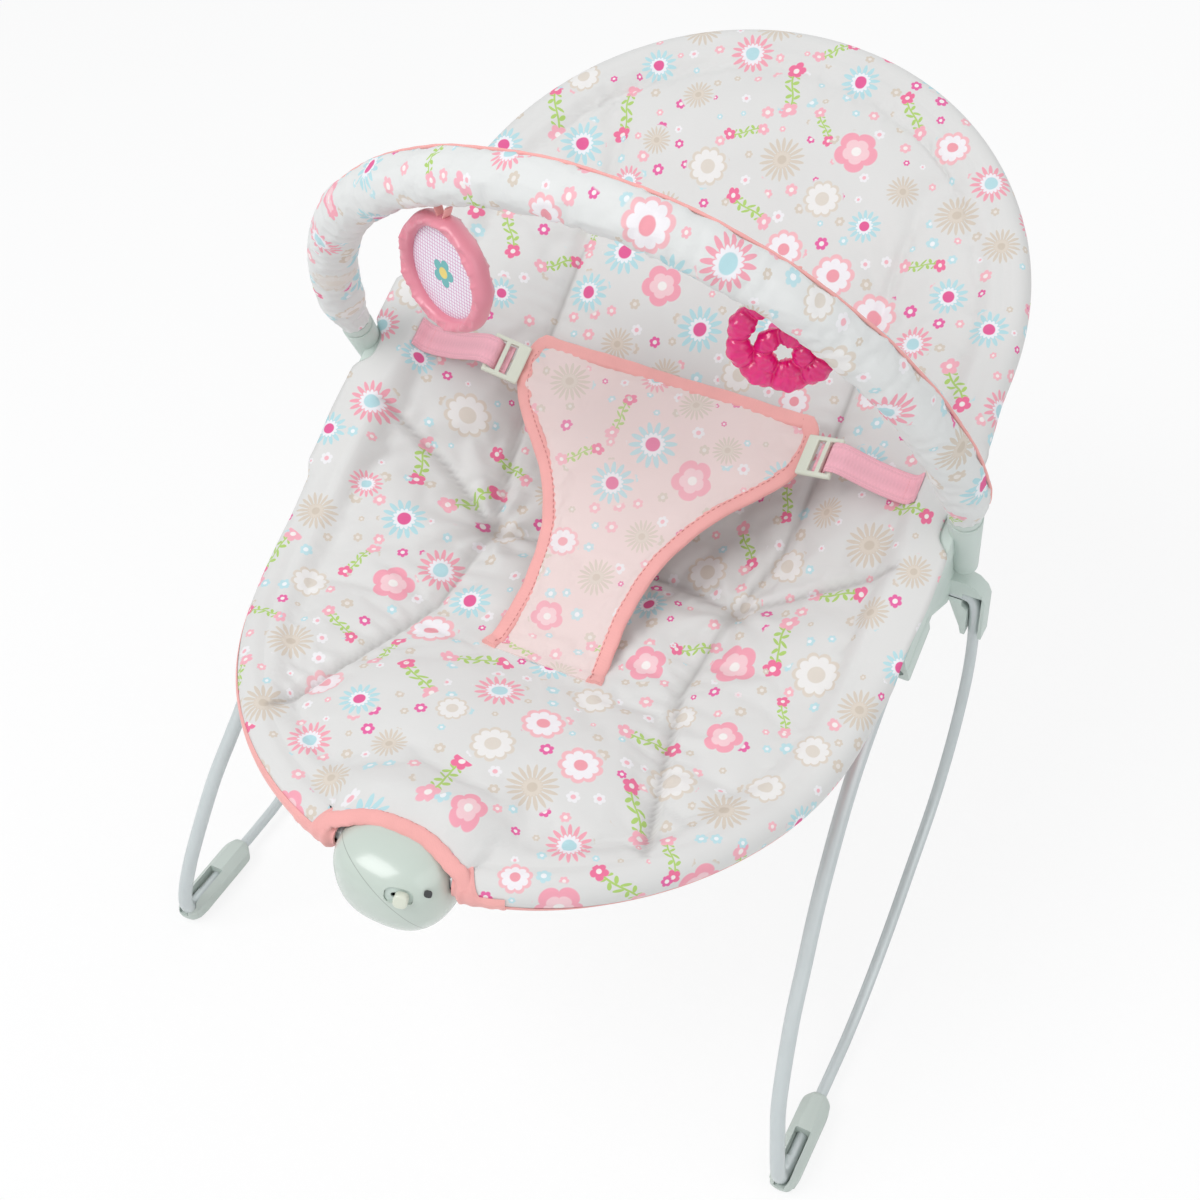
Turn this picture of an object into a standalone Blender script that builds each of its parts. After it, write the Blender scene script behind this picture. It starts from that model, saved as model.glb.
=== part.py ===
"""Baby bouncer: a wire base, a sling seat on a tube frame, a padded toy bar and a vibration unit.

Units are metres. +X is the seat's width, the foot end looks along -Y and +Z is up.
Everything is laid out from the front feet (y = 0) and the floor (z = 0). The last step
moves the root empty so that the origin is at the bottom centre of the whole object.
"""

import math

import bmesh
import bpy
from mathutils import Matrix, Vector

# Running and resting gaps between pieces
GAP = 0.0003
TUBE_FIT = 0.0003
BOUNCE_CLEARANCE = 0.0030
CHANNEL_SIDE_GAP = 0.0005

# Seat rim, seen from the side: flat foot end, one bend, straight back
RIM_HALF_WIDTH = 0.199
FRONT_RIM_HEIGHT = 0.265
BEND_START = 0.055
BEND_RADIUS = 0.200
BACK_ANGLE = math.radians(30.5)
FRONT_ARC_CENTRE = 0.148
FRONT_ARC_LENGTH = 0.226
FRONT_TIP_U = FRONT_ARC_CENTRE - FRONT_ARC_LENGTH
HEAD_ARC_CENTRE = 0.3665

# Seat tubes and the sewn sleeve round them
SEAT_TUBE_RADIUS = 0.006
TUBE_INSET = 0.011
SLEEVE_WALL = 0.0047

# Base: side wires, front legs and rear bar
FOOT_HALF_SPREAD = RIM_HALF_WIDTH + 0.0260
WIRE_RADIUS = 0.0037
LEG_TUBE_RADIUS = 0.00475
WIRE_FLOOR_HEIGHT = 0.0105
REAR_BAR_RADIUS = 0.006
REAR_SOCKET_DEPTH = 0.016
REAR_BAR_Y = 0.435
REAR_BAR_HEIGHT = 0.0135
REAR_FOOT_X = 0.070
REAR_FOOT_LENGTH = 0.036
REAR_FOOT_WIDTH = 0.022
GRIP_TOE_Y = -0.0105
GRIP_HEEL_Y = 0.0615
GRIP_WIDTH = 0.0190
GRIP_HEIGHT = 0.0195
GRIP_TOE_WIDTH = 0.0150
GRIP_TOE_HEIGHT = 0.0160
GRIP_WINDOW_END = 0.030
LEG_END_Y = 0.0120

# Bounce axis: where each side wire turns inwards through the hub
BOUNCE_Y = 0.2655
BOUNCE_Z = 0.2810

# Hubs, in the plane of the back: s along the tube, n square to it, from the point HUB_Y on it
HUB_Y = 0.200
HUB_FRONT_S = -0.037
HUB_REAR_S = 0.095
HUB_TOP_N = 0.0085
HUB_BOTTOM_N = -0.031
HUB_TAIL_N = -0.0150
HUB_JOINT_S = 0.025
HUB_PLATE = 0.0148
HUB_INNER_WALL = 0.0019
LEG_SOCKET_N = -0.0175
LEG_SOCKET_X = RIM_HALF_WIDTH - 0.0060
LEG_SOCKET_DEPTH = 0.033
LEG_INSERTION = 0.029
LOBE_INNER_X = RIM_HALF_WIDTH - 0.0165
LOBE_TOP_N = -0.0088
WEB_OUTER_X = RIM_HALF_WIDTH + 0.0028
LOBE_END_S = 0.000
LOBE_OUTER_X = RIM_HALF_WIDTH + 0.0046
FLAP_OUTER_X = RIM_HALF_WIDTH + 0.0048
SCREW_N = -0.0107
SCREW_S = (0.011, 0.048, 0.086)
SCREW_RADIUS = 0.0016
SCREW_HEAD_RADIUS = 0.0030
SCREW_HEAD_HEIGHT = 0.0018
SCREW_LENGTH = 0.0120

# Wing of the hub, with the channel that the wire lies in
WING_WALL = 0.0025
WING_ROOF = 0.0060
WING_DROP = 0.0420
WING_FRONT_Y = BOUNCE_Y - 0.0040
CHANNEL_DEPTH = 0.0118
WING_DEPTH = 0.0142
WING_RAKE = 0.34
WIRE_WING_X = RIM_HALF_WIDTH + 0.0192

# Toy bar: a leaning arch that plugs into a cup on each hub
BAR_LEAN = math.radians(28.0)
BAR_FOOT_Y = BOUNCE_Y - 0.0155
BAR_FOOT_Z = BOUNCE_Z + 0.0540
BAR_FOOT_X = RIM_HALF_WIDTH + 0.0075
BAR_ARCH_RADIUS = RIM_HALF_WIDTH + 0.0100
BAR_ARCH_RISE = 0.243
BAR_LEG_HEIGHT = 0.027
BAR_CORE_RADIUS = 0.006
BAR_SLEEVE_RADIUS = 0.0150
BAR_SLEEVE_END_RADIUS = 0.0104
CUP_RADIUS = 0.0106
CUP_TOP = 0.035
CUP_BOTTOM = -0.034
CUP_FOOT_RADIUS = 0.0080
CUP_DEPTH = 0.026
PEG_RADIUS = 0.0078
PEG_LENGTH = 0.024
FLANGE_RADIUS = 0.0100
FLANGE_HEIGHT = 0.006

# Seat pad: depth of the sling below the rim along its length
SAG_TABLE = (
    (-0.080, 0.000), (-0.020, -0.006), (0.040, 0.000), (0.090, 0.012),
    (0.130, 0.026), (0.180, 0.052), (0.222, 0.073), (0.262, 0.064),
    (0.320, 0.048), (0.400, 0.029), (0.480, 0.014), (0.570, 0.000),
)
CREASE_U = 0.222
PAD_INSET = 0.0228
PAD_EDGE = 0.0045
PAD_CROWN = 0.0125
PAD_CREASE_KEEP = 0.35
PAD_FRONT_U = FRONT_TIP_U + 0.0235
PAD_SEAM = 0.54
PAD_SHARES = (0.25, 0.46, PAD_SEAM, 0.62, 0.75, 0.88, 0.965, 1.0)
PAD_BUMP = 0.0205
PAD_SIDE_POWER = 2.4
PAD_LOWER_ROWS = 16
PAD_BACK_ROWS = 20

# Vibration unit
VIB_CENTRE = Vector((0.0, FRONT_TIP_U + 0.018, FRONT_RIM_HEIGHT - 0.005))
VIB_SIZE = Vector((0.036, 0.034, 0.038))
VIB_SPLIT_GAP = 0.0003
VIB_CROWN = 0.0235
VIB_SQUARENESS = 0.8
VIB_WALL = 0.0022
SWITCH_Z = VIB_CENTRE.z + 0.0090
SWITCH_X = 0.0160
SWITCH_TRAVEL = 0.005
KNOB_LENGTH = 0.0060
KNOB_WIDTH = 0.0060
KNOB_HEIGHT = 0.0048
BATTERY_RADIUS = 0.00725
BATTERY_LENGTH = 0.0500
BATTERY_Y = VIB_CENTRE.y + 0.0060
BATTERY_Z = VIB_CENTRE.z - 0.0188
CONTACT_THICKNESS = 0.0005
MOTOR_RADIUS = 0.0055
MOTOR_LENGTH = 0.0160
MOTOR_Y = VIB_CENTRE.y + 0.0115
MOTOR_Z = VIB_CENTRE.z + 0.0110
MOTOR_SHAFT_RADIUS = 0.0008
WEIGHT_RADIUS = 0.0050
WEIGHT_LENGTH = 0.0050
DOOR_HALF_LENGTH = 0.0210
DOOR_FRONT_Y = VIB_CENTRE.y - 0.0060
DOOR_REAR_Y = VIB_CENTRE.y + 0.0200

# Crotch pad and waist straps
CROTCH_THICKNESS = 0.005
CROTCH_BOTTOM_U = 0.098
CROTCH_TOP_Y = 0.284
CROTCH_TOP_Z = 0.3615
STRAP_WIDTH = 0.0200
STRAP_THICKNESS = 0.0016
BUCKLE_INNER_X = 0.0975
BUCKLE_OUTER_X = 0.1225
BUCKLE_WIDTH = 0.0270
BUCKLE_THICKNESS = 0.0034
BUCKLE_BAR = 0.0030
BUCKLE_END = 0.0080
BUCKLE_TILT = math.radians(20.0)

# Toys on the bar
MIRROR_X = -0.0745
MIRROR_RADIUS = 0.0350
MIRROR_RIM = 0.0095
MIRROR_DEPTH = 0.013
MIRROR_TURN = math.radians(-20.0)
MIRROR_PANEL_THICKNESS = 0.002
TEETHER_X = 0.1110
TEETHER_BEHIND = 0.0068
TEETHER_TURN = math.radians(20.0)
TEETHER_RADIUS = 0.024
TEETHER_TUBE = 0.0065
TEETHER_KNOT_RADIUS = 0.0105
TOY_DROP = 0.0040
TEETHER_DROP = 0.0120
LOOP_WIDTH = 0.010
LOOP_THICKNESS = 0.0012


# Plain helpers


def frange(start, stop, count):
    """Return count evenly spaced values from start to stop."""
    return [start + (stop - start) * i / (count - 1) for i in range(count)]


def signed_power(value, power):
    """Return value raised to a power, with its sign kept."""
    return math.copysign(abs(value) ** power, value)


def smooth_path(points, spacing):
    """Read points about one spacing apart from a smooth curve through the given ones."""
    points = [Vector(p) for p in points]
    ends = [2 * points[0] - points[1], *points, 2 * points[-1] - points[-2]]
    path = []
    for a, b, c, d in zip(ends, ends[1:], ends[2:], ends[3:]):
        steps = max(1, round((c - b).length / spacing))
        for i in range(steps):
            t = i / steps
            path.append(0.5 * ((2 * b) + (c - a) * t + (2 * a - 5 * b + 4 * c - d) * t * t
                               + (3 * b - a - 3 * c + d) * t ** 3))
    return [*path, points[-1]]


def mirrored(points, side):
    """Return the points on the right (side 1) or mirrored to the left (side -1)."""
    return [Vector((side * p[0], p[1], p[2])) for p in points]


def side_name(side):
    """Name of a side, from the sitter's foot end: +X is the right of the photograph."""
    return "right" if side > 0 else "left"


class Frame:
    """An empty that carries pieces, with its place in the model kept as a matrix."""

    def __init__(self, name, position, parent=None, turn=None):
        self.to_model = Matrix.Translation(position) @ (turn or Matrix.Identity(4))
        self.empty = bpy.data.objects.new(name, None)
        self.empty.empty_display_size = 0.02
        bpy.context.scene.collection.objects.link(self.empty)
        if parent:
            self.empty.parent = parent.empty
            self.empty.matrix_local = parent.to_model.inverted() @ self.to_model


def material(name, colour, roughness, metallic=0.0, alpha=1.0):
    """Make a Principled BSDF material."""
    made = bpy.data.materials.new(name)
    made.use_nodes = True
    shader = made.node_tree.nodes["Principled BSDF"]
    shader.inputs["Base Color"].default_value = (*colour, 1.0)
    shader.inputs["Roughness"].default_value = roughness
    shader.inputs["Metallic"].default_value = metallic
    shader.inputs["Alpha"].default_value = alpha
    made.diffuse_color = (*colour, alpha)
    return made


def face_outwards(bm):
    """Point the faces of closed bodies out."""
    bmesh.ops.recalc_face_normals(bm, faces=bm.faces)
    if bm.calc_volume(signed=True) < 0:
        bmesh.ops.reverse_faces(bm, faces=bm.faces)


def add_mesh(name, bm, finish, frame, smooth_angle=40.0):
    """Turn a bmesh in model space into an object that is carried by a frame."""
    face_outwards(bm)
    bm.transform(frame.to_model.inverted())
    mesh = bpy.data.meshes.new(name)
    bm.to_mesh(mesh)
    bm.free()
    mesh.materials.append(finish)
    mesh.shade_smooth()
    mesh.set_sharp_from_angle(angle=math.radians(smooth_angle))
    made = bpy.data.objects.new(name, mesh)
    bpy.context.scene.collection.objects.link(made)
    made.parent = frame.empty
    return made


def add_tube(name, points, radius, finish, frame, sides=3):
    """Add a round tube or rod along a path, as a curve with a bevel and filled caps."""
    curve = bpy.data.curves.new(name, "CURVE")
    curve.dimensions = "3D"
    curve.bevel_depth = radius
    curve.bevel_resolution = sides
    curve.use_fill_caps = True
    spline = curve.splines.new("POLY")
    spline.points.add(len(points) - 1)
    inverse = frame.to_model.inverted()
    for slot, point in zip(spline.points, points):
        slot.co = (*(inverse @ Vector(point)), 1.0)
    spline.use_smooth = True
    curve.materials.append(finish)
    made = bpy.data.objects.new(name, curve)
    bpy.context.scene.collection.objects.link(made)
    made.parent = frame.empty
    return made


def cut(target, cutter_bm, frame, operation="DIFFERENCE"):
    """Cut, join or intersect a target with a bmesh given in model space."""
    tool = add_mesh(f"tool_{target.name}_{len(target.modifiers)}", cutter_bm, target.data.materials[0], frame)
    tool.hide_render = True
    tool.display_type = "WIRE"
    tool.hide_set(True)
    boolean = target.modifiers.new(operation.lower(), "BOOLEAN")
    boolean.operation = operation
    boolean.solver = "EXACT"
    boolean.object = tool


def box(low, high, bevel=0.0):
    """A box between two corners, with its edges rounded if a bevel is given."""
    bm = bmesh.new()
    bmesh.ops.create_cube(bm, size=1.0)
    low, high = Vector(low), Vector(high)
    for vert in bm.verts:
        vert.co = Vector(low[i] + (high[i] - low[i]) * (vert.co[i] + 0.5) for i in range(3))
    if bevel:
        bmesh.ops.bevel(bm, geom=bm.edges[:], offset=bevel, segments=2, profile=0.5, affect="EDGES")
    return bm


def rod(start, end, radius, end_radius=None, sides=16):
    """A solid cylinder or cone between two points."""
    start, end = Vector(start), Vector(end)
    bm = bmesh.new()
    top = radius if end_radius is None else end_radius
    bmesh.ops.create_cone(bm, cap_ends=True, segments=sides, radius1=radius, radius2=top,
                          depth=(end - start).length)
    turn = (end - start).to_track_quat("Z", "Y").to_matrix().to_4x4()
    bm.transform(Matrix.Translation((start + end) / 2) @ turn)
    return bm


def slab(outline, x_low, x_high, bevel=0.0):
    """An outline of (y, z) points, extruded along X between two planes."""
    bm = bmesh.new()
    near = [bm.verts.new((x_low, y, z)) for y, z in outline]
    far = [bm.verts.new((x_high, y, z)) for y, z in outline]
    bm.faces.new(near)
    bm.faces.new(far)
    for i in range(len(outline)):
        j = (i + 1) % len(outline)
        bm.faces.new((near[i], near[j], far[j], far[i]))
    bmesh.ops.recalc_face_normals(bm, faces=bm.faces)
    if bevel:
        bmesh.ops.bevel(bm, geom=bm.edges[:], offset=bevel, segments=2, profile=0.5, affect="EDGES")
    return bm


def ring_frames(points):
    """Turn a path into (point, side, up) frames that don't twist along it."""
    frames = []
    up = None
    for i, point in enumerate(points):
        before = points[max(i - 1, 0)]
        after = points[min(i + 1, len(points) - 1)]
        along = (after - before).normalized()
        if up is None:
            up = along.orthogonal().normalized()
        up = (up - along * up.dot(along)).normalized()
        frames.append((point, along.cross(up), up))
    return frames


def swept(points, radii, sides=12, bore=0.0):
    """A round body along a path. A bore makes it an open sleeve."""
    bm = bmesh.new()
    frames = ring_frames([Vector(p) for p in points])

    def rings(sizes):
        made = []
        for (centre, side, up), size in zip(frames, sizes):
            angles = [2 * math.pi * k / sides for k in range(sides)]
            made.append([bm.verts.new(centre + side * size * math.cos(a) + up * size * math.sin(a))
                         for a in angles])
        for first, second in zip(made, made[1:]):
            for k in range(sides):
                n = (k + 1) % sides
                bm.faces.new((first[k], first[n], second[n], second[k]))
        return made

    outer = rings(radii)
    if not bore:
        bm.faces.new(outer[0])
        bm.faces.new(outer[-1])
        return bm
    inner = rings([bore] * len(frames))
    for out_ring, in_ring in ((outer[0], inner[0]), (outer[-1], inner[-1])):
        for k in range(sides):
            n = (k + 1) % sides
            bm.faces.new((out_ring[k], out_ring[n], in_ring[n], in_ring[k]))
    return bm


def shell_grid(top, bottom):
    """Close two grids of points, the same size, into one body."""
    bm = bmesh.new()
    rows, columns = len(top), len(top[0])
    upper = [[bm.verts.new(p) for p in row] for row in top]
    lower = [[bm.verts.new(p) for p in row] for row in bottom]
    for i in range(rows - 1):
        for j in range(columns - 1):
            bm.faces.new((upper[i][j], upper[i][j + 1], upper[i + 1][j + 1], upper[i + 1][j]))
            bm.faces.new((lower[i][j], lower[i + 1][j], lower[i + 1][j + 1], lower[i][j + 1]))
    for i in range(rows - 1):
        for j in (0, columns - 1):
            bm.faces.new((upper[i][j], upper[i + 1][j], lower[i + 1][j], lower[i][j]))
    for j in range(columns - 1):
        for i in (0, rows - 1):
            bm.faces.new((upper[i][j], upper[i][j + 1], lower[i][j + 1], lower[i][j]))
    return bm


def ring_body(sides, profile, section):
    """A closed ring round Z. The section gives radius and height for the two angles."""
    bm = bmesh.new()
    rings = []
    for k in range(sides):
        turn = 2 * math.pi * k / sides
        ring = []
        for j in range(profile):
            reach, height = section(turn, 2 * math.pi * j / profile)
            ring.append(bm.verts.new((reach * math.cos(turn), reach * math.sin(turn), height)))
        rings.append(ring)
    for k in range(sides):
        first, second = rings[k], rings[(k + 1) % sides]
        for j in range(profile):
            n = (j + 1) % profile
            bm.faces.new((first[j], first[n], second[n], second[j]))
    return bm


def lobed_ring(radius, tube, lobes, sides, profile):
    """A closed ring in the XY plane whose tube swells into lobes."""
    def section(k, a):
        size = tube * (1 + 0.12 * math.cos(lobes * k))
        return radius + size * math.cos(a), 0.8 * size * math.sin(a)
    return ring_body(sides, profile, section)


def dome(shrink, sides=24, rows=12):
    """The vibration unit's rounded body, made smaller all round by shrink."""
    size = VIB_SIZE - Vector((shrink, shrink, shrink))
    bm = bmesh.new()
    bmesh.ops.create_uvsphere(bm, u_segments=sides, v_segments=rows, radius=1.0)
    for vert in bm.verts:
        across = math.hypot(vert.co.x, vert.co.y)
        heading = math.atan2(vert.co.y, vert.co.x)
        wide = signed_power(across, VIB_SQUARENESS) if across > 1e-6 else 0.0
        height = size.z if vert.co.z < 0 else VIB_CROWN - shrink
        vert.co = Vector((
            VIB_CENTRE.x + size.x * wide * signed_power(math.cos(heading), VIB_SQUARENESS),
            VIB_CENTRE.y + size.y * wide * signed_power(math.sin(heading), VIB_SQUARENESS),
            VIB_CENTRE.z + height * signed_power(vert.co.z, VIB_SQUARENESS),
        ))
    return bm


# Shape of the seat rim


def rim_profile(u):
    """Side view of the rim at unrolled distance u: y, z and slope."""
    if u < BEND_START:
        return u, FRONT_RIM_HEIGHT, 0.0
    slope = min((u - BEND_START) / BEND_RADIUS, BACK_ANGLE)
    straight = max(0.0, u - BEND_START - BEND_RADIUS * BACK_ANGLE)
    y = BEND_START + BEND_RADIUS * math.sin(slope) + straight * math.cos(slope)
    z = FRONT_RIM_HEIGHT + BEND_RADIUS * (1 - math.cos(slope)) + straight * math.sin(slope)
    return y, z, slope


def rim_point(u, x, lift=0.0):
    """A point across the rim's surface, lifted square to it."""
    y, z, slope = rim_profile(u)
    return Vector((x, y - lift * math.sin(slope), z + lift * math.cos(slope)))


def rim_u(y):
    """Unrolled distance of a point of the straight back, from its y."""
    bend_end = rim_profile(BEND_START + BEND_RADIUS * BACK_ANGLE)
    return BEND_START + BEND_RADIUS * BACK_ANGLE + (y - bend_end[0]) / math.cos(BACK_ANGLE)


def rim_half_width(u, inset):
    """Half width of the outline at u, moved in by inset."""
    half = RIM_HALF_WIDTH - inset
    if u < FRONT_ARC_CENTRE:
        share = (FRONT_ARC_CENTRE - u) / (FRONT_ARC_LENGTH - inset)
        return half * math.sqrt(max(0.0, 1 - share * share))
    if u > HEAD_ARC_CENTRE:
        share = (u - HEAD_ARC_CENTRE) / half
        return half * math.sqrt(max(0.0, 1 - share * share))
    return half


def front_outline(u_start, inset, angle_stop, count):
    """Right half of the foot end's outline, from u_start to an angle round the front arc."""
    half = RIM_HALF_WIDTH - inset
    length = FRONT_ARC_LENGTH - inset
    points = [rim_point(u, half) for u in frange(u_start, FRONT_ARC_CENTRE, 4)[:-1]]
    for angle in frange(0.0, angle_stop, count):
        points.append(rim_point(FRONT_ARC_CENTRE - length * math.sin(angle), half * math.cos(angle)))
    return points


def head_outline(u_start, inset, count):
    """Outline round the head, from the right at u_start over the top to the left."""
    half = RIM_HALF_WIDTH - inset
    side = [rim_point(u, half) for u in frange(u_start, HEAD_ARC_CENTRE, 4)[:-1]]
    arc = [rim_point(HEAD_ARC_CENTRE + half * math.sin(a), half * math.cos(a))
           for a in frange(0.0, math.pi, count)]
    return [*side, *arc, *mirrored(reversed(side), -1)]


def ease(value):
    """Smooth step from 0 to 1."""
    share = min(1.0, max(0.0, value))
    return share * share * (3 - 2 * share)


def sag(u):
    """Depth of the sling below the rim at u, from the table."""
    for (u0, d0), (u1, d1) in zip(SAG_TABLE, SAG_TABLE[1:]):
        if u <= u1:
            return d0 + (d1 - d0) * (u - u0) / (u1 - u0)
    return SAG_TABLE[-1][1]


def pad_half_width(u):
    """Half width of the seat pad at u."""
    return rim_half_width(u, PAD_INSET)


def pad_bump(u, x):
    """Rise of the pad's foot end where it passes over the vibration unit."""
    across = 1 - ease((abs(x) - 0.030) / 0.035)
    along = 1 - ease((u - FRONT_TIP_U - 0.033) / 0.036)
    return PAD_BUMP * across * along


def pad_surface(u, x, face):
    """Point on the pad's top (face 1) or underside (face -1)."""
    half = pad_half_width(u)
    share = min(1.0, abs(x) / half)
    hollow = sag(u) * (1 - share ** PAD_SIDE_POWER)
    near_crease = 1 - math.exp(-((u - CREASE_U) / 0.020) ** 2)
    fullness = PAD_CREASE_KEEP + (1 - PAD_CREASE_KEEP) * near_crease
    fullness *= 0.1 + 0.9 * ease((u - PAD_FRONT_U) / 0.075)
    seam = 1 - 0.45 * math.exp(-((share - PAD_SEAM) / 0.03) ** 2) * ease((u - 0.080) / 0.060)
    thickness = PAD_EDGE + PAD_CROWN * (1 - share ** 4) * fullness * seam
    return rim_point(u, x, face * thickness / 2 - hollow + pad_bump(u, x))


# Hub's own plane


def hub_point(s, n, x=0.0):
    """Point of the hub's plane: s along the seat tube, n square to it."""
    return rim_point(rim_u(HUB_Y) + s, x, n)


def hub_yz(s, n):
    """The same point as a (y, z) pair."""
    point = hub_point(s, n)
    return point.y, point.z


def leg_path():
    """Right front leg: out of the foot grip, up and back into the hub's socket."""
    foot_x = FOOT_HALF_SPREAD
    foot = [
        (foot_x - 0.0005, LEG_END_Y, WIRE_FLOOR_HEIGHT),
        (foot_x - 0.0005, 0.004, WIRE_FLOOR_HEIGHT),
        (foot_x - 0.0010, -0.0035, 0.0135), (foot_x - 0.0022, -0.0075, 0.0225),
        (foot_x - 0.0038, -0.0080, 0.0350),
        (foot_x - 0.0070, -0.0050, 0.0550), (foot_x - 0.0120, 0.0030, 0.0830),
        (foot_x - 0.0180, 0.0250, 0.1270),
        (foot_x - 0.0220, 0.0480, 0.1570), (foot_x - 0.0255, 0.0690, 0.1840),
        (foot_x - 0.0280, 0.0900, 0.2090),
        (foot_x - 0.0300, 0.1120, 0.2330), (foot_x - 0.0313, 0.1360, 0.2540),
    ]
    mouth = hub_point(HUB_FRONT_S, LEG_SOCKET_N, LEG_SOCKET_X)
    end = hub_point(HUB_FRONT_S + LEG_INSERTION, LEG_SOCKET_N, LEG_SOCKET_X)
    return smooth_path([*foot, mouth, end], 0.019)


def wire_path():
    """Right side wire: along the floor, up to the wing, inwards and down to the rear bar."""
    foot_x = FOOT_HALF_SPREAD
    rim = RIM_HALF_WIDTH
    floor = [(foot_x, y, WIRE_FLOOR_HEIGHT) for y in (LEG_END_Y + GAP, 0.040, 0.080)]
    rise = [
        (foot_x, 0.1100, 0.0125), (foot_x, 0.1412, 0.0234), (foot_x - 0.0002, 0.1771, 0.0457),
        (foot_x - 0.0007, 0.2119, 0.0742), (foot_x - 0.0016, 0.2516, 0.1060),
        (foot_x - 0.0029, 0.2758, 0.1433),
        (foot_x - 0.0044, 0.2873, 0.1850), (foot_x - 0.0057, 0.2868, 0.2180), (WIRE_WING_X, 0.2800, 0.2465),
        (WIRE_WING_X, 0.2720, 0.2650), (WIRE_WING_X - 0.0018, BOUNCE_Y + 0.0018, BOUNCE_Z - 0.0042),
        (WIRE_WING_X - 0.0070, BOUNCE_Y, BOUNCE_Z), (rim + 0.0010, BOUNCE_Y, BOUNCE_Z),
        (rim - 0.0110, BOUNCE_Y, BOUNCE_Z),
    ]
    mouth, end, down = rear_socket()
    drop = [
        (rim - 0.0190, 0.2690, 0.2775), (rim - 0.0245, 0.2790, 0.2650), (rim - 0.0330, 0.2980, 0.2340),
        (rim - 0.0430, 0.3190, 0.1920), (rim - 0.0540, 0.3430, 0.1430), mouth - down * 0.004, mouth, end,
    ]
    return smooth_path([*floor, *rise, *drop], 0.019)


def rear_socket():
    """Mouth of the rear bar's right socket, its end, and the direction down into it."""
    end = Vector((RIM_HALF_WIDTH - 0.0640, 0.3700, 0.0900))
    down = (end - Vector((RIM_HALF_WIDTH - 0.0540, 0.3430, 0.1430))).normalized()
    return end - down * REAR_SOCKET_DEPTH, end, down


def rear_bar_path():
    """Rear bar: from the right wire down to the floor, across and up to the left wire."""
    mouth, end, down = rear_socket()
    rim = RIM_HALF_WIDTH
    right = [
        mouth, end, end + down * 0.005, (rim - 0.0710, 0.3880, 0.0520), (rim - 0.0770, 0.4060, 0.0240),
        (rim - 0.0860, 0.4220, REAR_BAR_HEIGHT + 0.0015), (rim - 0.1010, 0.4320, REAR_BAR_HEIGHT),
        (rim - 0.1140, REAR_BAR_Y, REAR_BAR_HEIGHT), (rim - 0.1490, REAR_BAR_Y, REAR_BAR_HEIGHT),
    ]
    return smooth_path([*right, *mirrored(reversed(right), -1)], 0.016)


# Base


def build_base(frame, finishes):
    """Side wires, front legs, foot grips, rear bar and rear feet."""
    for side in (1, -1):
        name = side_name(side)
        wire = mirrored(wire_path(), side)
        leg = mirrored(leg_path(), side)
        add_tube(f"side_wire_{name}", wire, WIRE_RADIUS, finishes["steel"], frame, 2)
        add_tube(f"front_leg_{name}", leg, LEG_TUBE_RADIUS, finishes["steel"], frame)
        build_foot_grip(side, wire, leg, frame, finishes["grip"])
    path = rear_bar_path()
    bar = add_mesh("rear_bar", swept(path, [REAR_BAR_RADIUS] * len(path), 10), finishes["steel"], frame, 40.0)
    mouth, end, down = rear_socket()
    for side in (1, -1):
        low, high = mirrored((mouth - down * 0.003, end + down * GAP), side)
        cut(bar, rod(low, high, WIRE_RADIUS + GAP, sides=14), frame)
    for side in (1, -1):
        build_rear_foot(side, frame, finishes["rubber"])


def build_foot_grip(side, wire, leg, frame, finish):
    """Front foot grip: a tapered sleeve over the wire and the leg's end, with a window on top."""
    x = side * FOOT_HALF_SPREAD
    bm = bmesh.new()
    stations = (
        (GRIP_TOE_Y, GRIP_TOE_WIDTH, GRIP_TOE_HEIGHT), (0.004, GRIP_WIDTH, GRIP_HEIGHT),
        (GRIP_HEEL_Y - 0.012, GRIP_WIDTH, GRIP_HEIGHT), (GRIP_HEEL_Y, GRIP_WIDTH * 0.92, GRIP_HEIGHT * 0.95),
    )
    sections = []
    for y, width, height in stations:
        corner = min(width, height) * 0.28
        base = 0.0
        outline = (
            (-width / 2 + corner, base), (width / 2 - corner, base), (width / 2, base + corner),
            (width / 2, height - corner), (width / 2 - corner, height), (-width / 2 + corner, height),
            (-width / 2, height - corner), (-width / 2, base + corner),
        )
        sections.append([bm.verts.new((x + dx, y, z)) for dx, z in outline])
    for first, second in zip(sections, sections[1:]):
        for k in range(8):
            n = (k + 1) % 8
            bm.faces.new((first[k], first[n], second[n], second[k]))
    bm.faces.new(sections[0])
    bm.faces.new(sections[-1])
    grip = add_mesh(f"front_grip_{side_name(side)}", bm, finish, frame, 30.0)
    toe_run = [p for p in leg if p.z < 0.045]
    start = toe_run[0] + Vector((0, 0.0006, 0))
    toe_run = [start, *toe_run[1:]]
    cut(grip, swept(toe_run, [LEG_TUBE_RADIUS + TUBE_FIT] * len(toe_run), 16), frame)
    wire_run = [Vector((x, y, WIRE_FLOOR_HEIGHT)) for y in (LEG_END_Y - 0.002, 0.05, GRIP_HEEL_Y + 0.01)]
    cut(grip, swept(wire_run, [WIRE_RADIUS + TUBE_FIT] * 3, 16), frame)
    half = LEG_TUBE_RADIUS + TUBE_FIT
    cut(grip, box((x - half, GRIP_TOE_Y - 0.01, WIRE_FLOOR_HEIGHT), (x + half, GRIP_WINDOW_END, 0.03)), frame)


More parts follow.
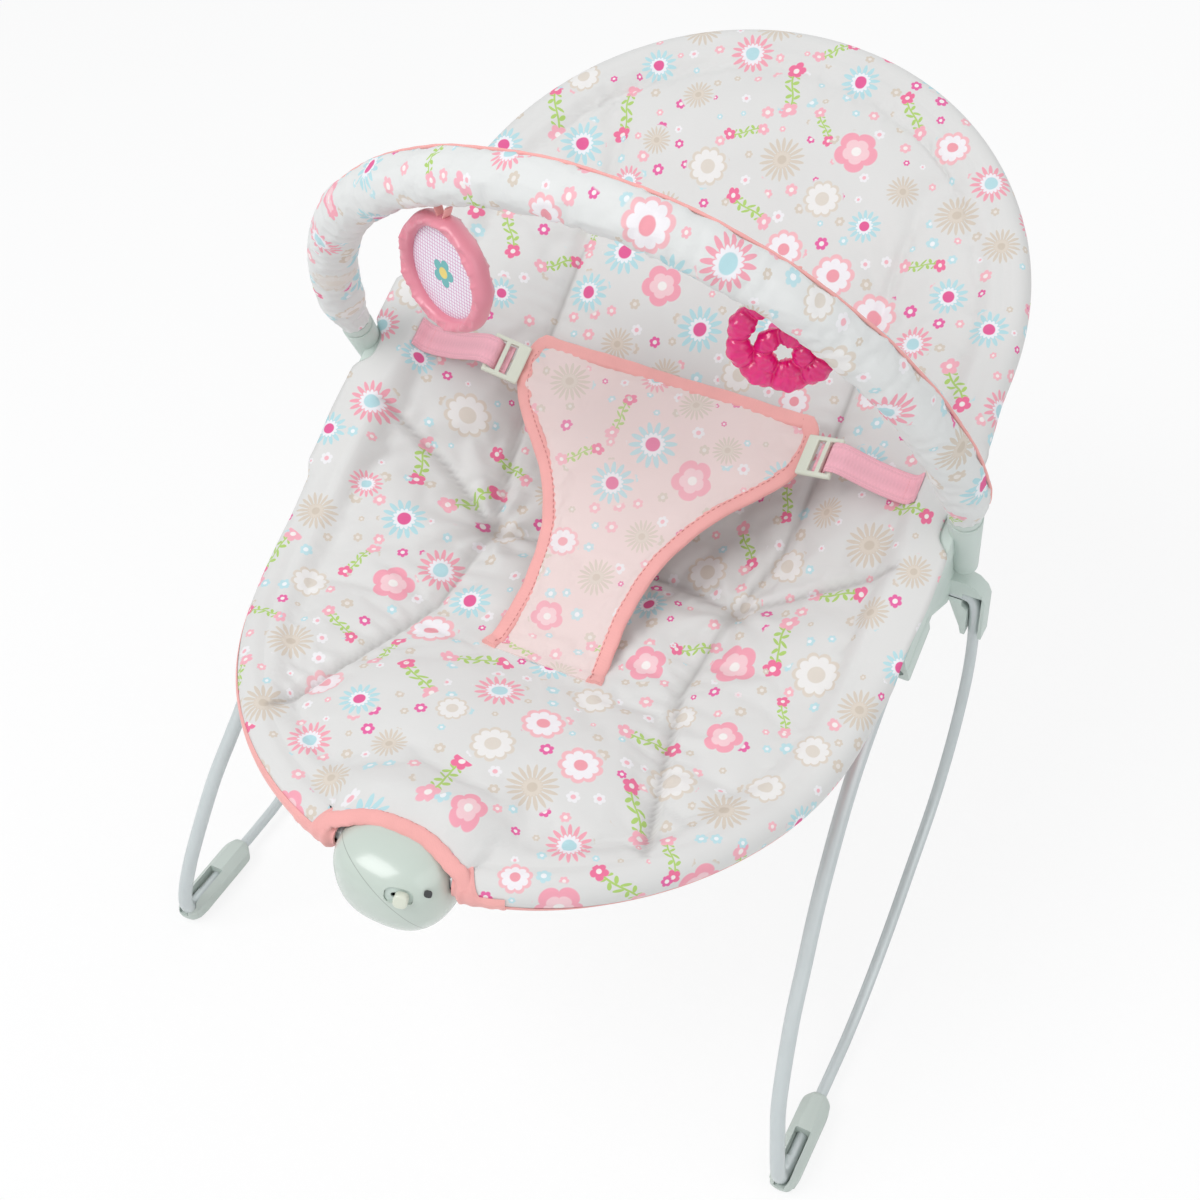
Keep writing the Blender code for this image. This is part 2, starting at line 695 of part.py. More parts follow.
def build_rear_foot(side, frame, finish):
    """Rubber sleeve on the rear bar, flat where it stands on the floor."""
    x = side * REAR_FOOT_X
    half = REAR_FOOT_LENGTH / 2
    low = (x - half, REAR_BAR_Y - REAR_FOOT_WIDTH / 2, 0.0)
    high = (x + half, REAR_BAR_Y + REAR_FOOT_WIDTH / 2, REAR_BAR_HEIGHT + REAR_BAR_RADIUS + 0.003)
    foot = add_mesh(f"rear_foot_{side_name(side)}", box(low, high, 0.003), finish, frame, 30.0)
    inner = [p for p in rear_bar_path() if abs(p.x - x) < half + 0.03]
    cut(foot, swept(inner, [REAR_BAR_RADIUS + TUBE_FIT] * len(inner), 16), frame)


# Hubs


def build_hub(side, frame, finishes):
    """Outer and inner hub shells on one side. Returns the inner shell's nearest plane."""
    name = side_name(side)
    tube_x = RIM_HALF_WIDTH - TUBE_INSET
    plate_outer = tube_x + HUB_PLATE
    front_s = HUB_FRONT_S + GAP
    outline = [
        hub_yz(front_s, HUB_TOP_N), hub_yz(HUB_REAR_S, HUB_TOP_N), hub_yz(HUB_REAR_S, HUB_TAIL_N),
        hub_yz(front_s, HUB_TAIL_N),
    ]
    shell = add_mesh(f"hub_outer_{name}", slab(outline, side * (tube_x + GAP), side * plate_outer, 0.0012),
                     finishes["hub"], frame, 30.0)
    add_hub_lobe(shell, side, frame)
    web = slab(web_outline(), side * (tube_x + 2 * GAP), side * WEB_OUTER_X, 0.0012)
    cut(shell, web, frame, "UNION")
    add_wing(shell, side, frame)
    add_cup(shell, side, frame)
    front = hub_point(HUB_FRONT_S - 0.01, 0.0, side * tube_x)
    rear = hub_point(HUB_REAR_S + 0.01, 0.0, side * tube_x)
    cut(shell, rod(front, rear, SEAT_TUBE_RADIUS + TUBE_FIT), frame)
    cut_leg_socket(shell, side, frame)
    cut_wire_way(shell, side, frame)
    inner_low = tube_x - SEAT_TUBE_RADIUS - TUBE_FIT - HUB_INNER_WALL
    inner_outline = [
        hub_yz(HUB_FRONT_S, HUB_TOP_N), hub_yz(HUB_REAR_S, HUB_TOP_N), hub_yz(HUB_REAR_S, HUB_TAIL_N),
        hub_yz(LOBE_END_S + GAP, HUB_TAIL_N), hub_yz(LOBE_END_S + GAP, LOBE_TOP_N + GAP),
        hub_yz(HUB_FRONT_S, LOBE_TOP_N + GAP),
    ]
    plate = slab(inner_outline, side * inner_low, side * (tube_x - GAP), 0.0008)
    cover = add_mesh(f"hub_inner_{name}", plate, finishes["hub"], frame, 30.0)
    cut(cover, rod(front, rear, SEAT_TUBE_RADIUS + TUBE_FIT), frame)
    for i, s in enumerate(SCREW_S):
        head = hub_point(s, SCREW_N, side * (inner_low + GAP))
        build_hub_screw(f"hub_screw_{name}_{i + 1}", side, head, cover, shell, frame, finishes["metal"])
    return inner_low


def add_hub_lobe(shell, side, frame):
    """Lower lobe at the hub's front, wide enough for the leg's socket."""
    outline = [
        hub_yz(HUB_FRONT_S, LOBE_TOP_N - GAP), hub_yz(LOBE_END_S - GAP, LOBE_TOP_N - GAP),
        hub_yz(LOBE_END_S - GAP, HUB_BOTTOM_N), hub_yz(HUB_FRONT_S, HUB_BOTTOM_N),
    ]
    cut(shell, slab(outline, side * LOBE_INNER_X, side * LOBE_OUTER_X, 0.0015), frame, "UNION")


def wing_planes():
    """X planes of the wing: channel's inner and outer faces and the outer wall."""
    inner = WIRE_WING_X - WIRE_RADIUS - CHANNEL_SIDE_GAP
    outer = WIRE_WING_X + WIRE_RADIUS + CHANNEL_SIDE_GAP
    return inner, outer, outer + WING_WALL


def add_wing(shell, side, frame):
    """Wing that reaches out over the wire, with a concave web under it."""
    inner, _, wall = wing_planes()
    root = RIM_HALF_WIDTH - TUBE_INSET + HUB_PLATE - 0.0020
    roof = BOUNCE_Z + WIRE_RADIUS + WING_ROOF
    foot = BOUNCE_Z - WING_DROP
    outline = [
        (root, roof + 0.0060), (root + 0.0100, roof + 0.0070), (wall - 0.0080, roof + 0.0045),
        (wall - 0.0025, roof - 0.0020), (wall, roof - 0.0095), (wall, foot), (inner - 0.0028, foot),
        (inner - 0.0042, foot + 0.0085), (inner - 0.0080, foot + 0.0210), (root + 0.0015, foot + 0.0340),
        (root, foot + 0.0345),
    ]
    cut(shell, wing_prism(outline, side, 0.0, WING_DEPTH), frame, "UNION")


def bar_point(height, x):
    """Point on the toy bar's leaning plane, height along the lean from the hub's cup."""
    return Vector((x, BAR_FOOT_Y - height * math.sin(BAR_LEAN), BAR_FOOT_Z + height * math.cos(BAR_LEAN)))


def wing_prism(outline, side, front, rear):
    """An outline of (x, z) points run back along Y, raked like the wing's front face."""
    bm = bmesh.new()
    near, far = [], []
    for x, z in outline:
        y = WING_FRONT_Y + WING_RAKE * (BOUNCE_Z - z)
        near.append(bm.verts.new((side * x, y + front, z)))
        far.append(bm.verts.new((side * x, y + rear, z)))
    bm.faces.new(near)
    bm.faces.new(far)
    for i in range(len(outline)):
        j = (i + 1) % len(outline)
        bm.faces.new((near[i], near[j], far[j], far[i]))
    return bm


def web_outline():
    """Web between the hub's plate, its front lobe and the wing's root, as (y, z) points."""
    wing_rear = WING_FRONT_Y + WING_DEPTH
    return [
        hub_yz(LOBE_END_S - 0.010, LOBE_TOP_N - 3 * GAP), hub_yz(HUB_REAR_S - 0.015, HUB_TAIL_N + 0.003),
        hub_yz(HUB_REAR_S - 0.019, HUB_TAIL_N - 0.001), (wing_rear, BOUNCE_Z + 0.019),
        (wing_rear, BOUNCE_Z - 0.008), (WING_FRONT_Y - 0.001, BOUNCE_Z - 0.008),
        hub_yz(0.006, HUB_BOTTOM_N + 2 * GAP), hub_yz(LOBE_END_S - 0.010, HUB_BOTTOM_N + 2 * GAP),
    ]


def add_cup(shell, side, frame):
    """Cup that takes the toy bar's plug, rooted in the wing's roof."""
    x = side * BAR_FOOT_X
    cup = rod(bar_point(CUP_BOTTOM, x), bar_point(CUP_TOP, x), CUP_FOOT_RADIUS, CUP_RADIUS, 24)
    cut(shell, cup, frame, "UNION")
    bore = rod(bar_point(CUP_TOP - CUP_DEPTH, x), bar_point(CUP_TOP + 0.01, x), PEG_RADIUS + GAP, sides=20)
    cut(shell, bore, frame)


def build_hub_screw(name, side, head, cover, shell, frame, finish):
    """One screw from the seat's side, with its recess in the cover and its hole in the shell."""
    inward = Vector((side, 0, 0))
    cut(cover, rod(head - inward * 0.004, head + inward * (SCREW_HEAD_HEIGHT + GAP),
                   SCREW_HEAD_RADIUS + GAP, sides=14), frame)
    cut(cover, rod(head - inward * 0.004, head + inward * 0.02, SCREW_RADIUS + GAP, sides=14), frame)
    cut(shell, rod(head, head + inward * (SCREW_LENGTH + GAP), SCREW_RADIUS + GAP, sides=14), frame)
    screw = add_mesh(name, rod(head, head + inward * SCREW_HEAD_HEIGHT, SCREW_HEAD_RADIUS, sides=12),
                     finish, frame, 30.0)
    cut(screw, rod(head + inward * (SCREW_HEAD_HEIGHT / 2), head + inward * SCREW_LENGTH,
                   SCREW_RADIUS, sides=12), frame, "UNION")


def cut_leg_socket(shell, side, frame):
    """Flared socket for the front leg, wide enough for the bounce."""
    x = side * LEG_SOCKET_X
    mouth = hub_point(HUB_FRONT_S - 0.004, LEG_SOCKET_N, x)
    end = hub_point(HUB_FRONT_S + LEG_SOCKET_DEPTH, LEG_SOCKET_N, x)
    wide = LEG_TUBE_RADIUS + BOUNCE_CLEARANCE
    narrow = LEG_TUBE_RADIUS + 0.6 * BOUNCE_CLEARANCE
    cut(shell, rod(mouth, end, wide, narrow), frame)


def cut_wire_way(shell, side, frame):
    """Channel down the wing and the bore that the wire turns inwards through."""
    inner, outer, _ = wing_planes()
    top = BOUNCE_Z + WIRE_RADIUS + CHANNEL_SIDE_GAP
    foot = BOUNCE_Z - WING_DROP - 0.01
    channel = [(inner, foot), (outer, foot), (outer, top), (inner, top)]
    cut(shell, wing_prism(channel, side, -0.02, CHANNEL_DEPTH), frame)
    bend = [(inner - 0.0040, BOUNCE_Z - 0.0095), (inner + 0.0010, BOUNCE_Z - 0.0145),
            (inner + 0.0010, top), (inner - 0.0040, top)]
    cut(shell, wing_prism(bend, side, -0.02, CHANNEL_DEPTH - 0.0012), frame)
    bore = WIRE_RADIUS + CHANNEL_SIDE_GAP
    cut(shell, rod((side * 0.170, BOUNCE_Y, BOUNCE_Z), (side * inner, BOUNCE_Y, BOUNCE_Z), bore), frame)


def box_between(first, second):
    """A box between two corners given in any order."""
    low = [min(a, b) for a, b in zip(first, second)]
    high = [max(a, b) for a, b in zip(first, second)]
    return box(low, high)


# Seat frame and its sewn sleeve


def build_hub_cover(side, frame, finish):
    """Cloth flap from the pad's edge over the hub, where the sleeve leaves the tube free."""
    inner_low = RIM_HALF_WIDTH - TUBE_INSET - SEAT_TUBE_RADIUS - TUBE_FIT - HUB_INNER_WALL
    low_s, high_s = HUB_FRONT_S + GAP, HUB_REAR_S - GAP
    top = [hub_yz(low_s, HUB_TOP_N + GAP), hub_yz(high_s, HUB_TOP_N + GAP),
           hub_yz(high_s, HUB_TOP_N + 0.0026), hub_yz(low_s, HUB_TOP_N + 0.0026)]
    flap = add_mesh(f"pad_side_flap_{side_name(side)}",
                    slab(top, side * (inner_low - 0.0022), side * FLAP_OUTER_X), finish, frame)
    notch = rod(bar_point(0.0, side * BAR_FOOT_X), bar_point(0.05, side * BAR_FOOT_X), CUP_RADIUS + 2 * GAP)
    cut(flap, notch, frame)
    lip = [hub_yz(low_s, -0.0020), hub_yz(high_s, -0.0020),
           hub_yz(high_s, HUB_TOP_N + 0.0015), hub_yz(low_s, HUB_TOP_N + 0.0015)]
    cut(flap, slab(lip, side * (inner_low - 0.0022), side * (inner_low - GAP)), frame, "UNION")


def full_front_run():
    """Whole middle line of the foot-end tube."""
    joint = rim_u(HUB_Y) + HUB_JOINT_S
    right = front_outline(joint - GAP, TUBE_INSET, math.pi / 2, 15)
    return [*right, *mirrored(reversed(right[:-1]), -1)]


def build_seat_frame(frame, finishes):
    """The foot-end tube, the head tube and the sleeve that is sewn round them."""
    joint = rim_u(HUB_Y) + HUB_JOINT_S
    add_tube("seat_front_tube", full_front_run(), SEAT_TUBE_RADIUS, finishes["steel"], frame, 2)
    add_tube("seat_back_tube", head_outline(joint + GAP, TUBE_INSET, 19), SEAT_TUBE_RADIUS,
             finishes["steel"], frame, 2)
    outer = SEAT_TUBE_RADIUS + TUBE_FIT + SLEEVE_WALL
    bore = SEAT_TUBE_RADIUS + TUBE_FIT
    back_start = rim_u(HUB_Y) + HUB_REAR_S + GAP
    back = head_outline(back_start, TUBE_INSET, 19)
    add_mesh("pad_sleeve_back", swept(back, [outer] * len(back), 8, bore * 1.09), finishes["cloth"], frame)
    front_start = rim_u(HUB_Y) + HUB_FRONT_S - GAP
    stop = math.acos((VIB_SIZE.x + 0.0030) / (RIM_HALF_WIDTH - TUBE_INSET))
    half = front_outline(front_start, TUBE_INSET, stop, 14)
    for side in (1, -1):
        sleeve = swept(mirrored(half, side), [outer] * len(half), 8, bore * 1.09)
        add_mesh(f"pad_sleeve_front_{side_name(side)}", sleeve, finishes["binding"], frame)
        build_hub_cover(side, frame, finishes["cloth"])


# Seat pad, crotch pad, straps and buckles


def pad_rows(u_values):
    """Top and underside grids of the pad over rows of u."""
    shares = [*[-s for s in reversed(PAD_SHARES)], 0.0, *PAD_SHARES]
    top, bottom = [], []
    for u in u_values:
        half = pad_half_width(u)
        top.append([pad_surface(u, half * s, 1) for s in shares])
        bottom.append([pad_surface(u, half * s, -1) for s in shares])
    return top, bottom


def build_seat_pad(frame, finishes):
    """Padded sling in two panels that meet at the crease behind the sitter's legs."""
    arc = FRONT_ARC_LENGTH - PAD_INSET
    first = math.asin((FRONT_ARC_CENTRE - PAD_FRONT_U) / arc)
    front = [FRONT_ARC_CENTRE - arc * math.sin(a) for a in frange(first, 0.0, PAD_LOWER_ROWS)]
    lower = [*front, *frange(FRONT_ARC_CENTRE + 0.018, CREASE_U - GAP, 5)]
    add_mesh("seat_pad_lower", shell_grid(*pad_rows(lower)), finishes["cloth"], frame, 60.0)
    half = RIM_HALF_WIDTH - PAD_INSET
    last = math.acos(0.016 / half)
    head = [HEAD_ARC_CENTRE + half * math.sin(a) for a in frange(0.0, last, PAD_BACK_ROWS - 9)]
    upper = [*frange(CREASE_U + GAP, HEAD_ARC_CENTRE - 0.012, 9), *head]
    add_mesh("seat_pad_back", shell_grid(*pad_rows(upper)), finishes["cloth"], frame, 60.0)
    edge = (pad_surface(PAD_FRONT_U, 0.0, 1) + pad_surface(PAD_FRONT_U, 0.0, -1)) / 2
    tip, rim = FRONT_TIP_U, FRONT_RIM_HEIGHT
    arch = [(0.0440, tip + 0.0118, rim + 0.0134), (0.0400, tip + 0.0126, rim + 0.0139),
            (0.0345, tip + 0.0140, rim + 0.0156), (0.0260, tip + 0.0168, rim + 0.0184),
            (0.0140, edge.y - 0.0036, edge.z - 0.0008),
            (0.0, edge.y - 0.0033, edge.z)]
    path = smooth_path([*arch, *mirrored(reversed(arch[:-1]), -1)], 0.008)
    add_tube("pad_arch_binding", path, 0.0026, finishes["binding"], frame, 1)


def crotch_half_width(share):
    """Half width of the crotch pad, from its bottom edge (0) to its top edge (1)."""
    stations = ((0.0, 0.040), (0.25, 0.035), (0.45, 0.042), (0.62, 0.062), (0.78, 0.092), (0.9, 0.103),
                (1.0, 0.100))
    for (a, wa), (b, wb) in zip(stations, stations[1:]):
        if share <= b:
            return wa + (wb - wa) * (share - a) / (b - a)
    return stations[-1][1]


def crotch_path():
    """Middle line of the crotch pad's underside, from the lower pad up to the straps."""
    lift = Vector((0, 0, GAP + 0.0008))
    low = pad_surface(CROTCH_BOTTOM_U, 0.0, 1) + lift
    next_low = pad_surface(CROTCH_BOTTOM_U + 0.016, 0.0, 1) + lift + Vector((0, 0, 0.0015))
    top = Vector((0, CROTCH_TOP_Y, CROTCH_TOP_Z))
    rises = ((0.35, -0.004), (0.7, -0.002))
    bridge = [next_low.lerp(top, share) + Vector((0, 0, rise)) for share, rise in rises]
    return smooth_path([low, next_low, *bridge, top], 0.012)


def crotch_point(share, x, lift):
    """Point of the crotch pad at a share of its length."""
    path = crotch_path()
    place = share * (len(path) - 1)
    i = min(int(place), len(path) - 2)
    along = (path[i + 1] - path[i]).normalized()
    up = Vector((1, 0, 0)).cross(along)
    return path[i].lerp(path[i + 1], place - i) + up * lift + Vector((x, 0, 0))


def build_crotch_pad(frame, finish):
    """Hourglass pad that comes up between the legs."""
    top, bottom = [], []
    for share in frange(0.0, 1.0, 13):
        half = crotch_half_width(share)
        across = frange(-half, half, 9)
        crown = [CROTCH_THICKNESS * (1 - 0.4 * (x / half) ** 4) for x in across]
        top.append([crotch_point(share, x, c) for x, c in zip(across, crown)])
        bottom.append([crotch_point(share, x, 0.0) for x in across])
    add_mesh("crotch_pad", shell_grid(top, bottom), finish, frame, 60.0)


def buckle_frame(side):
    """Turn and place of a buckle: it slopes with the crotch pad and tilts up to the strap."""
    corner = crotch_point(0.87, side * BUCKLE_INNER_X, CROTCH_THICKNESS)
    ahead = crotch_point(0.95, side * BUCKLE_INNER_X, CROTCH_THICKNESS)
    slope = math.atan2(ahead.z - corner.z, ahead.y - corner.y)
    turn = Matrix.Rotation(slope, 4, "X") @ Matrix.Rotation(-side * BUCKLE_TILT, 4, "Y")
    half = (BUCKLE_OUTER_X - BUCKLE_INNER_X) / 2
    shift = turn @ Vector((side * half, 0, BUCKLE_THICKNESS / 2 + GAP))
    return Matrix.Translation(corner + shift) @ turn


def build_buckle(side, frame, finish):
    """Slide buckle: solid end through the pad's slit, centre bar and outer bar for the strap."""
    half = (BUCKLE_OUTER_X - BUCKLE_INNER_X) / 2
    wide, thick = BUCKLE_WIDTH / 2, BUCKLE_THICKNESS / 2
    body = box((-half, -wide, -thick), (half, wide, thick), 0.0010)
    body.transform(buckle_frame(side))
    buckle = add_mesh(f"waist_buckle_{side_name(side)}", body, finish, frame, 30.0)
    solid_edge = -half + BUCKLE_END
    slot = (2 * half - BUCKLE_END - 2 * BUCKLE_BAR) / 2
    for k in range(2):
        start = solid_edge + k * (slot + BUCKLE_BAR)
        window = box_between((side * start, -wide + BUCKLE_BAR, -0.01),
                             (side * (start + slot), wide - BUCKLE_BAR, 0.01))
        window.transform(buckle_frame(side))
        cut(buckle, window, frame)


def build_strap(side, inner_low, frame, finish):
    """Waist strap: from the pad's edge, over the buckle's outer bar and under the next one."""
    half = (BUCKLE_OUTER_X - BUCKLE_INNER_X) / 2
    place = buckle_frame(side)
    slot = (2 * half - BUCKLE_END - 2 * BUCKLE_BAR) / 2
    bar_low = half - BUCKLE_BAR
    centre_high = bar_low - slot
    over = BUCKLE_THICKNESS / 2 + STRAP_THICKNESS / 2 + GAP
    inside = [
        (centre_high - BUCKLE_BAR - slot * 0.7, -over + 0.0008), (centre_high - BUCKLE_BAR, -over),
        (centre_high + 0.0008, -over), (bar_low - 0.0008, over), (half, over), (half + 0.0050, over - 0.0016),
    ]
    points = [place @ Vector((side * x, 0, z)) for x, z in inside]
    u = rim_u(points[-1].y + 0.004)
    for x, lift in ((inner_low - 0.030, 0.0056), (inner_low - 0.014, 0.0028), (inner_low - 0.0055, 0.0020)):
        points.append(pad_surface(u, side * x, 1) + Vector((0, 0, lift)))
    across = (place.to_3x3() @ Vector((0, 1, 0))).normalized()
    top, bottom = [], []
    for i, point in enumerate(points):
        before, after = points[max(i - 1, 0)], points[min(i + 1, len(points) - 1)]
        along = (after - before).normalized()
        lift = along.cross(across).normalized() * (side * STRAP_THICKNESS / 2)
        reach = across * (STRAP_WIDTH / 2)
        top.append([point + reach * t + lift for t in (-1, 1)])
        bottom.append([point + reach * t - lift for t in (-1, 1)])
    add_mesh(f"waist_strap_{side_name(side)}", shell_grid(top, bottom), finish, frame, 40.0)


# Toy bar


def bar_middle(angle):
    """Point of the toy bar's middle line, by the angle round its arch from the right."""
    return bar_point(BAR_LEG_HEIGHT + BAR_ARCH_RISE * math.sin(angle), BAR_ARCH_RADIUS * math.cos(angle))


def bar_at(x):
    """Middle of the bar and its direction where it passes x."""
    angle = math.acos(x / BAR_ARCH_RADIUS)
    after = bar_middle(angle + 0.01)
    before = bar_middle(angle - 0.01)
    return bar_middle(angle), (after - before).normalized()


def bar_core_points(start):
    """Middle line of the toy bar's core, from start on the right to start on the left."""
    leg = [bar_point(start, BAR_FOOT_X), bar_point(start + 0.006, BAR_FOOT_X)]
    first = math.asin((start + 0.018 - BAR_LEG_HEIGHT) / BAR_ARCH_RISE)
    arch = [bar_middle(a) for a in frange(first, math.pi - first, 21)]
    return [*leg, *arch, *mirrored(reversed(leg), -1)]


def build_toy_bar(frame, finishes):
    """Core, padded sleeve and the two plugs."""
    core_start = CUP_TOP + FLANGE_HEIGHT + 2 * GAP
    add_tube("toy_bar_core", bar_core_points(core_start), BAR_CORE_RADIUS, finishes["plug"], frame, 2)
    path = bar_core_points(core_start + GAP)
    ends = (BAR_SLEEVE_END_RADIUS, BAR_SLEEVE_END_RADIUS + 0.0020, BAR_SLEEVE_RADIUS - 0.0010)
    radii = [BAR_SLEEVE_RADIUS] * len(path)
    for i, end in enumerate(ends):
        radii[i] = end
        radii[-1 - i] = end
    add_mesh("toy_bar_sleeve", swept(path, radii, 12, (BAR_CORE_RADIUS + TUBE_FIT) * 1.05), finishes["cloth"],
             frame, 60.0)
    for side in (1, -1):
        x = side * BAR_FOOT_X
        flange_top = CUP_TOP + FLANGE_HEIGHT + GAP
        plug = add_mesh(f"toy_bar_plug_{side_name(side)}",
                        rod(bar_point(CUP_TOP + GAP, x), bar_point(flange_top, x), FLANGE_RADIUS, sides=20),
                        finishes["plug"], frame, 30.0)
        peg = rod(bar_point(CUP_TOP - PEG_LENGTH, x), bar_point(flange_top - 0.001, x), PEG_RADIUS, sides=20)
        cut(plug, peg, frame, "UNION")


def bar_underside(x):
    """Point just below the sleeve, straight under the bar's middle line at x."""
    middle, along = bar_at(x)
    slope = abs(along.z) / math.sqrt(1 - along.z ** 2)
    drop = (BAR_SLEEVE_RADIUS + 2 * GAP) / math.sqrt(1 - along.z ** 2) + slope * LOOP_WIDTH / 2
    return middle - Vector((0, 0, drop))


def hang_loop(name, pivot, drop, frame, finish):
    """Cloth loop between the bar and a toy."""
    half = LOOP_WIDTH / 2
    strip = box((pivot.x - half, pivot.y - LOOP_THICKNESS, pivot.z - drop),
                (pivot.x + half, pivot.y + LOOP_THICKNESS, pivot.z))
    add_mesh(name, strip, finish, frame)


def build_mirror_toy(frame, pivot, finishes):
    """Round mirror toy: embossed frame, thin panel and the cloth loop."""
    centre = pivot - Vector((0, 0, TOY_DROP + MIRROR_RADIUS))
    turn = Matrix.Rotation(MIRROR_TURN, 4, "Z") @ Matrix.Rotation(math.pi / 2, 4, "X")
    facing = Matrix.Translation(centre) @ turn
    bm = ring_body(26, 8, lambda k, a: (
        MIRROR_RADIUS - MIRROR_RIM / 2 * (1 - math.cos(a) * (1 + 0.03 * math.cos(7 * k))),
        MIRROR_DEPTH / 2 * math.sin(a)))
    bm.transform(facing)
    holder = add_mesh("mirror_frame", bm, finishes["mirror_frame"], frame, 60.0)
    panel_radius = MIRROR_RADIUS - MIRROR_RIM * 0.8
    half = MIRROR_PANEL_THICKNESS / 2
    groove = rod((0, 0, -half - GAP), (0, 0, half + GAP), panel_radius + GAP, sides=28)
    groove.transform(facing)
    cut(holder, groove, frame)
    panel = rod((0, 0, -half), (0, 0, half), panel_radius, sides=28)
    panel.transform(facing)
    add_mesh("mirror_panel", panel, finishes["mirror"], frame, 30.0)
    hang_loop("mirror_loop", pivot, TOY_DROP - GAP, frame, finishes["binding"])


def build_teether(frame, pivot, finishes):
    """Teether: a lobed outer ring with a smaller ring inside its foot, behind the bar."""
    place = Matrix.Translation(pivot) @ Matrix.Rotation(TEETHER_TURN, 4, "Z")
    reach = TEETHER_RADIUS + TEETHER_TUBE * 1.12
    outer = lobed_ring(TEETHER_RADIUS, TEETHER_TUBE, 9, 27, 7)
    inner = lobed_ring(TEETHER_KNOT_RADIUS, TEETHER_TUBE * 0.86, 5, 15, 7)
    inner.transform(Matrix.Translation((0, TEETHER_KNOT_RADIUS + TEETHER_TUBE - TEETHER_RADIUS, 0)))
    upright = place @ Matrix.Translation((0, TEETHER_BEHIND, -TEETHER_DROP - reach))
    upright = upright @ Matrix.Rotation(math.pi / 2, 4, "X")
    outer.transform(upright)
    inner.transform(upright)
    ring = add_mesh("teether_ring", outer, finishes["teether"], frame, 60.0)
    cut(ring, inner, frame, "UNION")
    half, thick = LOOP_WIDTH / 2, LOOP_THICKNESS
    strap = box((-half, TEETHER_BEHIND - thick / 2, -TEETHER_DROP + GAP),
                (half, TEETHER_BEHIND + thick / 2, 0))
    flap = box((-half * 0.98, 0, -thick), (half * 0.98, TEETHER_BEHIND, -thick * 0.02))
    strap.transform(place)
    flap.transform(place)
    loop = add_mesh("teether_loop", strap, finishes["binding"], frame)
    cut(loop, flap, frame, "UNION")


# Vibration unit


def switch_turn():
    """Turn and place of the slide switch on the dome: X along the run, Z out of the dome."""
    power = 2 / VIB_SQUARENESS
    wide = abs(SWITCH_X / VIB_SIZE.x) ** power
    high = abs((SWITCH_Z - VIB_CENTRE.z) / VIB_CROWN) ** power
    deep = (1 - wide - high) ** (1 / power)
    point = Vector((SWITCH_X, VIB_CENTRE.y - VIB_SIZE.y * deep, SWITCH_Z))
    z = Vector((
        (SWITCH_X / VIB_SIZE.x) ** (power - 1) / VIB_SIZE.x,
        -deep ** (power - 1) / VIB_SIZE.y,
        ((SWITCH_Z - VIB_CENTRE.z) / VIB_CROWN) ** (power - 1) / VIB_CROWN,
    )).normalized()
    x = (Vector((1, 0, 0)) - z * z.x).normalized()
    turn = Matrix((x, z.cross(x), z)).transposed().to_4x4()
    return Matrix.Translation(point) @ turn


def build_vibration_shells(frame, finishes):
    """Upper and lower shells that clamp round the front tube, with the battery door's opening."""
    split = FRONT_RIM_HEIGHT
    far = 0.09
    tube_run = [p for p in full_front_run() if abs(p.x) < 0.075]
    bore = [(SEAT_TUBE_RADIUS + TUBE_FIT) * 1.02] * len(tube_run)
    upper = add_mesh("vibration_upper_shell", dome(0.0), finishes["hub"], frame, 50.0)
    cut(upper, dome(VIB_WALL), frame)
    cut(upper, box((-far, -far - 0.1, split - far), (far, far, split + VIB_SPLIT_GAP / 2)), frame)
    cut(upper, swept(tube_run, bore, 16), frame)
    slot = box((-0.0056, -0.0022, -0.006), (0.0056, 0.0022, 0.02))
    slot.transform(switch_turn())
    cut(upper, slot, frame)
    lower = add_mesh("vibration_lower_shell", dome(0.0), finishes["hub"], frame, 50.0)
    cut(lower, dome(VIB_WALL), frame)
    cut(lower, box((-far, -far - 0.1, split - VIB_SPLIT_GAP / 2), (far, far, split + far)), frame)
    cut(lower, swept(tube_run, bore, 16), frame)
    door_low = (-DOOR_HALF_LENGTH - GAP, DOOR_FRONT_Y - GAP, VIB_CENTRE.z - far)
    door_high = (DOOR_HALF_LENGTH + GAP, DOOR_REAR_Y + GAP, BATTERY_Z)
    cut(lower, box(door_low, door_high), frame)


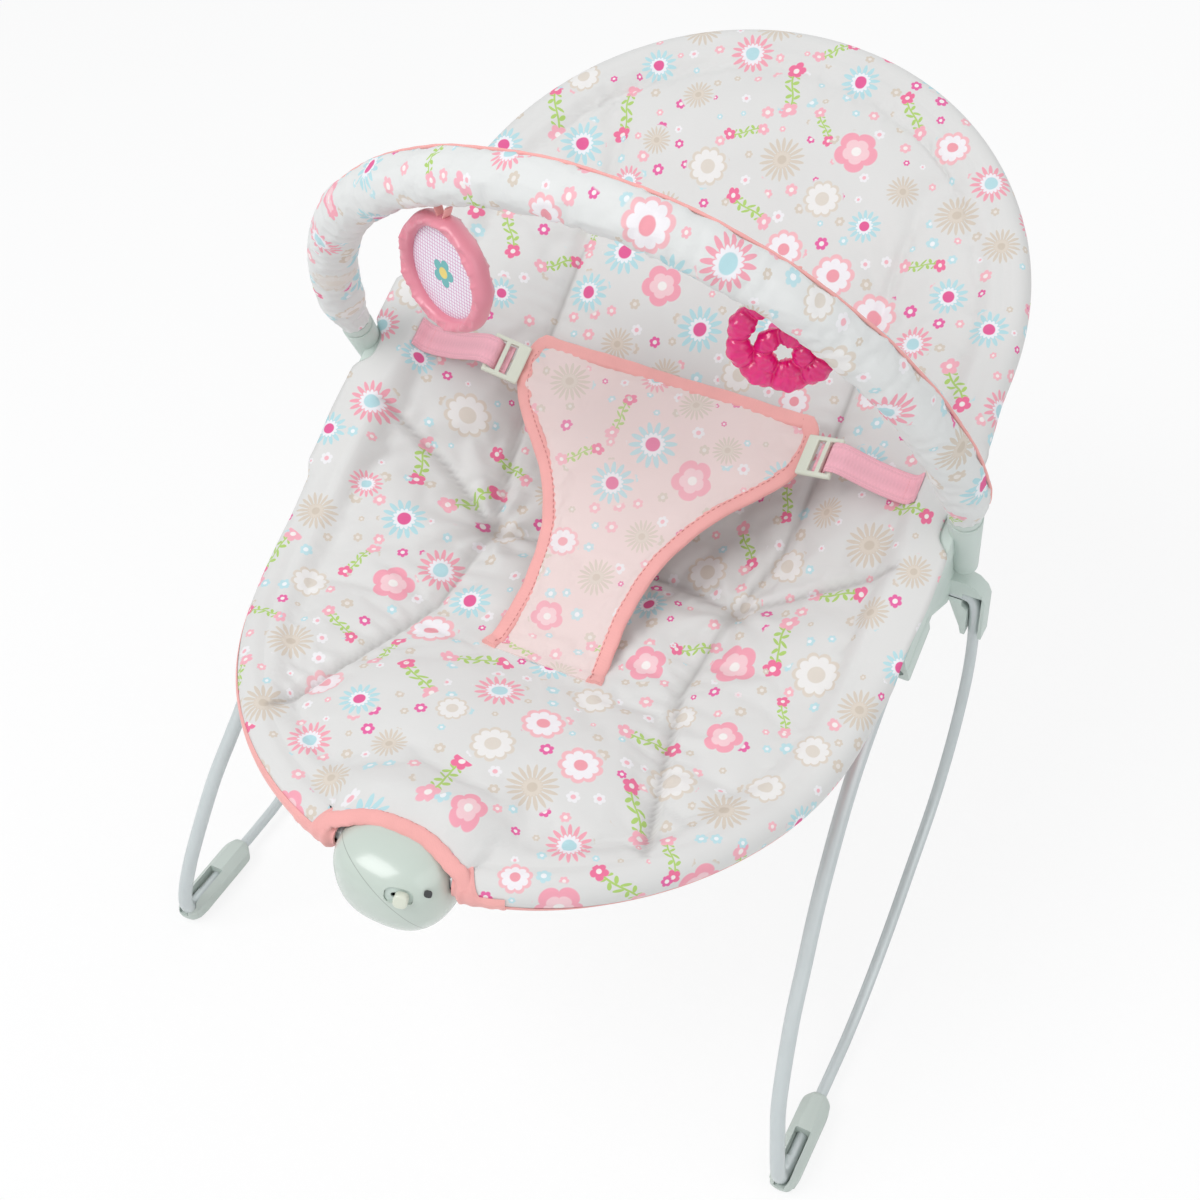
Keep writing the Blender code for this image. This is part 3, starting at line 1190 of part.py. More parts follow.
def build_vibration_insides(frame, finishes):
    """Chassis, battery, its contacts and the motor."""
    chassis = add_mesh("vibration_chassis", dome(VIB_WALL + GAP), finishes["inner"], frame, 50.0)
    tube_back = FRONT_ARC_CENTRE - FRONT_ARC_LENGTH + TUBE_INSET + SEAT_TUBE_RADIUS
    low = (-0.030, tube_back + 0.0036, BATTERY_Z - 0.0005)
    high = (0.030, DOOR_REAR_Y + 0.004, MOTOR_Z - 0.0015)
    cut(chassis, box(low, high), frame, "INTERSECT")
    reach = BATTERY_LENGTH / 2 + CONTACT_THICKNESS + 2 * GAP
    bay = rod((-reach, BATTERY_Y, BATTERY_Z), (reach, BATTERY_Y, BATTERY_Z), BATTERY_RADIUS + GAP)
    cut(chassis, bay, frame)
    play = WEIGHT_RADIUS + 0.0012
    cut(chassis, box((-0.0185, MOTOR_Y - play, MOTOR_Z - play),
                     (-MOTOR_LENGTH / 2 - GAP, MOTOR_Y + play, MOTOR_Z + 0.01)), frame)
    pocket = rod((-MOTOR_LENGTH / 2 - 0.002, MOTOR_Y, MOTOR_Z), (MOTOR_LENGTH / 2 + GAP, MOTOR_Y, MOTOR_Z),
                 MOTOR_RADIUS + GAP)
    cut(chassis, pocket, frame)
    half = BATTERY_LENGTH / 2
    add_mesh("battery", rod((-half, BATTERY_Y, BATTERY_Z), (half, BATTERY_Y, BATTERY_Z), BATTERY_RADIUS),
             finishes["battery"], frame, 30.0)
    for side in (1, -1):
        plate = box_between((side * (half + GAP), BATTERY_Y - 0.004, BATTERY_Z + 0.0002),
                            (side * (half + GAP + CONTACT_THICKNESS), BATTERY_Y + 0.004, BATTERY_Z + 0.0052))
        add_mesh(f"battery_contact_{side_name(side)}", plate, finishes["metal"], frame, 30.0)
    motor = rod((-MOTOR_LENGTH / 2, MOTOR_Y, MOTOR_Z), (MOTOR_LENGTH / 2, MOTOR_Y, MOTOR_Z), MOTOR_RADIUS)
    add_mesh("vibration_motor", motor, finishes["metal"], frame, 30.0)


def build_motor_weight(frame, finish):
    """Off-centre weight on the motor's shaft."""
    start = -MOTOR_LENGTH / 2 - GAP
    sector = slab([(MOTOR_Y + WEIGHT_RADIUS * math.cos(a), MOTOR_Z + WEIGHT_RADIUS * math.sin(a))
                   for a in frange(math.pi, 2 * math.pi, 11)], start - WEIGHT_LENGTH, start)
    weight = add_mesh("motor_weight", sector, finish, frame, 30.0)
    cut(weight, rod((start - WEIGHT_LENGTH, MOTOR_Y, MOTOR_Z), (start, MOTOR_Y, MOTOR_Z),
                    MOTOR_SHAFT_RADIUS * 1.8, sides=14), frame, "UNION")


def build_switch(frame, body_frame, finishes):
    """Slide knob on the dome and the switch body behind it."""
    place = switch_turn()
    knob = box((-KNOB_LENGTH / 2, -KNOB_WIDTH / 2, 0.0010),
               (KNOB_LENGTH / 2, KNOB_WIDTH / 2, KNOB_HEIGHT), 0.0010)
    stem = box((-0.0014, -0.0014, -0.0078), (0.0014, 0.0014, 0.0020))
    shift = place @ Matrix.Translation((SWITCH_TRAVEL / 2, 0, 0))
    knob.transform(shift)
    stem.transform(shift)
    made = add_mesh("switch_knob", knob, finishes["ivory"], frame, 30.0)
    cut(made, stem, frame, "UNION")
    body = box((-0.0060, -0.0030, -0.0116), (0.0060, 0.0030, -0.0062))
    body.transform(place)
    holder = add_mesh("switch_body", body, finishes["inner"], body_frame, 30.0)
    groove = box((-0.0046, -0.0018, -0.0084), (0.0046, 0.0018, 0.0))
    groove.transform(place)
    cut(holder, groove, body_frame)


def build_battery_door(frame, finishes):
    """Door in the underside, a patch of the dome's own wall that clips shut."""
    door = add_mesh("battery_door", dome(0.0), finishes["hub"], frame, 50.0)
    cut(door, dome(VIB_WALL), frame)
    low = (-DOOR_HALF_LENGTH, DOOR_FRONT_Y, VIB_CENTRE.z - 0.09)
    high = (DOOR_HALF_LENGTH, DOOR_REAR_Y, BATTERY_Z - 0.004)
    cut(door, box(low, high), frame, "INTERSECT")


def measure(objects):
    """Corners of the evaluated objects in world space."""
    bpy.context.view_layer.update()
    graph = bpy.context.evaluated_depsgraph_get()
    low = Vector((math.inf,) * 3)
    high = Vector((-math.inf,) * 3)
    for item in objects:
        evaluated = item.evaluated_get(graph)
        mesh = evaluated.to_mesh()
        for vert in mesh.vertices:
            point = item.matrix_world @ vert.co
            low = Vector(min(a, b) for a, b in zip(low, point))
            high = Vector(max(a, b) for a, b in zip(high, point))
        evaluated.to_mesh_clear()
    return low, high


def make_finishes():
    """Every material of the object."""
    return {
        "steel": material("painted_steel", (0.50, 0.57, 0.60), 0.35, 0.1),
        "hub": material("sage_plastic", (0.62, 0.68, 0.61), 0.45),
        "grip": material("grey_plastic", (0.50, 0.55, 0.50), 0.55),
        "rubber": material("dark_rubber", (0.20, 0.21, 0.21), 0.80),
        "cloth": material("printed_cloth", (0.80, 0.77, 0.73), 0.90),
        "pad": material("pink_cloth", (0.90, 0.70, 0.66), 0.90),
        "binding": material("salmon_binding", (0.90, 0.42, 0.40), 0.85),
        "webbing": material("pink_webbing", (0.92, 0.38, 0.42), 0.80),
        "ivory": material("ivory_plastic", (0.82, 0.80, 0.68), 0.40),
        "plug": material("white_plastic", (0.80, 0.80, 0.76), 0.45),
        "mirror_frame": material("pink_plastic", (0.90, 0.35, 0.42), 0.35),
        "mirror": material("mirror_film", (0.80, 0.80, 0.85), 0.10, 0.9),
        "teether": material("magenta_gel", (0.85, 0.05, 0.35), 0.15, 0.0, 0.7),
        "inner": material("dark_plastic", (0.15, 0.15, 0.16), 0.60),
        "battery": material("battery_jacket", (0.10, 0.10, 0.12), 0.40, 0.4),
        "metal": material("bare_metal", (0.60, 0.60, 0.58), 0.30, 1.0),
    }


def build_bouncer():
    """Build every piece, then centre the whole on the origin."""
    for old in list(bpy.data.objects):
        bpy.data.objects.remove(old, do_unlink=True)
    finishes = make_finishes()
    root = Frame("bouncer_origin", Vector((0, 0, 0)))
    seat = Frame("bounce_axis", Vector((0, BOUNCE_Y, BOUNCE_Z)), root)
    build_base(root, finishes)
    for side in (1, -1):
        inner_low = build_hub(side, seat, finishes)
    build_seat_frame(seat, finishes)
    build_seat_pad(seat, finishes)
    build_crotch_pad(seat, finishes["pad"])
    for side in (1, -1):
        build_buckle(side, seat, finishes["ivory"])
        build_strap(side, inner_low, seat, finishes["webbing"])
    bar = Frame("toy_bar_seat", bar_point(CUP_TOP, 0.0), seat, Matrix.Rotation(BAR_LEAN, 4, "X"))
    build_toy_bar(bar, finishes)
    mirror_pivot = bar_underside(MIRROR_X)
    build_mirror_toy(Frame("mirror_pivot", mirror_pivot, bar), mirror_pivot, finishes)
    teether_pivot = bar_at(TEETHER_X)[0] + Vector((0, BAR_SLEEVE_RADIUS * 1.06 + GAP, 0))
    build_teether(Frame("teether_pivot", teether_pivot, bar), teether_pivot, finishes)
    build_vibration_shells(seat, finishes)
    build_vibration_insides(seat, finishes)
    build_motor_weight(Frame("motor_axis", Vector((0, MOTOR_Y, MOTOR_Z)), seat), finishes["metal"])
    switch_place = switch_turn()
    switch = Frame("switch_slide", switch_place.translation, seat, switch_place.to_3x3().to_4x4())
    build_switch(switch, seat, finishes)
    hinge = Frame("battery_door_hinge", Vector((0, DOOR_REAR_Y, VIB_CENTRE.z - VIB_SIZE.z)), seat)
    build_battery_door(hinge, finishes)
    shown = [item for item in bpy.data.objects if item.type != "EMPTY" and not item.hide_render]
    low, high = measure(shown)
    root.empty.location = Vector((0, -(low.y + high.y) / 2, -low.z))
    bpy.context.view_layer.update()
    return root


build_bouncer()
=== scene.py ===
"""Looks of the baby bouncer: sewn cover, pads, straps, toys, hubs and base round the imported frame."""

import logging
from dataclasses import dataclass, field
from enum import Enum
from math import acos, asin, atan2, copysign, cos, dist, exp, hypot, pi, radians, sin, sqrt, tanh
from typing import Callable, Iterable, Optional, Sequence, Union

import bpy
from mathutils import Matrix, Vector, noise


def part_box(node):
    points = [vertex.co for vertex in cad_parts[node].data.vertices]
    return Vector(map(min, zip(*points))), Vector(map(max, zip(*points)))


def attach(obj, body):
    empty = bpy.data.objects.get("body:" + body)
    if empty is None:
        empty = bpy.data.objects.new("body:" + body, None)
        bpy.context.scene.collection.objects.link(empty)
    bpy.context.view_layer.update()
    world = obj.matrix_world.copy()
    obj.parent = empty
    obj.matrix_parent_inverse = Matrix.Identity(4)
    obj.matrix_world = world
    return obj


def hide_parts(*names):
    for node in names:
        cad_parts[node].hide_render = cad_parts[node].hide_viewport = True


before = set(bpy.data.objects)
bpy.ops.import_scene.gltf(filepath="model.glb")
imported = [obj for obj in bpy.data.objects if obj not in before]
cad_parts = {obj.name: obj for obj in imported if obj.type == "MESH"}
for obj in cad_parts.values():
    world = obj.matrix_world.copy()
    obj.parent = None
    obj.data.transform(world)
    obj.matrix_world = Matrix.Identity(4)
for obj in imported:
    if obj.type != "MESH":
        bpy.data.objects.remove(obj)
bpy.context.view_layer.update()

LOG = logging.getLogger("bouncer")
Y_SHIFT = -0.20523

Piece = bpy.types.Object
Material = bpy.types.Material
Node = bpy.types.Node
Socket = bpy.types.NodeSocket
Value = Union[float, Socket]
Tone = Union[tuple, Socket]
Pair = tuple[float, float]
Spot = tuple[float, float, float]
Path = Sequence[Vector]
Section = Callable[[int, float], Pair]
RimSpot = tuple[Vector, Vector, Vector]
MERGE = 0.00001


class Side(Enum):
    """The two sides of the bouncer, as seen from the foot end."""

    LEFT = -1
    RIGHT = 1

    @property
    def word(self) -> str:
        """Name of the side, as the nodes use it."""
        return self.name.lower()


class Ground(Enum):
    """Ground colours of the printed cotton."""

    GREY = (0.718, 0.716, 0.704)
    PINK = (0.815, 0.665, 0.645)
    WHITE = (0.745, 0.756, 0.748)


# Plain helpers


def spread(start: float, stop: float, count: int) -> list[float]:
    """Evenly spaced values.

    Args:
        start: First value.
        stop: Last value.
        count: How many.

    Returns:
        The values, both ends included.
    """
    return [start + (stop - start) * i / (count - 1) for i in range(count)]


def ease(value: float) -> float:
    """Smooth step from 0 to 1."""
    share = min(1.0, max(0.0, value))
    return share * share * (3 - 2 * share)


def power_of(value: float, power: float) -> float:
    """A value raised to a power with its sign kept."""
    return copysign(abs(value) ** power, value)


def floor_point(x: float, y: float, z: float) -> Vector:
    """A point measured from the front toe, moved to the shared frame."""
    return Vector((x, y + Y_SHIFT, z))


def read_table(table: Sequence[Pair], value: float) -> float:
    """Straight-line reading of a table of pairs.

    Args:
        table: Pairs of (place, reading) in rising order.
        value: Place to read at.

    Returns:
        The reading, held at both ends.
    """
    if value <= table[0][0]:
        return table[0][1]
    for (a, low), (b, high) in zip(table, table[1:]):
        if value <= b:
            return low + (high - low) * (value - a) / (b - a)
    return table[-1][1]


def smooth_path(points: Sequence[Sequence[float]], spacing: float) -> list[Vector]:
    """Read points about one spacing apart from a smooth curve.

    Args:
        points: Points that the curve goes through.
        spacing: Distance between the points that come back.

    Returns:
        The closer points, both ends included.
    """
    known = [Vector(p) for p in points]
    ends = [2 * known[0] - known[1], *known, 2 * known[-1] - known[-2]]
    path = []
    for a, b, c, d in zip(ends, ends[1:], ends[2:], ends[3:]):
        steps = max(1, round((c - b).length / spacing))
        for i in range(steps):
            t = i / steps
            path.append(0.5 * ((2 * b) + (c - a) * t + (2 * a - 5 * b + 4 * c - d) * t * t
                               + (3 * b - a - 3 * c + d) * t ** 3))
    return [*path, known[-1]]


def runs_of(path: Path) -> list[float]:
    """Distance along a path at each of its points."""
    runs = [0.0]
    for a, b in zip(path, path[1:]):
        runs.append(runs[-1] + (b - a).length)
    return runs


def heading(path: Path, i: int) -> Vector:
    """Direction of a path at one of its points."""
    return (path[min(i + 1, len(path) - 1)] - path[max(i - 1, 0)]).normalized()


def flat_oval(wide: float, high: float, p: float, q: float, wobble: float = 0.0,
              pace: float = 0.0) -> Section:
    """Section of a folded strip: half sizes, squareness each way and an uneven width along it."""
    return lambda i, a: (wide * power_of(cos(a), p) * (1 + wobble * sin(i * pace)),
                         high * power_of(sin(a), q))


def mirrored(points: Iterable[Vector], side: Side) -> list[Vector]:
    """Right-hand points, put on the given side."""
    return [Vector((side.value * p.x, p.y, p.z)) for p in points]


def round_corner(a: float, b: float, middle: Pair, reach: Pair) -> Pair:
    """Move a place in a square corner into the quarter round that fits the corner.

    Args:
        a: First measure of the place.
        b: Second measure.
        middle: Middle of the quarter round.
        reach: Signed way from the middle to the corner, along both measures.

    Returns:
        The new place, or the old one outside the corner.
    """
    s, t = (a - middle[0]) / reach[0], (b - middle[1]) / reach[1]
    if s <= 0 or t <= 0:
        return a, b
    s, t = min(s, 1.0), min(t, 1.0)
    return (middle[0] + reach[0] * s * sqrt(1 - t * t / 2),
            middle[1] + reach[1] * t * sqrt(1 - s * s / 2))


def segment_reach(place: Pair, a: Pair, b: Pair) -> Pair:
    """Distance of a place from a straight stretch, and how far along it that is."""
    ax, ay = a
    dx, dy = b[0] - ax, b[1] - ay
    length = dx * dx + dy * dy
    t = min(1.0, max(0.0, ((place[0] - ax) * dx + (place[1] - ay) * dy) / length))
    return hypot(place[0] - ax - t * dx, place[1] - ay - t * dy), t * sqrt(length)


# Working with meshes


def only(obj: Piece) -> None:
    """Select one object alone and make it active."""
    bpy.ops.object.select_all(action="DESELECT")
    obj.select_set(True)
    bpy.context.view_layer.objects.active = obj


def apply_all(obj: Piece) -> None:
    """Apply each modifier on an object, in order."""
    only(obj)
    for name in [m.name for m in obj.modifiers]:
        bpy.ops.object.modifier_apply(modifier=name)


def settle(obj: Piece) -> None:
    """Put an object's place, turn and size into its mesh."""
    only(obj)
    bpy.ops.object.transform_apply(location=True, rotation=True, scale=True)


def smooth(obj: Piece, degrees: float = 180.0) -> None:
    """Shade smooth, with edges sharper than the angle kept."""
    only(obj)
    if degrees >= 180.0:
        bpy.ops.object.shade_smooth()
    else:
        bpy.ops.object.shade_smooth_by_angle(angle=radians(degrees))


def rounded(piece: Piece, width: float, steps: int, degrees: float) -> None:
    """Round over the edges that are sharper than an angle."""
    edge = piece.modifiers.new("round", "BEVEL")
    edge.width = width
    edge.segments = steps
    edge.limit_method = "ANGLE"
    edge.angle_limit = radians(degrees)
    apply_all(piece)


def started(add: Callable, name: str, **sizes: float) -> Piece:
    """A new primitive, the only thing selected."""
    bpy.ops.object.select_all(action="DESELECT")
    add(**sizes)
    piece = bpy.context.object
    piece.name = name
    return piece


def stood_up(piece: Piece, place: Vector, turn: float, shift: Vector = Vector()) -> None:
    """Stand a flat piece up on its edge, turned about Z, and put that into its mesh."""
    piece.matrix_world = Matrix.Translation(place) @ Matrix.Rotation(turn, 4, "Z") \
        @ Matrix.Translation(shift) @ Matrix.Rotation(pi / 2, 4, "X")
    settle(piece)


def linked(name: str, data: bpy.types.ID) -> Piece:
    """A new object for a mesh, lamp or camera, in the scene."""
    piece = bpy.data.objects.new(name, data)
    bpy.context.scene.collection.objects.link(piece)
    return piece


def tidy_faces(obj: Piece) -> None:
    """Merge doubles and turn all faces outwards."""
    only(obj)
    bpy.ops.object.mode_set(mode="EDIT")
    bpy.ops.mesh.select_all(action="SELECT")
    bpy.ops.mesh.remove_doubles(threshold=MERGE)
    bpy.ops.mesh.normals_make_consistent(inside=False)
    bpy.ops.object.mode_set(mode="OBJECT")


def join_pieces(name: str, parts: Sequence[Piece]) -> Piece:
    """Join objects into one.

    Args:
        name: Name of the joined object.
        parts: Objects to join. The first one keeps its settings.

    Returns:
        The joined object.
    """
    only(parts[0])
    for part in parts[1:]:
        part.select_set(True)
    bpy.ops.object.join()
    parts[0].name = name
    parts[0].data.name = name
    return parts[0]


def softened(node: str, width: float, flat: float = 32.0, rounds: int = 2) -> Piece:
    """A copy of a CAD node with its edges rounded over.

    Args:
        node: CAD node to copy.
        width: Width of the rounding.
        flat: Angle in degrees under which an edge counts as flat.
        rounds: Steps across the rounding.

    Returns:
        The rounded copy.
    """
    piece = linked(f"{node}_moulded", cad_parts[node].data.copy())
    only(piece)
    bpy.ops.mesh.customdata_custom_splitnormals_clear()
    bpy.ops.object.mode_set(mode="EDIT")
    bpy.ops.mesh.select_all(action="SELECT")
    bpy.ops.mesh.remove_doubles(threshold=MERGE)
    bpy.ops.mesh.dissolve_limited(angle_limit=radians(0.8))
    bpy.ops.object.mode_set(mode="OBJECT")
    rounded(piece, width, rounds, flat)
    smooth(piece, 38.0)
    return piece


def round_run(name: str, path: Path, radius: float, steps: int = 7) -> Piece:
    """A round bar or tube bent along a path, with closed ends.

    Args:
        name: Name of the piece.
        path: Middle line.
        radius: Outside radius.
        steps: Smoothness of the section.

    Returns:
        The bent bar as a mesh.
    """
    run = started(bpy.ops.curve.primitive_bezier_curve_add, name)
    run.location = (0, 0, 0)
    run.data.splines.clear()
    line = run.data.splines.new("POLY")
    line.points.add(len(path) - 1)
    for knot, place in zip(line.points, path):
        knot.co = (*place, 1.0)
    run.data.bevel_depth = radius
    run.data.bevel_resolution = steps
    run.data.use_fill_caps = True
    run.data.dimensions = "3D"
    bpy.ops.object.convert(target="MESH")
    run = bpy.context.object
    run.data.name = name
    settle(run)
    tidy_faces(run)
    smooth(run, 50.0)
    return run


class ClothMesh:
    """Collects the points, faces and pattern places of a sewn piece."""

    def __init__(self) -> None:
        """Start with nothing."""
        self.points: list[Vector] = []
        self.places: list[Pair] = []
        self.faces: list[tuple[int, ...]] = []
        self.corners: list[tuple[Pair, ...]] = []

    def point(self, where: Vector, place: Pair) -> int:
        """Add a point.

        Args:
            where: Its place in the shared frame.
            place: Its place on the flat cloth, in metres.

        Returns:
            Its number.
        """
        self.points.append(where)
        self.places.append(place)
        return len(self.points) - 1

    def face(self, *numbers: int, places: Optional[Sequence[Pair]] = None) -> None:
        """Add a face, with its own places on the cloth where they differ from its points'."""
        self.faces.append(tuple(numbers))
        self.corners.append(tuple(places or [self.places[n] for n in numbers]))

    def grid(self, rows: Sequence[Sequence[int]], flipped: bool = False) -> None:
        """Fill a grid of point numbers with faces."""
        for low, high in zip(rows, rows[1:]):
            for j in range(len(low) - 1):
                ring = (low[j], low[j + 1], high[j + 1], high[j])
                self.face(*(reversed(ring) if flipped else ring))

    def wall(self, top: Sequence[Sequence[int]], under: Sequence[Sequence[int]]) -> None:
        """Close the sides and ends between two grids of the same size."""
        for (a, b), (c, d) in zip(zip(top, top[1:]), zip(under, under[1:])):
            self.face(a[0], b[0], d[0], c[0])
            self.face(a[-1], c[-1], d[-1], b[-1])
        for k in range(len(top[0]) - 1):
            self.face(top[0][k], under[0][k], under[0][k + 1], top[0][k + 1])
            self.face(top[-1][k], top[-1][k + 1], under[-1][k + 1], under[-1][k])

    def build(self, name: str, shade: float = 180.0, closed: bool = False) -> Piece:
        """Make the object.

        Args:
            name: Name of the piece.
            shade: Angle for smooth shading.
            closed: True to merge its doubles and turn its faces outwards.

        Returns:
            The new object, linked to the scene.
        """
        mesh = bpy.data.meshes.new(name)
        mesh.from_pydata([tuple(p) for p in self.points], [], self.faces)
        layer = mesh.uv_layers.new(name="UVMap")
        layer.data.foreach_set("uv", [c for corner in self.corners for pair in corner for c in pair])
        mesh.validate()
        mesh.update()
        piece = linked(name, mesh)
        if closed:
            tidy_faces(piece)
        smooth(piece, shade)
        return piece


def section_run(name: str, path: Path, ups: Union[Path, Vector], section: Section, around: int) -> Piece:
    """Sweep a section along a path of cloth.

    Args:
        name: Name of the piece.
        path: Middle line.
        ups: Up direction at each point of it, or one for all.
        section: Gives (across, up) for a point's number and an angle.
        around: Points round the section.

    Returns:
        The swept piece.
    """
    cloth = ClothMesh()
    rings: list[list[int]] = []
    lengths = runs_of(path)
    girth = 0.0
    for i, middle in enumerate(path):
        along = heading(path, i)
        up = ups if isinstance(ups, Vector) else ups[i]
        up = (up - along * up.dot(along)).normalized()
        across = along.cross(up)
        spots = [section(i, 2 * pi * k / around) for k in range(around)]
        if i == 0:
            girth = sum(dist(a, b) for a, b in zip(spots, [*spots[1:], spots[0]]))
        rings.append([cloth.point(middle + across * a + up * b, (girth * k / around, lengths[i]))
                      for k, (a, b) in enumerate(spots)])
    for i, (a, b) in enumerate(zip(rings, rings[1:])):
        for k in range(around):
            n = (k + 1) % around
            low, high = girth * k / around, girth * (k + 1) / around
            cloth.face(a[k], a[n], b[n], b[k], places=(
                (low, lengths[i]), (high, lengths[i]), (high, lengths[i + 1]), (low, lengths[i + 1])))
    cloth.face(*reversed(rings[0]))
    cloth.face(*rings[-1])
    return cloth.build(name, 60.0, True)


def simulated(piece: Piece, held: Sequence[float], pressure: float, slack: float,
              cap: float, bending: float = 0.4) -> None:
    """Let a sewn piece fill and wrinkle in a short cloth simulation.

    Args:
        piece: Piece to change.
        held: For each point, how firmly its seam holds it, from 0 to 1.
        pressure: Pressure of the filling.
        slack: Share by which the cloth is larger than the shape it covers.
        cap: The furthest that a point may move.
        bending: Stiffness of the cloth against folds.
    """
    before = [point.co.copy() for point in piece.data.vertices]
    group = piece.vertex_groups.new(name="sewn")
    for number, weight in enumerate(held):
        if weight > 0.0:
            group.add([number], weight, "REPLACE")
    cloth = piece.modifiers.new("cloth", "CLOTH")
    cloth.settings.vertex_group_mass = "sewn"
    cloth.settings.quality = 5
    cloth.settings.use_pressure = True
    cloth.settings.uniform_pressure_force = pressure
    cloth.settings.shrink_min = -slack
    cloth.settings.bending_stiffness = bending
    cloth.settings.effector_weights.gravity = 0.0
    cloth.point_cache.frame_start = 1
    cloth.point_cache.frame_end = 20
    for number in range(1, 21):
        bpy.context.scene.frame_set(number)
    apply_all(piece)
    bpy.context.scene.frame_set(1)
    piece.vertex_groups.clear()
    furthest = 0.0
    for point, old in zip(piece.data.vertices, before):
        shift = point.co - old
        furthest = max(furthest, shift.length)
        if shift.length > 1e-7:
            point.co = old + shift * (cap * tanh(shift.length / cap) / shift.length)
    LOG.info("%s: simulated, furthest move %.1f mm before the cap", piece.name, furthest * 1000)


# Finishes


class Recipe:
    """Builds the nodes of one material."""

    def __init__(self, name: str) -> None:
        """Start a material with an empty node tree and one shader.

        Args:
            name: Name of the material.
        """
        self.material = bpy.data.materials.new(name)
        self.material.use_nodes = True
        self.tree = self.material.node_tree
        self.tree.nodes.clear()
        self.out = self.tree.nodes.new("ShaderNodeOutputMaterial")
        self.shader = self.tree.nodes.new("ShaderNodeBsdfPrincipled")
        self.tree.links.new(self.shader.outputs["BSDF"], self.out.inputs["Surface"])

    def set(self, **values: Union[float, tuple]) -> None:
        """Write plain values on the shader's sockets. Underscores stand for spaces."""
        for name, value in values.items():
            self.shader.inputs[name.replace("_", " ")].default_value = value

    def feed(self, target: Socket, value: Union[Value, tuple]) -> None:
        """Join a socket to a target, or write a plain value on it."""
        if isinstance(value, Socket):
            self.tree.links.new(value, target)
        else:
            target.default_value = value

    def math(self, act: str, a: Value, b: Value = 0.0, c: Value = 0.0) -> Socket:
        """A sum on one or more numbers."""
        node = self.tree.nodes.new("ShaderNodeMath")
        node.operation = act
        for socket, value in zip(node.inputs, (a, b, c)):
            self.feed(socket, value)
        return node.outputs[0]

    def times(self, a: Value, b: Value) -> Socket:
        """Product of two numbers."""
        return self.math("MULTIPLY", a, b)

    def plus(self, a: Value, b: Value) -> Socket:
        """Sum of two numbers."""
        return self.math("ADD", a, b)

    def minus(self, a: Value, b: Value) -> Socket:
        """Difference of two numbers."""
        return self.math("SUBTRACT", a, b)

    def line(self, a: Value, b: Value, c: Value) -> Socket:
        """Product of two numbers, with a third added."""
        return self.math("MULTIPLY_ADD", a, b, c)

    def away(self, x: Value, y: Value) -> Socket:
        """Distance of a place from the middle."""
        return self.math("SQRT", self.plus(self.times(x, x), self.times(y, y)))

    def vector(self, act: str, a: Tone, b: Tone = (0, 0, 0)) -> Node:
        """A sum on vectors."""
        node = self.tree.nodes.new("ShaderNodeVectorMath")
        node.operation = act
        self.feed(node.inputs[0], a)
        self.feed(node.inputs[1], b)
        return node

    def band(self, value: Value, low: float, high: float) -> Socket:
        """Smooth step of a value from low to high."""
        node = self.tree.nodes.new("ShaderNodeMapRange")
        node.interpolation_type = "SMOOTHSTEP"
        self.feed(node.inputs["Value"], value)
        node.inputs["From Min"].default_value = low
        node.inputs["From Max"].default_value = high
        return node.outputs["Result"]

    def between(self, value: Value, low: float, high: float, soft: float = 0.03) -> Socket:
        """1 where a value lies between two limits."""
        return self.times(self.band(value, low - soft, low + soft),
                          self.band(value, high + soft, high - soft))

    def mix(self, share: Value, a: Tone, b: Tone) -> Socket:
        """Blend two colours."""
        node = self.tree.nodes.new("ShaderNodeMix")
        node.data_type = "RGBA"
        self.feed(node.inputs[0], share)
        self.feed(node.inputs[6], a if isinstance(a, Socket) else (*a, 1.0))
        self.feed(node.inputs[7], b if isinstance(b, Socket) else (*b, 1.0))
        return node.outputs[2]

    def split(self, value: Socket) -> tuple[Socket, Socket, Socket]:
        """The three parts of a vector or colour."""
        node = self.tree.nodes.new("ShaderNodeSeparateXYZ")
        self.feed(node.inputs[0], value)
        return node.outputs[0], node.outputs[1], node.outputs[2]

    def places(self) -> Socket:
        """Object coordinates, in metres."""
        return self.tree.nodes.new("ShaderNodeTexCoord").outputs["Object"]

    def cloth_places(self) -> Socket:
        """Places on the flat cloth, in metres."""
        node = self.tree.nodes.new("ShaderNodeUVMap")
        node.uv_map = "UVMap"
        return node.outputs[0]

    def mapped(self, value: Socket, scale: tuple, turn: float = 0.0, shift: tuple = (0, 0, 0)) -> Socket:
        """Coordinates turned about Z, scaled and moved."""
        node = self.tree.nodes.new("ShaderNodeMapping")
        self.feed(node.inputs["Vector"], value)
        node.inputs["Scale"].default_value = scale
        node.inputs["Rotation"].default_value = (0, 0, turn)
        node.inputs["Location"].default_value = shift
        return node.outputs[0]

    def grain(self, value: Socket, scale: float, detail: float = 2.0) -> Socket:
        """Noise from 0 to 1."""
        node = self.tree.nodes.new("ShaderNodeTexNoise")
        self.feed(node.inputs["Vector"], value)
        node.inputs["Scale"].default_value = scale
        node.inputs["Detail"].default_value = detail
        return node.outputs[0]

    def raise_by(self, height: Socket, distance: float, strength: float = 1.0) -> None:
        """Put a bump on the shader.

        Args:
            height: Height from 0 to 1.
            distance: Height of 1, in metres.
            strength: How much of it shows.
        """
        node = self.tree.nodes.new("ShaderNodeBump")
        node.inputs["Strength"].default_value = strength
        node.inputs["Distance"].default_value = distance
        self.feed(node.inputs["Height"], height)
        self.tree.links.new(node.outputs[0], self.shader.inputs["Normal"])

    def colour(self, value: Tone) -> None:
        """Join or write the base colour."""
        self.feed(self.shader.inputs["Base Color"], value if isinstance(value, Socket) else (*value, 1.0))


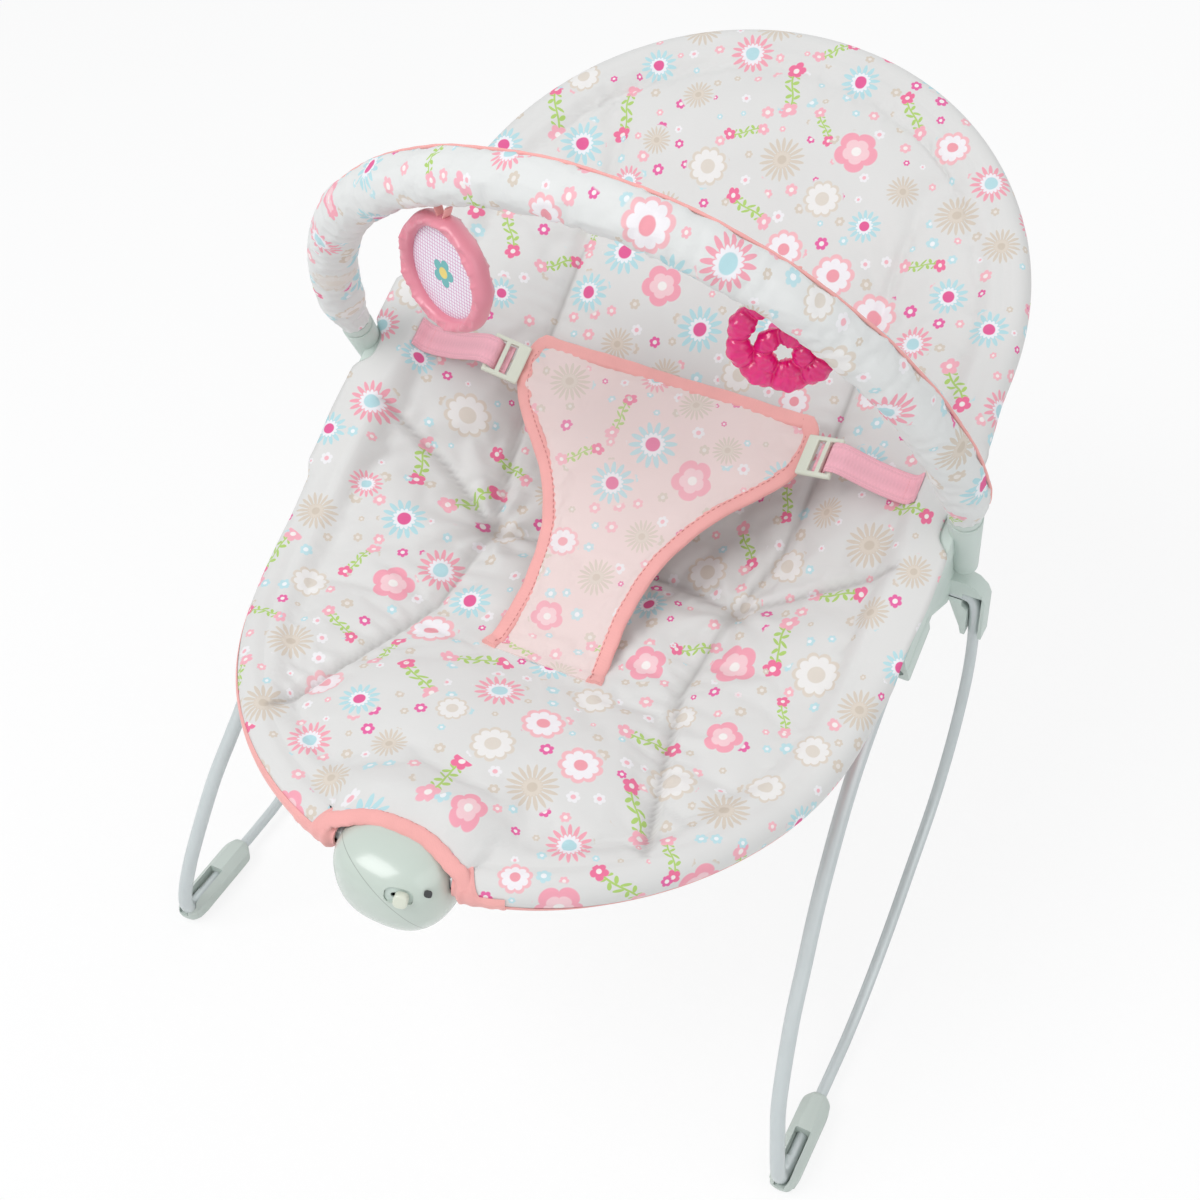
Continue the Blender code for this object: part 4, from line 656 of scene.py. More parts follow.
def tinted(colour: tuple, factor: float) -> tuple:
    """A colour made lighter or darker by a factor."""
    return tuple(min(1.0, c * factor) for c in colour)


@dataclass(frozen=True)
class MouldedPlastic:
    """Injection-moulded plastic with a fine grain and slight shade changes."""

    name: str
    slot: str
    tone: tuple
    roughness: float = 0.42
    coat: float = 0.0
    grain: float = 2600.0
    depth: float = 0.00002
    line: Optional[tuple[Vector, Vector]] = None

    def build(self) -> Material:
        """Make the material."""
        r = Recipe(self.name)
        where = r.places()
        cloud = r.grain(where, 18.0, 3.0)
        tone = r.mix(cloud, tinted(self.tone, 0.95), tinted(self.tone, 1.05))
        height = r.times(r.grain(where, self.grain, 1.0), self.depth)
        if self.line:
            groove = self.groove(r, where)
            tone = r.mix(r.times(groove, 0.55), tone, tinted(self.tone, 0.35))
            height = r.line(groove, -0.0003, height)
        r.colour(tone)
        uneven = 0.03 if self.coat > 0.2 else 0.10
        rough = r.line(r.grain(where, 60.0), uneven, self.roughness - uneven / 2)
        r.feed(r.shader.inputs["Roughness"], rough)
        r.set(Coat_Weight=self.coat, Coat_Roughness=0.12)
        r.raise_by(height, 1.0, 0.5)
        return r.material

    def groove(self, r: Recipe, where: Socket) -> Socket:
        """1 in the fine line where the plane of the moulding's joint meets its surface."""
        point, normal = self.line
        off = r.vector("SUBTRACT", where, tuple(point)).outputs[0]
        away = r.math("ABSOLUTE", r.vector("DOT_PRODUCT", off, tuple(normal.normalized())).outputs["Value"])
        return r.band(away, 0.00028, 0.00012)


@dataclass(frozen=True)
class PaintedSteel:
    """Painted or bare steel with faint drawing marks."""

    name: str
    slot: str
    tone: tuple
    metallic: float = 0.55
    roughness: float = 0.34

    def build(self) -> Material:
        """Make the material."""
        r = Recipe(self.name)
        where = r.places()
        fine = r.grain(where, 900.0, 2.0)
        r.colour(r.mix(r.grain(where, 30.0), tinted(self.tone, 0.93), tinted(self.tone, 1.04)))
        r.feed(r.shader.inputs["Roughness"], r.line(fine, 0.12, self.roughness - 0.06))
        r.set(Metallic=self.metallic)
        r.raise_by(fine, 0.00001, 0.4)
        return r.material


@dataclass(frozen=True)
class Rubber:
    """Dull black or dark rubber."""

    name: str
    slot: str
    tone: tuple

    def build(self) -> Material:
        """Make the material."""
        r = Recipe(self.name)
        where = r.places()
        r.colour(r.mix(r.grain(where, 60.0, 4.0), tinted(self.tone, 0.8), tinted(self.tone, 1.25)))
        r.set(Roughness=0.78)
        r.raise_by(r.grain(where, 1400.0), 0.00005, 0.6)
        return r.material


@dataclass(frozen=True)
class PlainCloth:
    """Plain woven cotton for bindings and loops, with a twill line."""

    name: str
    slot: str
    tone: tuple
    pitch: float = 0.0011

    def build(self) -> Material:
        """Make the material."""
        r = Recipe(self.name)
        flat = r.cloth_places()
        x, y, _ = r.split(flat)
        twill = r.math("SINE", r.times(r.plus(x, y), 2 * pi / self.pitch))
        height = r.line(twill, 0.5, 0.5)
        cloud = r.grain(r.places(), 55.0, 4.0)
        tone = r.mix(cloud, tinted(self.tone, 0.90), tinted(self.tone, 1.08))
        # Painted shade: the colour darkens a little with the twill height that the bump also raises.
        r.colour(r.mix(r.times(height, 0.16), tone, tinted(self.tone, 0.80)))
        r.set(Roughness=0.88, Sheen_Weight=0.20, Sheen_Roughness=0.5)
        r.raise_by(height, 0.00012, 0.5)
        return r.material


@dataclass(frozen=True)
class Webbing:
    """Woven strap with a waffle of ribs."""

    name: str
    slot: str
    tone: tuple
    rib: float = 0.0024
    yarn: float = 0.0022

    def build(self) -> Material:
        """Make the material."""
        r = Recipe(self.name)
        x, y, _ = r.split(r.cloth_places())
        ribs = r.math("SINE", r.times(x, 2 * pi / self.rib))
        picks = r.math("SINE", r.times(y, 2 * pi / self.yarn))
        crossed = r.line(r.times(ribs, picks), 0.22, 0.5)
        woven = r.line(ribs, 0.28, crossed)
        fuzz = r.grain(r.places(), 700.0, 3.0)
        tone = r.mix(fuzz, tinted(self.tone, 0.93), tinted(self.tone, 1.06))
        # Painted shade: the colour darkens with the same rib height that the bump raises, to make the ribs
        # stand out.
        r.colour(r.mix(r.times(woven, 0.34), tone, tinted(self.tone, 0.62)))
        r.set(Roughness=0.72, Sheen_Weight=0.15)
        r.raise_by(woven, 0.00035, 0.8)
        return r.material


@dataclass(frozen=True)
class Gel:
    """Translucent moulded gel."""

    name: str
    slot: str
    tone: tuple

    def build(self) -> Material:
        """Make the material."""
        r = Recipe(self.name)
        r.colour(r.mix(r.grain(r.places(), 70.0), tinted(self.tone, 0.85), tinted(self.tone, 1.15)))
        r.set(Roughness=0.09, Transmission_Weight=0.34, IOR=1.42, Subsurface_Weight=0.42,
              Subsurface_Radius=(1.0, 0.2, 0.5), Subsurface_Scale=0.005, Coat_Weight=0.60,
              Coat_Roughness=0.05)
        r.raise_by(r.grain(r.places(), 420.0), 0.00006, 0.4)
        return r.material


@dataclass(frozen=True)
class ToyPanel:
    """Thin woven-look panel of the round toy, with fine lines and one plain blossom."""

    name: str
    slot: str
    centre: Vector
    turn: float
    line: float = 0.0021

    def build(self) -> Material:
        """Make the material."""
        r = Recipe(self.name)
        move = r.vector("SUBTRACT", r.places(), tuple(self.centre)).outputs[0]
        local = r.mapped(move, (1, 1, 1), -self.turn)
        x, _, z = r.split(local)
        wave_x = r.math("ABSOLUTE", r.math("SINE", r.times(x, pi / self.line)))
        wave_z = r.math("ABSOLUTE", r.math("SINE", r.times(z, pi / self.line)))
        lines = r.math("MAXIMUM", r.band(wave_x, 0.35, 0.15), r.band(wave_z, 0.35, 0.15))
        ground = r.mix(lines, (0.80, 0.78, 0.84), (0.62, 0.22, 0.48))
        reach = r.away(x, z)
        angle = r.math("ARCTAN2", z, x)
        lobes = r.math("ABSOLUTE", r.math("COSINE", r.times(angle, 2.5)))
        edge = r.line(r.math("POWER", lobes, 0.7), 0.0035, 0.0050)
        petals = r.band(r.minus(reach, edge), 0.0002, -0.0002)
        tone = r.mix(petals, ground, (0.10, 0.42, 0.42))
        heart = r.band(reach, 0.0036, 0.0030)
        tone = r.mix(heart, tone, (0.78, 0.62, 0.14))
        r.colour(tone)
        r.set(Roughness=0.22, Coat_Weight=0.5, Coat_Roughness=0.06)
        r.raise_by(lines, 0.0001, 0.4)
        return r.material


@dataclass(frozen=True)
class Blossom:
    """One kind of printed flower: a share of the spots, its petals and its colours."""

    low: float
    high: float
    petals: int
    dip: float
    outer: tuple
    middle: tuple
    heart: tuple
    inner: float = 0.62
    core: float = 0.22
    thin: bool = False


@dataclass(frozen=True)
class PrintedCotton:
    """Light cotton with a printed scatter of blossoms, burst daisies, leafy sprigs and small flowers, and
    painted shade in the seat cover's seam creases.
    """

    name: str
    slot: str
    ground: Ground
    cell: float = 0.0375
    reach: float = 0.0140
    turn: float = 0.42
    shift: tuple = (0.3, 0.1, 0.0)
    strength: float = 1.0
    blossoms: tuple[Blossom, ...] = (
        Blossom(0.00, 0.07, 5, 0.26, (0.88, 0.36, 0.45), (0.90, 0.60, 0.64), (0.90, 0.86, 0.84)),
        Blossom(0.07, 0.24, 14, 0.55, (0.45, 0.70, 0.75), (0.84, 0.86, 0.90), (0.76, 0.10, 0.30),
                0.52, 0.30, True),
        Blossom(0.24, 0.39, 18, 0.60, (0.66, 0.585, 0.50), (0.70, 0.63, 0.55), (0.62, 0.54, 0.45),
                0.40, 0.20, True),
        Blossom(0.39, 0.50, 10, 0.20, (0.70, 0.63, 0.55), (0.83, 0.815, 0.80), (0.72, 0.66, 0.59),
                0.84, 0.36),
        Blossom(0.50, 0.62, 16, 0.55, (0.86, 0.36, 0.44), (0.86, 0.84, 0.88), (0.46, 0.70, 0.75),
                0.55, 0.32, True),
        Blossom(0.62, 0.70, 9, 0.18, (0.88, 0.48, 0.52), (0.88, 0.85, 0.88), (0.86, 0.34, 0.40), 0.80, 0.30),
    )

    def build(self) -> Material:
        """Make the material."""
        r = Recipe(self.name)
        flat = r.mapped(r.cloth_places(), (1, 1, 1), self.turn, self.shift)
        shade = self.ground.value
        ground = r.mix(r.grain(r.places(), 22.0, 3.0), tinted(shade, 0.97), tinted(shade, 1.03))
        tone, near = self.large_motifs(r, flat, ground)
        tone = self.small_motifs(r, flat, tone, near)
        tone = r.mix(self.strength, ground, tone)
        x, y, _ = r.split(r.cloth_places())
        warp = r.math("SINE", r.times(x, 2 * pi / 0.0009))
        weft = r.math("SINE", r.times(y, 2 * pi / 0.0009))
        weave = r.line(r.times(warp, weft), 0.5, 0.5)
        slub = r.grain(r.mapped(r.cloth_places(), (1.0, 9.0, 1.0)), 160.0, 3.0)
        height = r.line(slub, 0.8, r.times(weave, 0.35))
        tone = r.mix(r.times(slub, 0.07), tone, (0.50, 0.48, 0.47))
        # Painted shade: a point attribute of the seat cover darkens the print towards dark brown deep in its
        # seam creases; pieces without it get none.
        fold = r.tree.nodes.new("ShaderNodeAttribute")
        fold.attribute_name = "fold"
        r.colour(r.mix(r.times(fold.outputs["Fac"], 0.55), tone, (0.20, 0.17, 0.16)))
        r.set(Roughness=0.84, Sheen_Weight=0.10, Sheen_Roughness=0.5)
        r.raise_by(height, 0.00010, 0.45)
        return r.material

    def spots(self, r: Recipe, flat: Socket, cell: float, randomness: float) -> tuple[Socket, Socket, tuple]:
        """Scatter places on the cloth.

        Args:
            r: Recipe to add to.
            flat: Places on the cloth.
            cell: Mean distance between spots.
            randomness: From 0, a grid, to 1.

        Returns:
            Distance from the nearest spot, angle round it, and three random numbers for it.
        """
        node = r.tree.nodes.new("ShaderNodeTexVoronoi")
        node.voronoi_dimensions = "2D"
        node.feature = "F1"
        r.feed(node.inputs["Vector"], flat)
        node.inputs["Scale"].default_value = 1 / cell
        node.inputs["Randomness"].default_value = randomness
        away = r.vector("SUBTRACT", flat, node.outputs["Position"]).outputs[0]
        x, y, _ = r.split(away)
        reach = r.away(x, y)
        dice = r.split(node.outputs["Color"])
        angle = r.line(dice[1], 2 * pi, r.math("ARCTAN2", y, x))
        return reach, angle, dice

    def lobes(self, r: Recipe, angle: Socket, count: int, power: float = 0.7) -> Socket:
        """Rounded lobes round a spot, from 0 to 1."""
        wave = r.math("ABSOLUTE", r.math("COSINE", r.times(angle, count / 2)))
        return r.math("POWER", wave, power)

    def large_motifs(self, r: Recipe, flat: Socket, ground: Socket) -> tuple[Socket, Socket]:
        """Blossoms, daisies, round flowers and leaf sprigs.

        Args:
            r: Recipe to add to.
            flat: Places on the cloth.
            ground: Colour under them.

        Returns:
            The colour with the motifs on it, and their distance from their middle in radii.
        """
        far, angle, dice = self.spots(r, flat, self.cell, 0.34)
        size = r.line(dice[2], self.reach * 0.42, self.reach * 0.68)
        reach = r.math("DIVIDE", far, size)
        tone = ground
        for kind in self.blossoms:
            chosen = r.between(dice[0], kind.low, kind.high, 0.001)
            tone = self.flower(r, kind, chosen, reach, angle, tone)
        chosen = r.between(dice[0], 0.70, 1.10, 0.001)
        tone = self.sprig(r, chosen, r.times(reach, 0.80), angle, tone)
        return tone, reach

    def flower(self, r: Recipe, kind: Blossom, chosen: Socket, reach: Socket, angle: Socket,
               tone: Socket) -> Socket:
        """One kind of flower, in three rings of colour.

        Args:
            r: Recipe to add to.
            kind: Which kind.
            chosen: 1 where this kind grows.
            reach: Distance from the middle, in radii.
            angle: Angle round the middle.
            tone: Colour under it.

        Returns:
            The colour with the flower on it.
        """
        lobes = self.lobes(r, angle, kind.petals, 1.1 if kind.thin else 0.6)
        edge = r.line(lobes, kind.dip, 1.0 - kind.dip)
        rim = r.band(r.minus(reach, edge), 0.03, -0.03)
        if kind.thin:
            middle = r.band(reach, kind.inner + 0.02, kind.inner - 0.02)
            rim = r.times(rim, r.math("MAXIMUM", r.band(lobes, 0.34, 0.44), middle))
        inner_edge = r.line(lobes, kind.inner * 0.22, kind.inner * 0.78)
        inner = r.band(r.minus(reach, inner_edge), 0.03, -0.03)
        core = r.band(reach, kind.core + 0.03, kind.core - 0.03)
        tone = r.mix(r.times(rim, chosen), tone, kind.outer)
        tone = r.mix(r.times(inner, chosen), tone, kind.middle)
        return r.mix(r.times(core, chosen), tone, kind.heart)

    def sprig(self, r: Recipe, chosen: Socket, reach: Socket, angle: Socket, tone: Socket) -> Socket:
        """A curved stem with leaves on alternate sides and a small flower at each end.

        Args:
            r: Recipe to add to.
            chosen: 1 where sprigs grow.
            reach: Distance from the middle, in radii.
            angle: Angle round the middle.
            tone: Colour under it.

        Returns:
            The colour with the sprig on it.
        """
        p = r.times(reach, r.math("COSINE", angle))
        q = r.times(reach, r.math("SINE", angle))
        bend = r.times(r.math("SINE", r.times(p, 2.3)), 0.20)
        off = r.minus(q, bend)
        away = r.math("ABSOLUTE", off)
        length = r.math("ABSOLUTE", p)
        stem = r.times(r.band(away, 0.045, 0.025), r.band(length, 0.86, 0.80))
        side = r.times(r.math("SIGN", off), 0.15)
        step = r.minus(r.math("PINGPONG", r.plus(r.plus(p, side), 3.0), 0.30), 0.15)
        slant = r.times(r.minus(away, 0.14), 0.6)
        leaf_p = r.math("DIVIDE", r.minus(step, slant), 0.075)
        leaf_q = r.math("DIVIDE", r.minus(away, 0.15), 0.125)
        oval = r.plus(r.times(leaf_p, leaf_p), r.times(leaf_q, leaf_q))
        leaf = r.times(r.band(oval, 1.1, 0.8), r.band(length, 0.60, 0.56))
        green = r.math("MAXIMUM", stem, leaf)
        tone = r.mix(r.times(green, chosen), tone, (0.42, 0.62, 0.15))
        end = r.minus(length, 0.86)
        bud_reach = r.away(end, off)
        lobes = self.lobes(r, r.math("ARCTAN2", off, end), 5)
        bud_edge = r.line(lobes, 0.11, 0.21)
        bud = r.times(r.band(r.minus(bud_reach, bud_edge), 0.02, -0.02), chosen)
        pink_end = r.band(p, -0.05, 0.05)
        tone = r.mix(bud, tone, r.mix(pink_end, (0.88, 0.42, 0.50), (0.84, 0.16, 0.32)))
        heart = r.times(r.band(bud_reach, 0.11, 0.08), chosen)
        return r.mix(heart, tone, (0.90, 0.84, 0.82))

    def small_motifs(self, r: Recipe, flat: Socket, tone: Socket, near: Socket) -> Socket:
        """Small blossoms and dots in the room between the large motifs.

        Args:
            r: Recipe to add to.
            flat: Places on the cloth.
            tone: Colour under them.
            near: Distance from the large motifs, in radii.

        Returns:
            The colour with the small motifs on it.
        """
        far, angle, dice = self.spots(r, r.mapped(flat, (1, 1, 1), 0.7, (0.011, 0.007, 0)), 0.0140, 0.50)
        free = r.band(near, 1.04, 1.16)
        size = r.line(dice[2], 0.0026, 0.0018)
        reach = r.math("DIVIDE", far, size)
        edge = r.line(self.lobes(r, angle, 6), 0.30, 0.70)
        shape = r.band(r.minus(reach, edge), 0.08, -0.08)
        for low, high, colour, heart in (
            (0.00, 0.10, (0.78, 0.12, 0.36), (0.90, 0.86, 0.84)),
            (0.10, 0.26, (0.50, 0.72, 0.77), (0.86, 0.88, 0.90)),
            (0.26, 0.44, (0.66, 0.585, 0.50), (0.78, 0.74, 0.70)),
            (0.44, 0.60, (0.88, 0.46, 0.52), (0.90, 0.84, 0.82)),
            (0.60, 0.72, (0.84, 0.83, 0.85), (0.88, 0.46, 0.52)),
        ):
            chosen = r.times(r.between(dice[0], low, high, 0.001), free)
            tone = r.mix(r.times(shape, chosen), tone, colour)
            core = r.times(r.band(reach, 0.42, 0.32), chosen)
            tone = r.mix(core, tone, heart)
        return tone


@dataclass
class Finishes:
    """All materials, made once."""

    made: dict[str, Material] = field(default_factory=dict)
    slots: dict[str, str] = field(default_factory=dict)

    def add(self, *recipes: Union[MouldedPlastic, PaintedSteel, Rubber, PlainCloth, Webbing, Gel,
                                  ToyPanel, PrintedCotton]) -> None:
        """Build finishes and keep them by name."""
        for recipe in recipes:
            self.made[recipe.name] = recipe.build()
            self.slots[recipe.name] = recipe.slot

    def dress(self, piece: Piece, finish: str, body: str, nodes: Sequence[str] = ()) -> None:
        """Give a new piece its finish and its place in the model.

        Args:
            piece: The piece.
            finish: Name of the finish.
            body: Body that it moves with.
            nodes: CAD nodes that it stands for.
        """
        piece.data.materials.clear()
        piece.data.materials.append(self.made[finish])
        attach(piece, body)
        if nodes:
            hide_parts(*nodes)
        LOG.info("%s: %d faces, %s, on %s", piece.name, len(piece.data.polygons), finish, body)

    def mould(self, node: str, finish: str, body: str, *rounding: float) -> None:
        """Round a moulding's edges over and give it its finish."""
        self.dress(softened(node, *rounding), finish, body, (node,))

    def repaint(self, finish: str, *nodes: str) -> None:
        """Give CAD nodes that stay in view a finish."""
        for node in nodes:
            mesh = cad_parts[node].data
            mesh.materials.clear()
            mesh.materials.append(self.made[finish])
            LOG.info("%s: kept from the CAD, %s", node, finish)


# Shape of the seat


@dataclass(frozen=True)
class SeatShape:
    """Rim, sling and hub planes of the seat, with the same sizes as the CAD."""

    rim_half: float = 0.199
    front_height: float = 0.265
    bend_start: float = 0.055
    bend_radius: float = 0.200
    back_angle: float = radians(30.5)
    front_centre: float = 0.148
    front_length: float = 0.226
    head_centre: float = 0.3665
    tube_inset: float = 0.011
    hub_y: float = 0.200
    hub_front: float = -0.037
    hub_rear: float = 0.095
    sag_table: tuple = (
        (-0.080, 0.000), (-0.020, -0.004), (0.040, 0.001), (0.090, 0.012),
        (0.130, 0.026), (0.180, 0.052), (0.205, 0.066), (0.225, 0.071), (0.262, 0.064),
        (0.320, 0.048), (0.400, 0.029), (0.480, 0.014), (0.570, 0.000),
    )

    def profile(self, u: float) -> Spot:
        """Side view of the rim at unrolled distance u.

        Args:
            u: Distance along the side view from the front toe.

        Returns:
            Y from the front toe, Z and slope.
        """
        if u < self.bend_start:
            return u, self.front_height, 0.0
        slope = min((u - self.bend_start) / self.bend_radius, self.back_angle)
        straight = max(0.0, u - self.bend_start - self.bend_radius * self.back_angle)
        y = self.bend_start + self.bend_radius * sin(slope) + straight * cos(slope)
        z = self.front_height + self.bend_radius * (1 - cos(slope)) + straight * sin(slope)
        return y, z, slope

    def point(self, u: float, x: float, lift: float = 0.0) -> Vector:
        """A point over the rim's surface.

        Args:
            u: Distance along the side view.
            x: Distance from the middle.
            lift: Height square to the surface.

        Returns:
            The point in the shared frame.
        """
        y, z, slope = self.profile(u)
        return floor_point(x, y - lift * sin(slope), z + lift * cos(slope))

    def at_y(self, y: float) -> float:
        """Unrolled distance of a place on the straight back."""
        end = self.profile(self.bend_start + self.bend_radius * self.back_angle)[0]
        return self.bend_start + self.bend_radius * self.back_angle + (y - end) / cos(self.back_angle)

    def half_width(self, u: float, inset: float) -> float:
        """Half width of the outline at u, moved in by inset."""
        half = self.rim_half - inset
        if u < self.front_centre:
            share = (self.front_centre - u) / (self.front_length - inset)
            return half * sqrt(max(0.0, 1 - share * share))
        if u > self.head_centre:
            share = (u - self.head_centre) / half
            return half * sqrt(max(0.0, 1 - share * share))
        return half

    def sag(self, u: float) -> float:
        """Depth of the sling below the rim at u."""
        value = read_table(self.sag_table, u)
        return (read_table(self.sag_table, u - 0.010) + 2 * value + read_table(self.sag_table, u + 0.010)) / 4

    def hub_point(self, s: float, n: float, x: float = 0.0) -> Vector:
        """Point of the hub's plane: s along the tube, n square to it."""
        return self.point(self.at_y(self.hub_y) + s, x, n)


SEAT = SeatShape()


# Sewn cover of the seat


@dataclass(frozen=True)
class Seam:
    """A sewn line on the flat cover, right half or middle, with its valley."""

    path: tuple[Pair, ...]
    depth: float
    width: float = 0.0042
    puckers: float = 0.0005

    def read(self, x: float, u: float) -> Pair:
        """Distance of a place from the seam, and its distance along it."""
        best, along, run = 1.0, 0.0, 0.0
        for a, b in zip(self.path, self.path[1:]):
            reach, step = segment_reach((abs(x), u), a, b)
            if reach < best:
                best, along = reach, run + step
            run += dist(a, b)
        return best, along


@dataclass
class SeatCover:
    """The padded sling with its roll round the tube, its bindings and its cloth edge on the hubs."""

    finishes: Finishes
    top_inset: float = 0.0164
    under_inset: float = 0.0215
    roll: float = 0.0109
    columns: int = 137
    front_rows: int = 76
    middle_rows: int = 78
    head_rows: int = 68
    notch: float = 0.0398
    corner: Pair = (0.086, 0.182)
    pad_edge: float = 0.0045
    crown: float = 0.0125
    bump: float = 0.0205
    seams: tuple[Seam, ...] = (
        Seam(((0.0, 0.192), (0.050, 0.189), (0.086, 0.182)), 0.0085, 0.0050),
        Seam(((0.086, 0.182), (0.098, 0.235), (0.103, 0.300), (0.104, 0.470)), 0.0046, 0.0036),
        Seam(((0.086, 0.182), (0.132, 0.210), (0.176, 0.228)), 0.0054, 0.0038),
        Seam(((0.086, 0.182), (0.084, 0.118), (0.103, 0.050), (0.123, -0.018)), 0.0050, 0.0036),
    )
    arch: tuple = (
        (0.0000, -0.0590, 0.2846), (0.0140, -0.0595, 0.2837), (0.0250, -0.0624, 0.2822),
        (0.0325, -0.0650, 0.2796), (0.0375, -0.0664, 0.2775), (0.0410, -0.0672, 0.2762),
        (0.0560, -0.0650, 0.2756),
    )

    def build(self) -> None:
        """Make the cover, its bindings and its gussets."""
        cover = self.build_cover()
        self.finishes.dress(cover, "printed cotton", "seat", (
            "seat_pad_lower", "seat_pad_back", "pad_sleeve_back", "pad_sleeve_front_left",
            "pad_sleeve_front_right", "pad_side_flap_left", "pad_side_flap_right"))
        for side in Side:
            self.finishes.dress(self.build_rim_binding(side), "salmon binding", "seat")
            self.finishes.dress(self.build_gusset(side), "salmon binding", "seat")
        self.finishes.dress(self.build_arch(), "salmon binding", "seat", ("pad_arch_binding",))
        self.finishes.dress(self.build_arch_stitches(), "sewing thread", "seat")

    def rows(self) -> list[tuple[str, float]]:
        """Rows of the grid from the foot end to the head, by cap and share."""
        front = [("front", t) for t in spread(1.0, 0.0, self.front_rows)]
        middle = [("middle", u) for u in spread(SEAT.front_centre, SEAT.head_centre, self.middle_rows)[1:-1]]
        head = [("head", t) for t in spread(0.0, 1.0, self.head_rows)]
        return [*front, *middle, *head]

    def spots_across(self) -> list[float]:
        """Places of the columns, from -1 to 1, closer together near the rim."""
        inner = spread(-0.968, 0.968, self.columns - 6)
        edge = [0.980, 0.990, 1.0]
        return [*[-e for e in reversed(edge)], *inner, *edge]

    def lay(self, row: tuple[str, float], s: float, inset: float) -> Spot:
        """Place of a grid point on the flat cover.

        Args:
            row: Cap and share of the row.
            s: Place across, from -1 to 1.
            inset: How far the grid's edge lies inside the outline.

        Returns:
            x, u and the distance from the middle of its cap as a share of the outline's.
        """
        kind, t = row
        half = SEAT.rim_half - inset
        if kind == "middle":
            return half * s, t, abs(s)
        disc_x = s * sqrt(1 - t * t / 2)
        disc_y = t * sqrt(1 - s * s / 2)
        rho = hypot(disc_x, disc_y)
        if kind == "front":
            return half * disc_x, SEAT.front_centre - (SEAT.front_length - inset) * disc_y, rho
        return half * disc_x, SEAT.head_centre + half * disc_y, rho

    def hub_share(self, u: float) -> float:
        """1 where the cloth lies over a hub, 0 where it rolls round the tube."""
        middle = SEAT.at_y(SEAT.hub_y)
        start, end = middle + SEAT.hub_front, middle + SEAT.hub_rear
        return ease((u - start + 0.014) / 0.012) * (1 - ease((u - end - 0.002) / 0.012))

    def section(self, u: float) -> list[Pair]:
        """Roll of the cloth's edge as (inset, lift) pairs, from the top to the underside."""
        share = self.hub_share(u)
        start = SEAT.at_y(SEAT.hub_y) + SEAT.hub_front
        end = start + SEAT.hub_rear - SEAT.hub_front
        bulge = 0.0024 * ease((u - start + 0.046) / 0.036) * ease((end + 0.046 - u) / 0.036)
        wrap = []
        for degrees in spread(60.0, 296.0, 13):
            a = radians(degrees)
            out = bulge * max(0.0, -cos(a))
            wrap.append((SEAT.tube_inset + self.roll * cos(a) - out, self.roll * sin(a)))
        wrap.append((self.under_inset, -0.0068))
        cup = exp(-(((u - 0.2600) / 0.0135) ** 4))
        reach = -0.0030 - 0.0019 * ease((u - start - 0.004) / 0.034) + 0.0100 * cup
        flap = [
            (0.0164, 0.0112), (0.0120, 0.0116), (0.0080, 0.0117), (0.0060 + 0.3 * reach, 0.0116),
            (0.0025 + 0.75 * reach, 0.0114), (reach, 0.0106), (reach, 0.0095), (reach + 0.0006, 0.0089),
            (0.0075, 0.0089), (0.0130, 0.0089), (0.0180, 0.0089), (0.0203, 0.0082), (0.0208, 0.0030),
            (self.under_inset, -0.0020),
        ]
        return [(a[0] + (b[0] - a[0]) * share, a[1] + (b[1] - a[1]) * share) for a, b in zip(wrap, flap)]

    def arch_at(self, x: float) -> Vector:
        """Point of the arch over the vibration unit, at a distance from the middle."""
        y = read_table([(p[0], p[1]) for p in self.arch], abs(x))
        z = read_table([(p[0], p[2]) for p in self.arch], abs(x))
        return floor_point(x, y, z)

    def pad_bump(self, x: float, u: float) -> float:
        """Rise of the foot end where it passes over the vibration unit."""
        across = 1 - ease((abs(x) - 0.018) / 0.062)
        along = 1 - ease((u + 0.050) / 0.052)
        return self.bump * across * along

    def level(self, x: float, u: float, rho: float, inset: float) -> Pair:
        """Middle level and half thickness of the pad.

        Args:
            x: Distance from the middle.
            u: Distance along the side view.
            rho: Share of the outline.
            inset: How far the grid's edge lies inside the outline.

        Returns:
            Lift of the pad's middle and half its thickness there.
        """
        share = min(1.0, rho * (SEAT.rim_half - inset) / (SEAT.rim_half - 0.0228))
        hollow = SEAT.sag(u) * (1 - share ** 2.4)
        full = 0.15 + 0.85 * ease((u + 0.0545) / 0.075)
        half = (self.pad_edge + self.crown * (1 - share ** 4) * full) / 2
        return self.pad_bump(x, u) - hollow, half

    def from_seams(self, x: float, u: float, end: float, fade: float, away: float) -> float:
        """Distance from the nearest seam, where the long side seam fades out towards the head."""
        return min(s.read(x, u)[0] + (away * ease((u - end) / fade) if s is self.seams[1] else 0.0)
                   for s in self.seams)

    def held(self, x: float, u: float, rho: float) -> float:
        """How firmly the seams, the rim and the pieces sewn on hold the top cloth, from 0 to 1."""
        reach = self.from_seams(x, u, 0.40, 0.08, 0.05)
        sewn = 1 - ease((reach - 0.0020) / 0.0050)
        rim = ease((rho - 0.90) / 0.07)
        foot = (1 - ease((abs(x) - 0.040) / 0.010)) * (1 - ease((abs(u - 0.108) - 0.012) / 0.008))
        strap = 1 - ease((hypot(abs(x) - 0.166, u - 0.300) - 0.022) / 0.010)
        return max(sewn, rim, foot, strap)

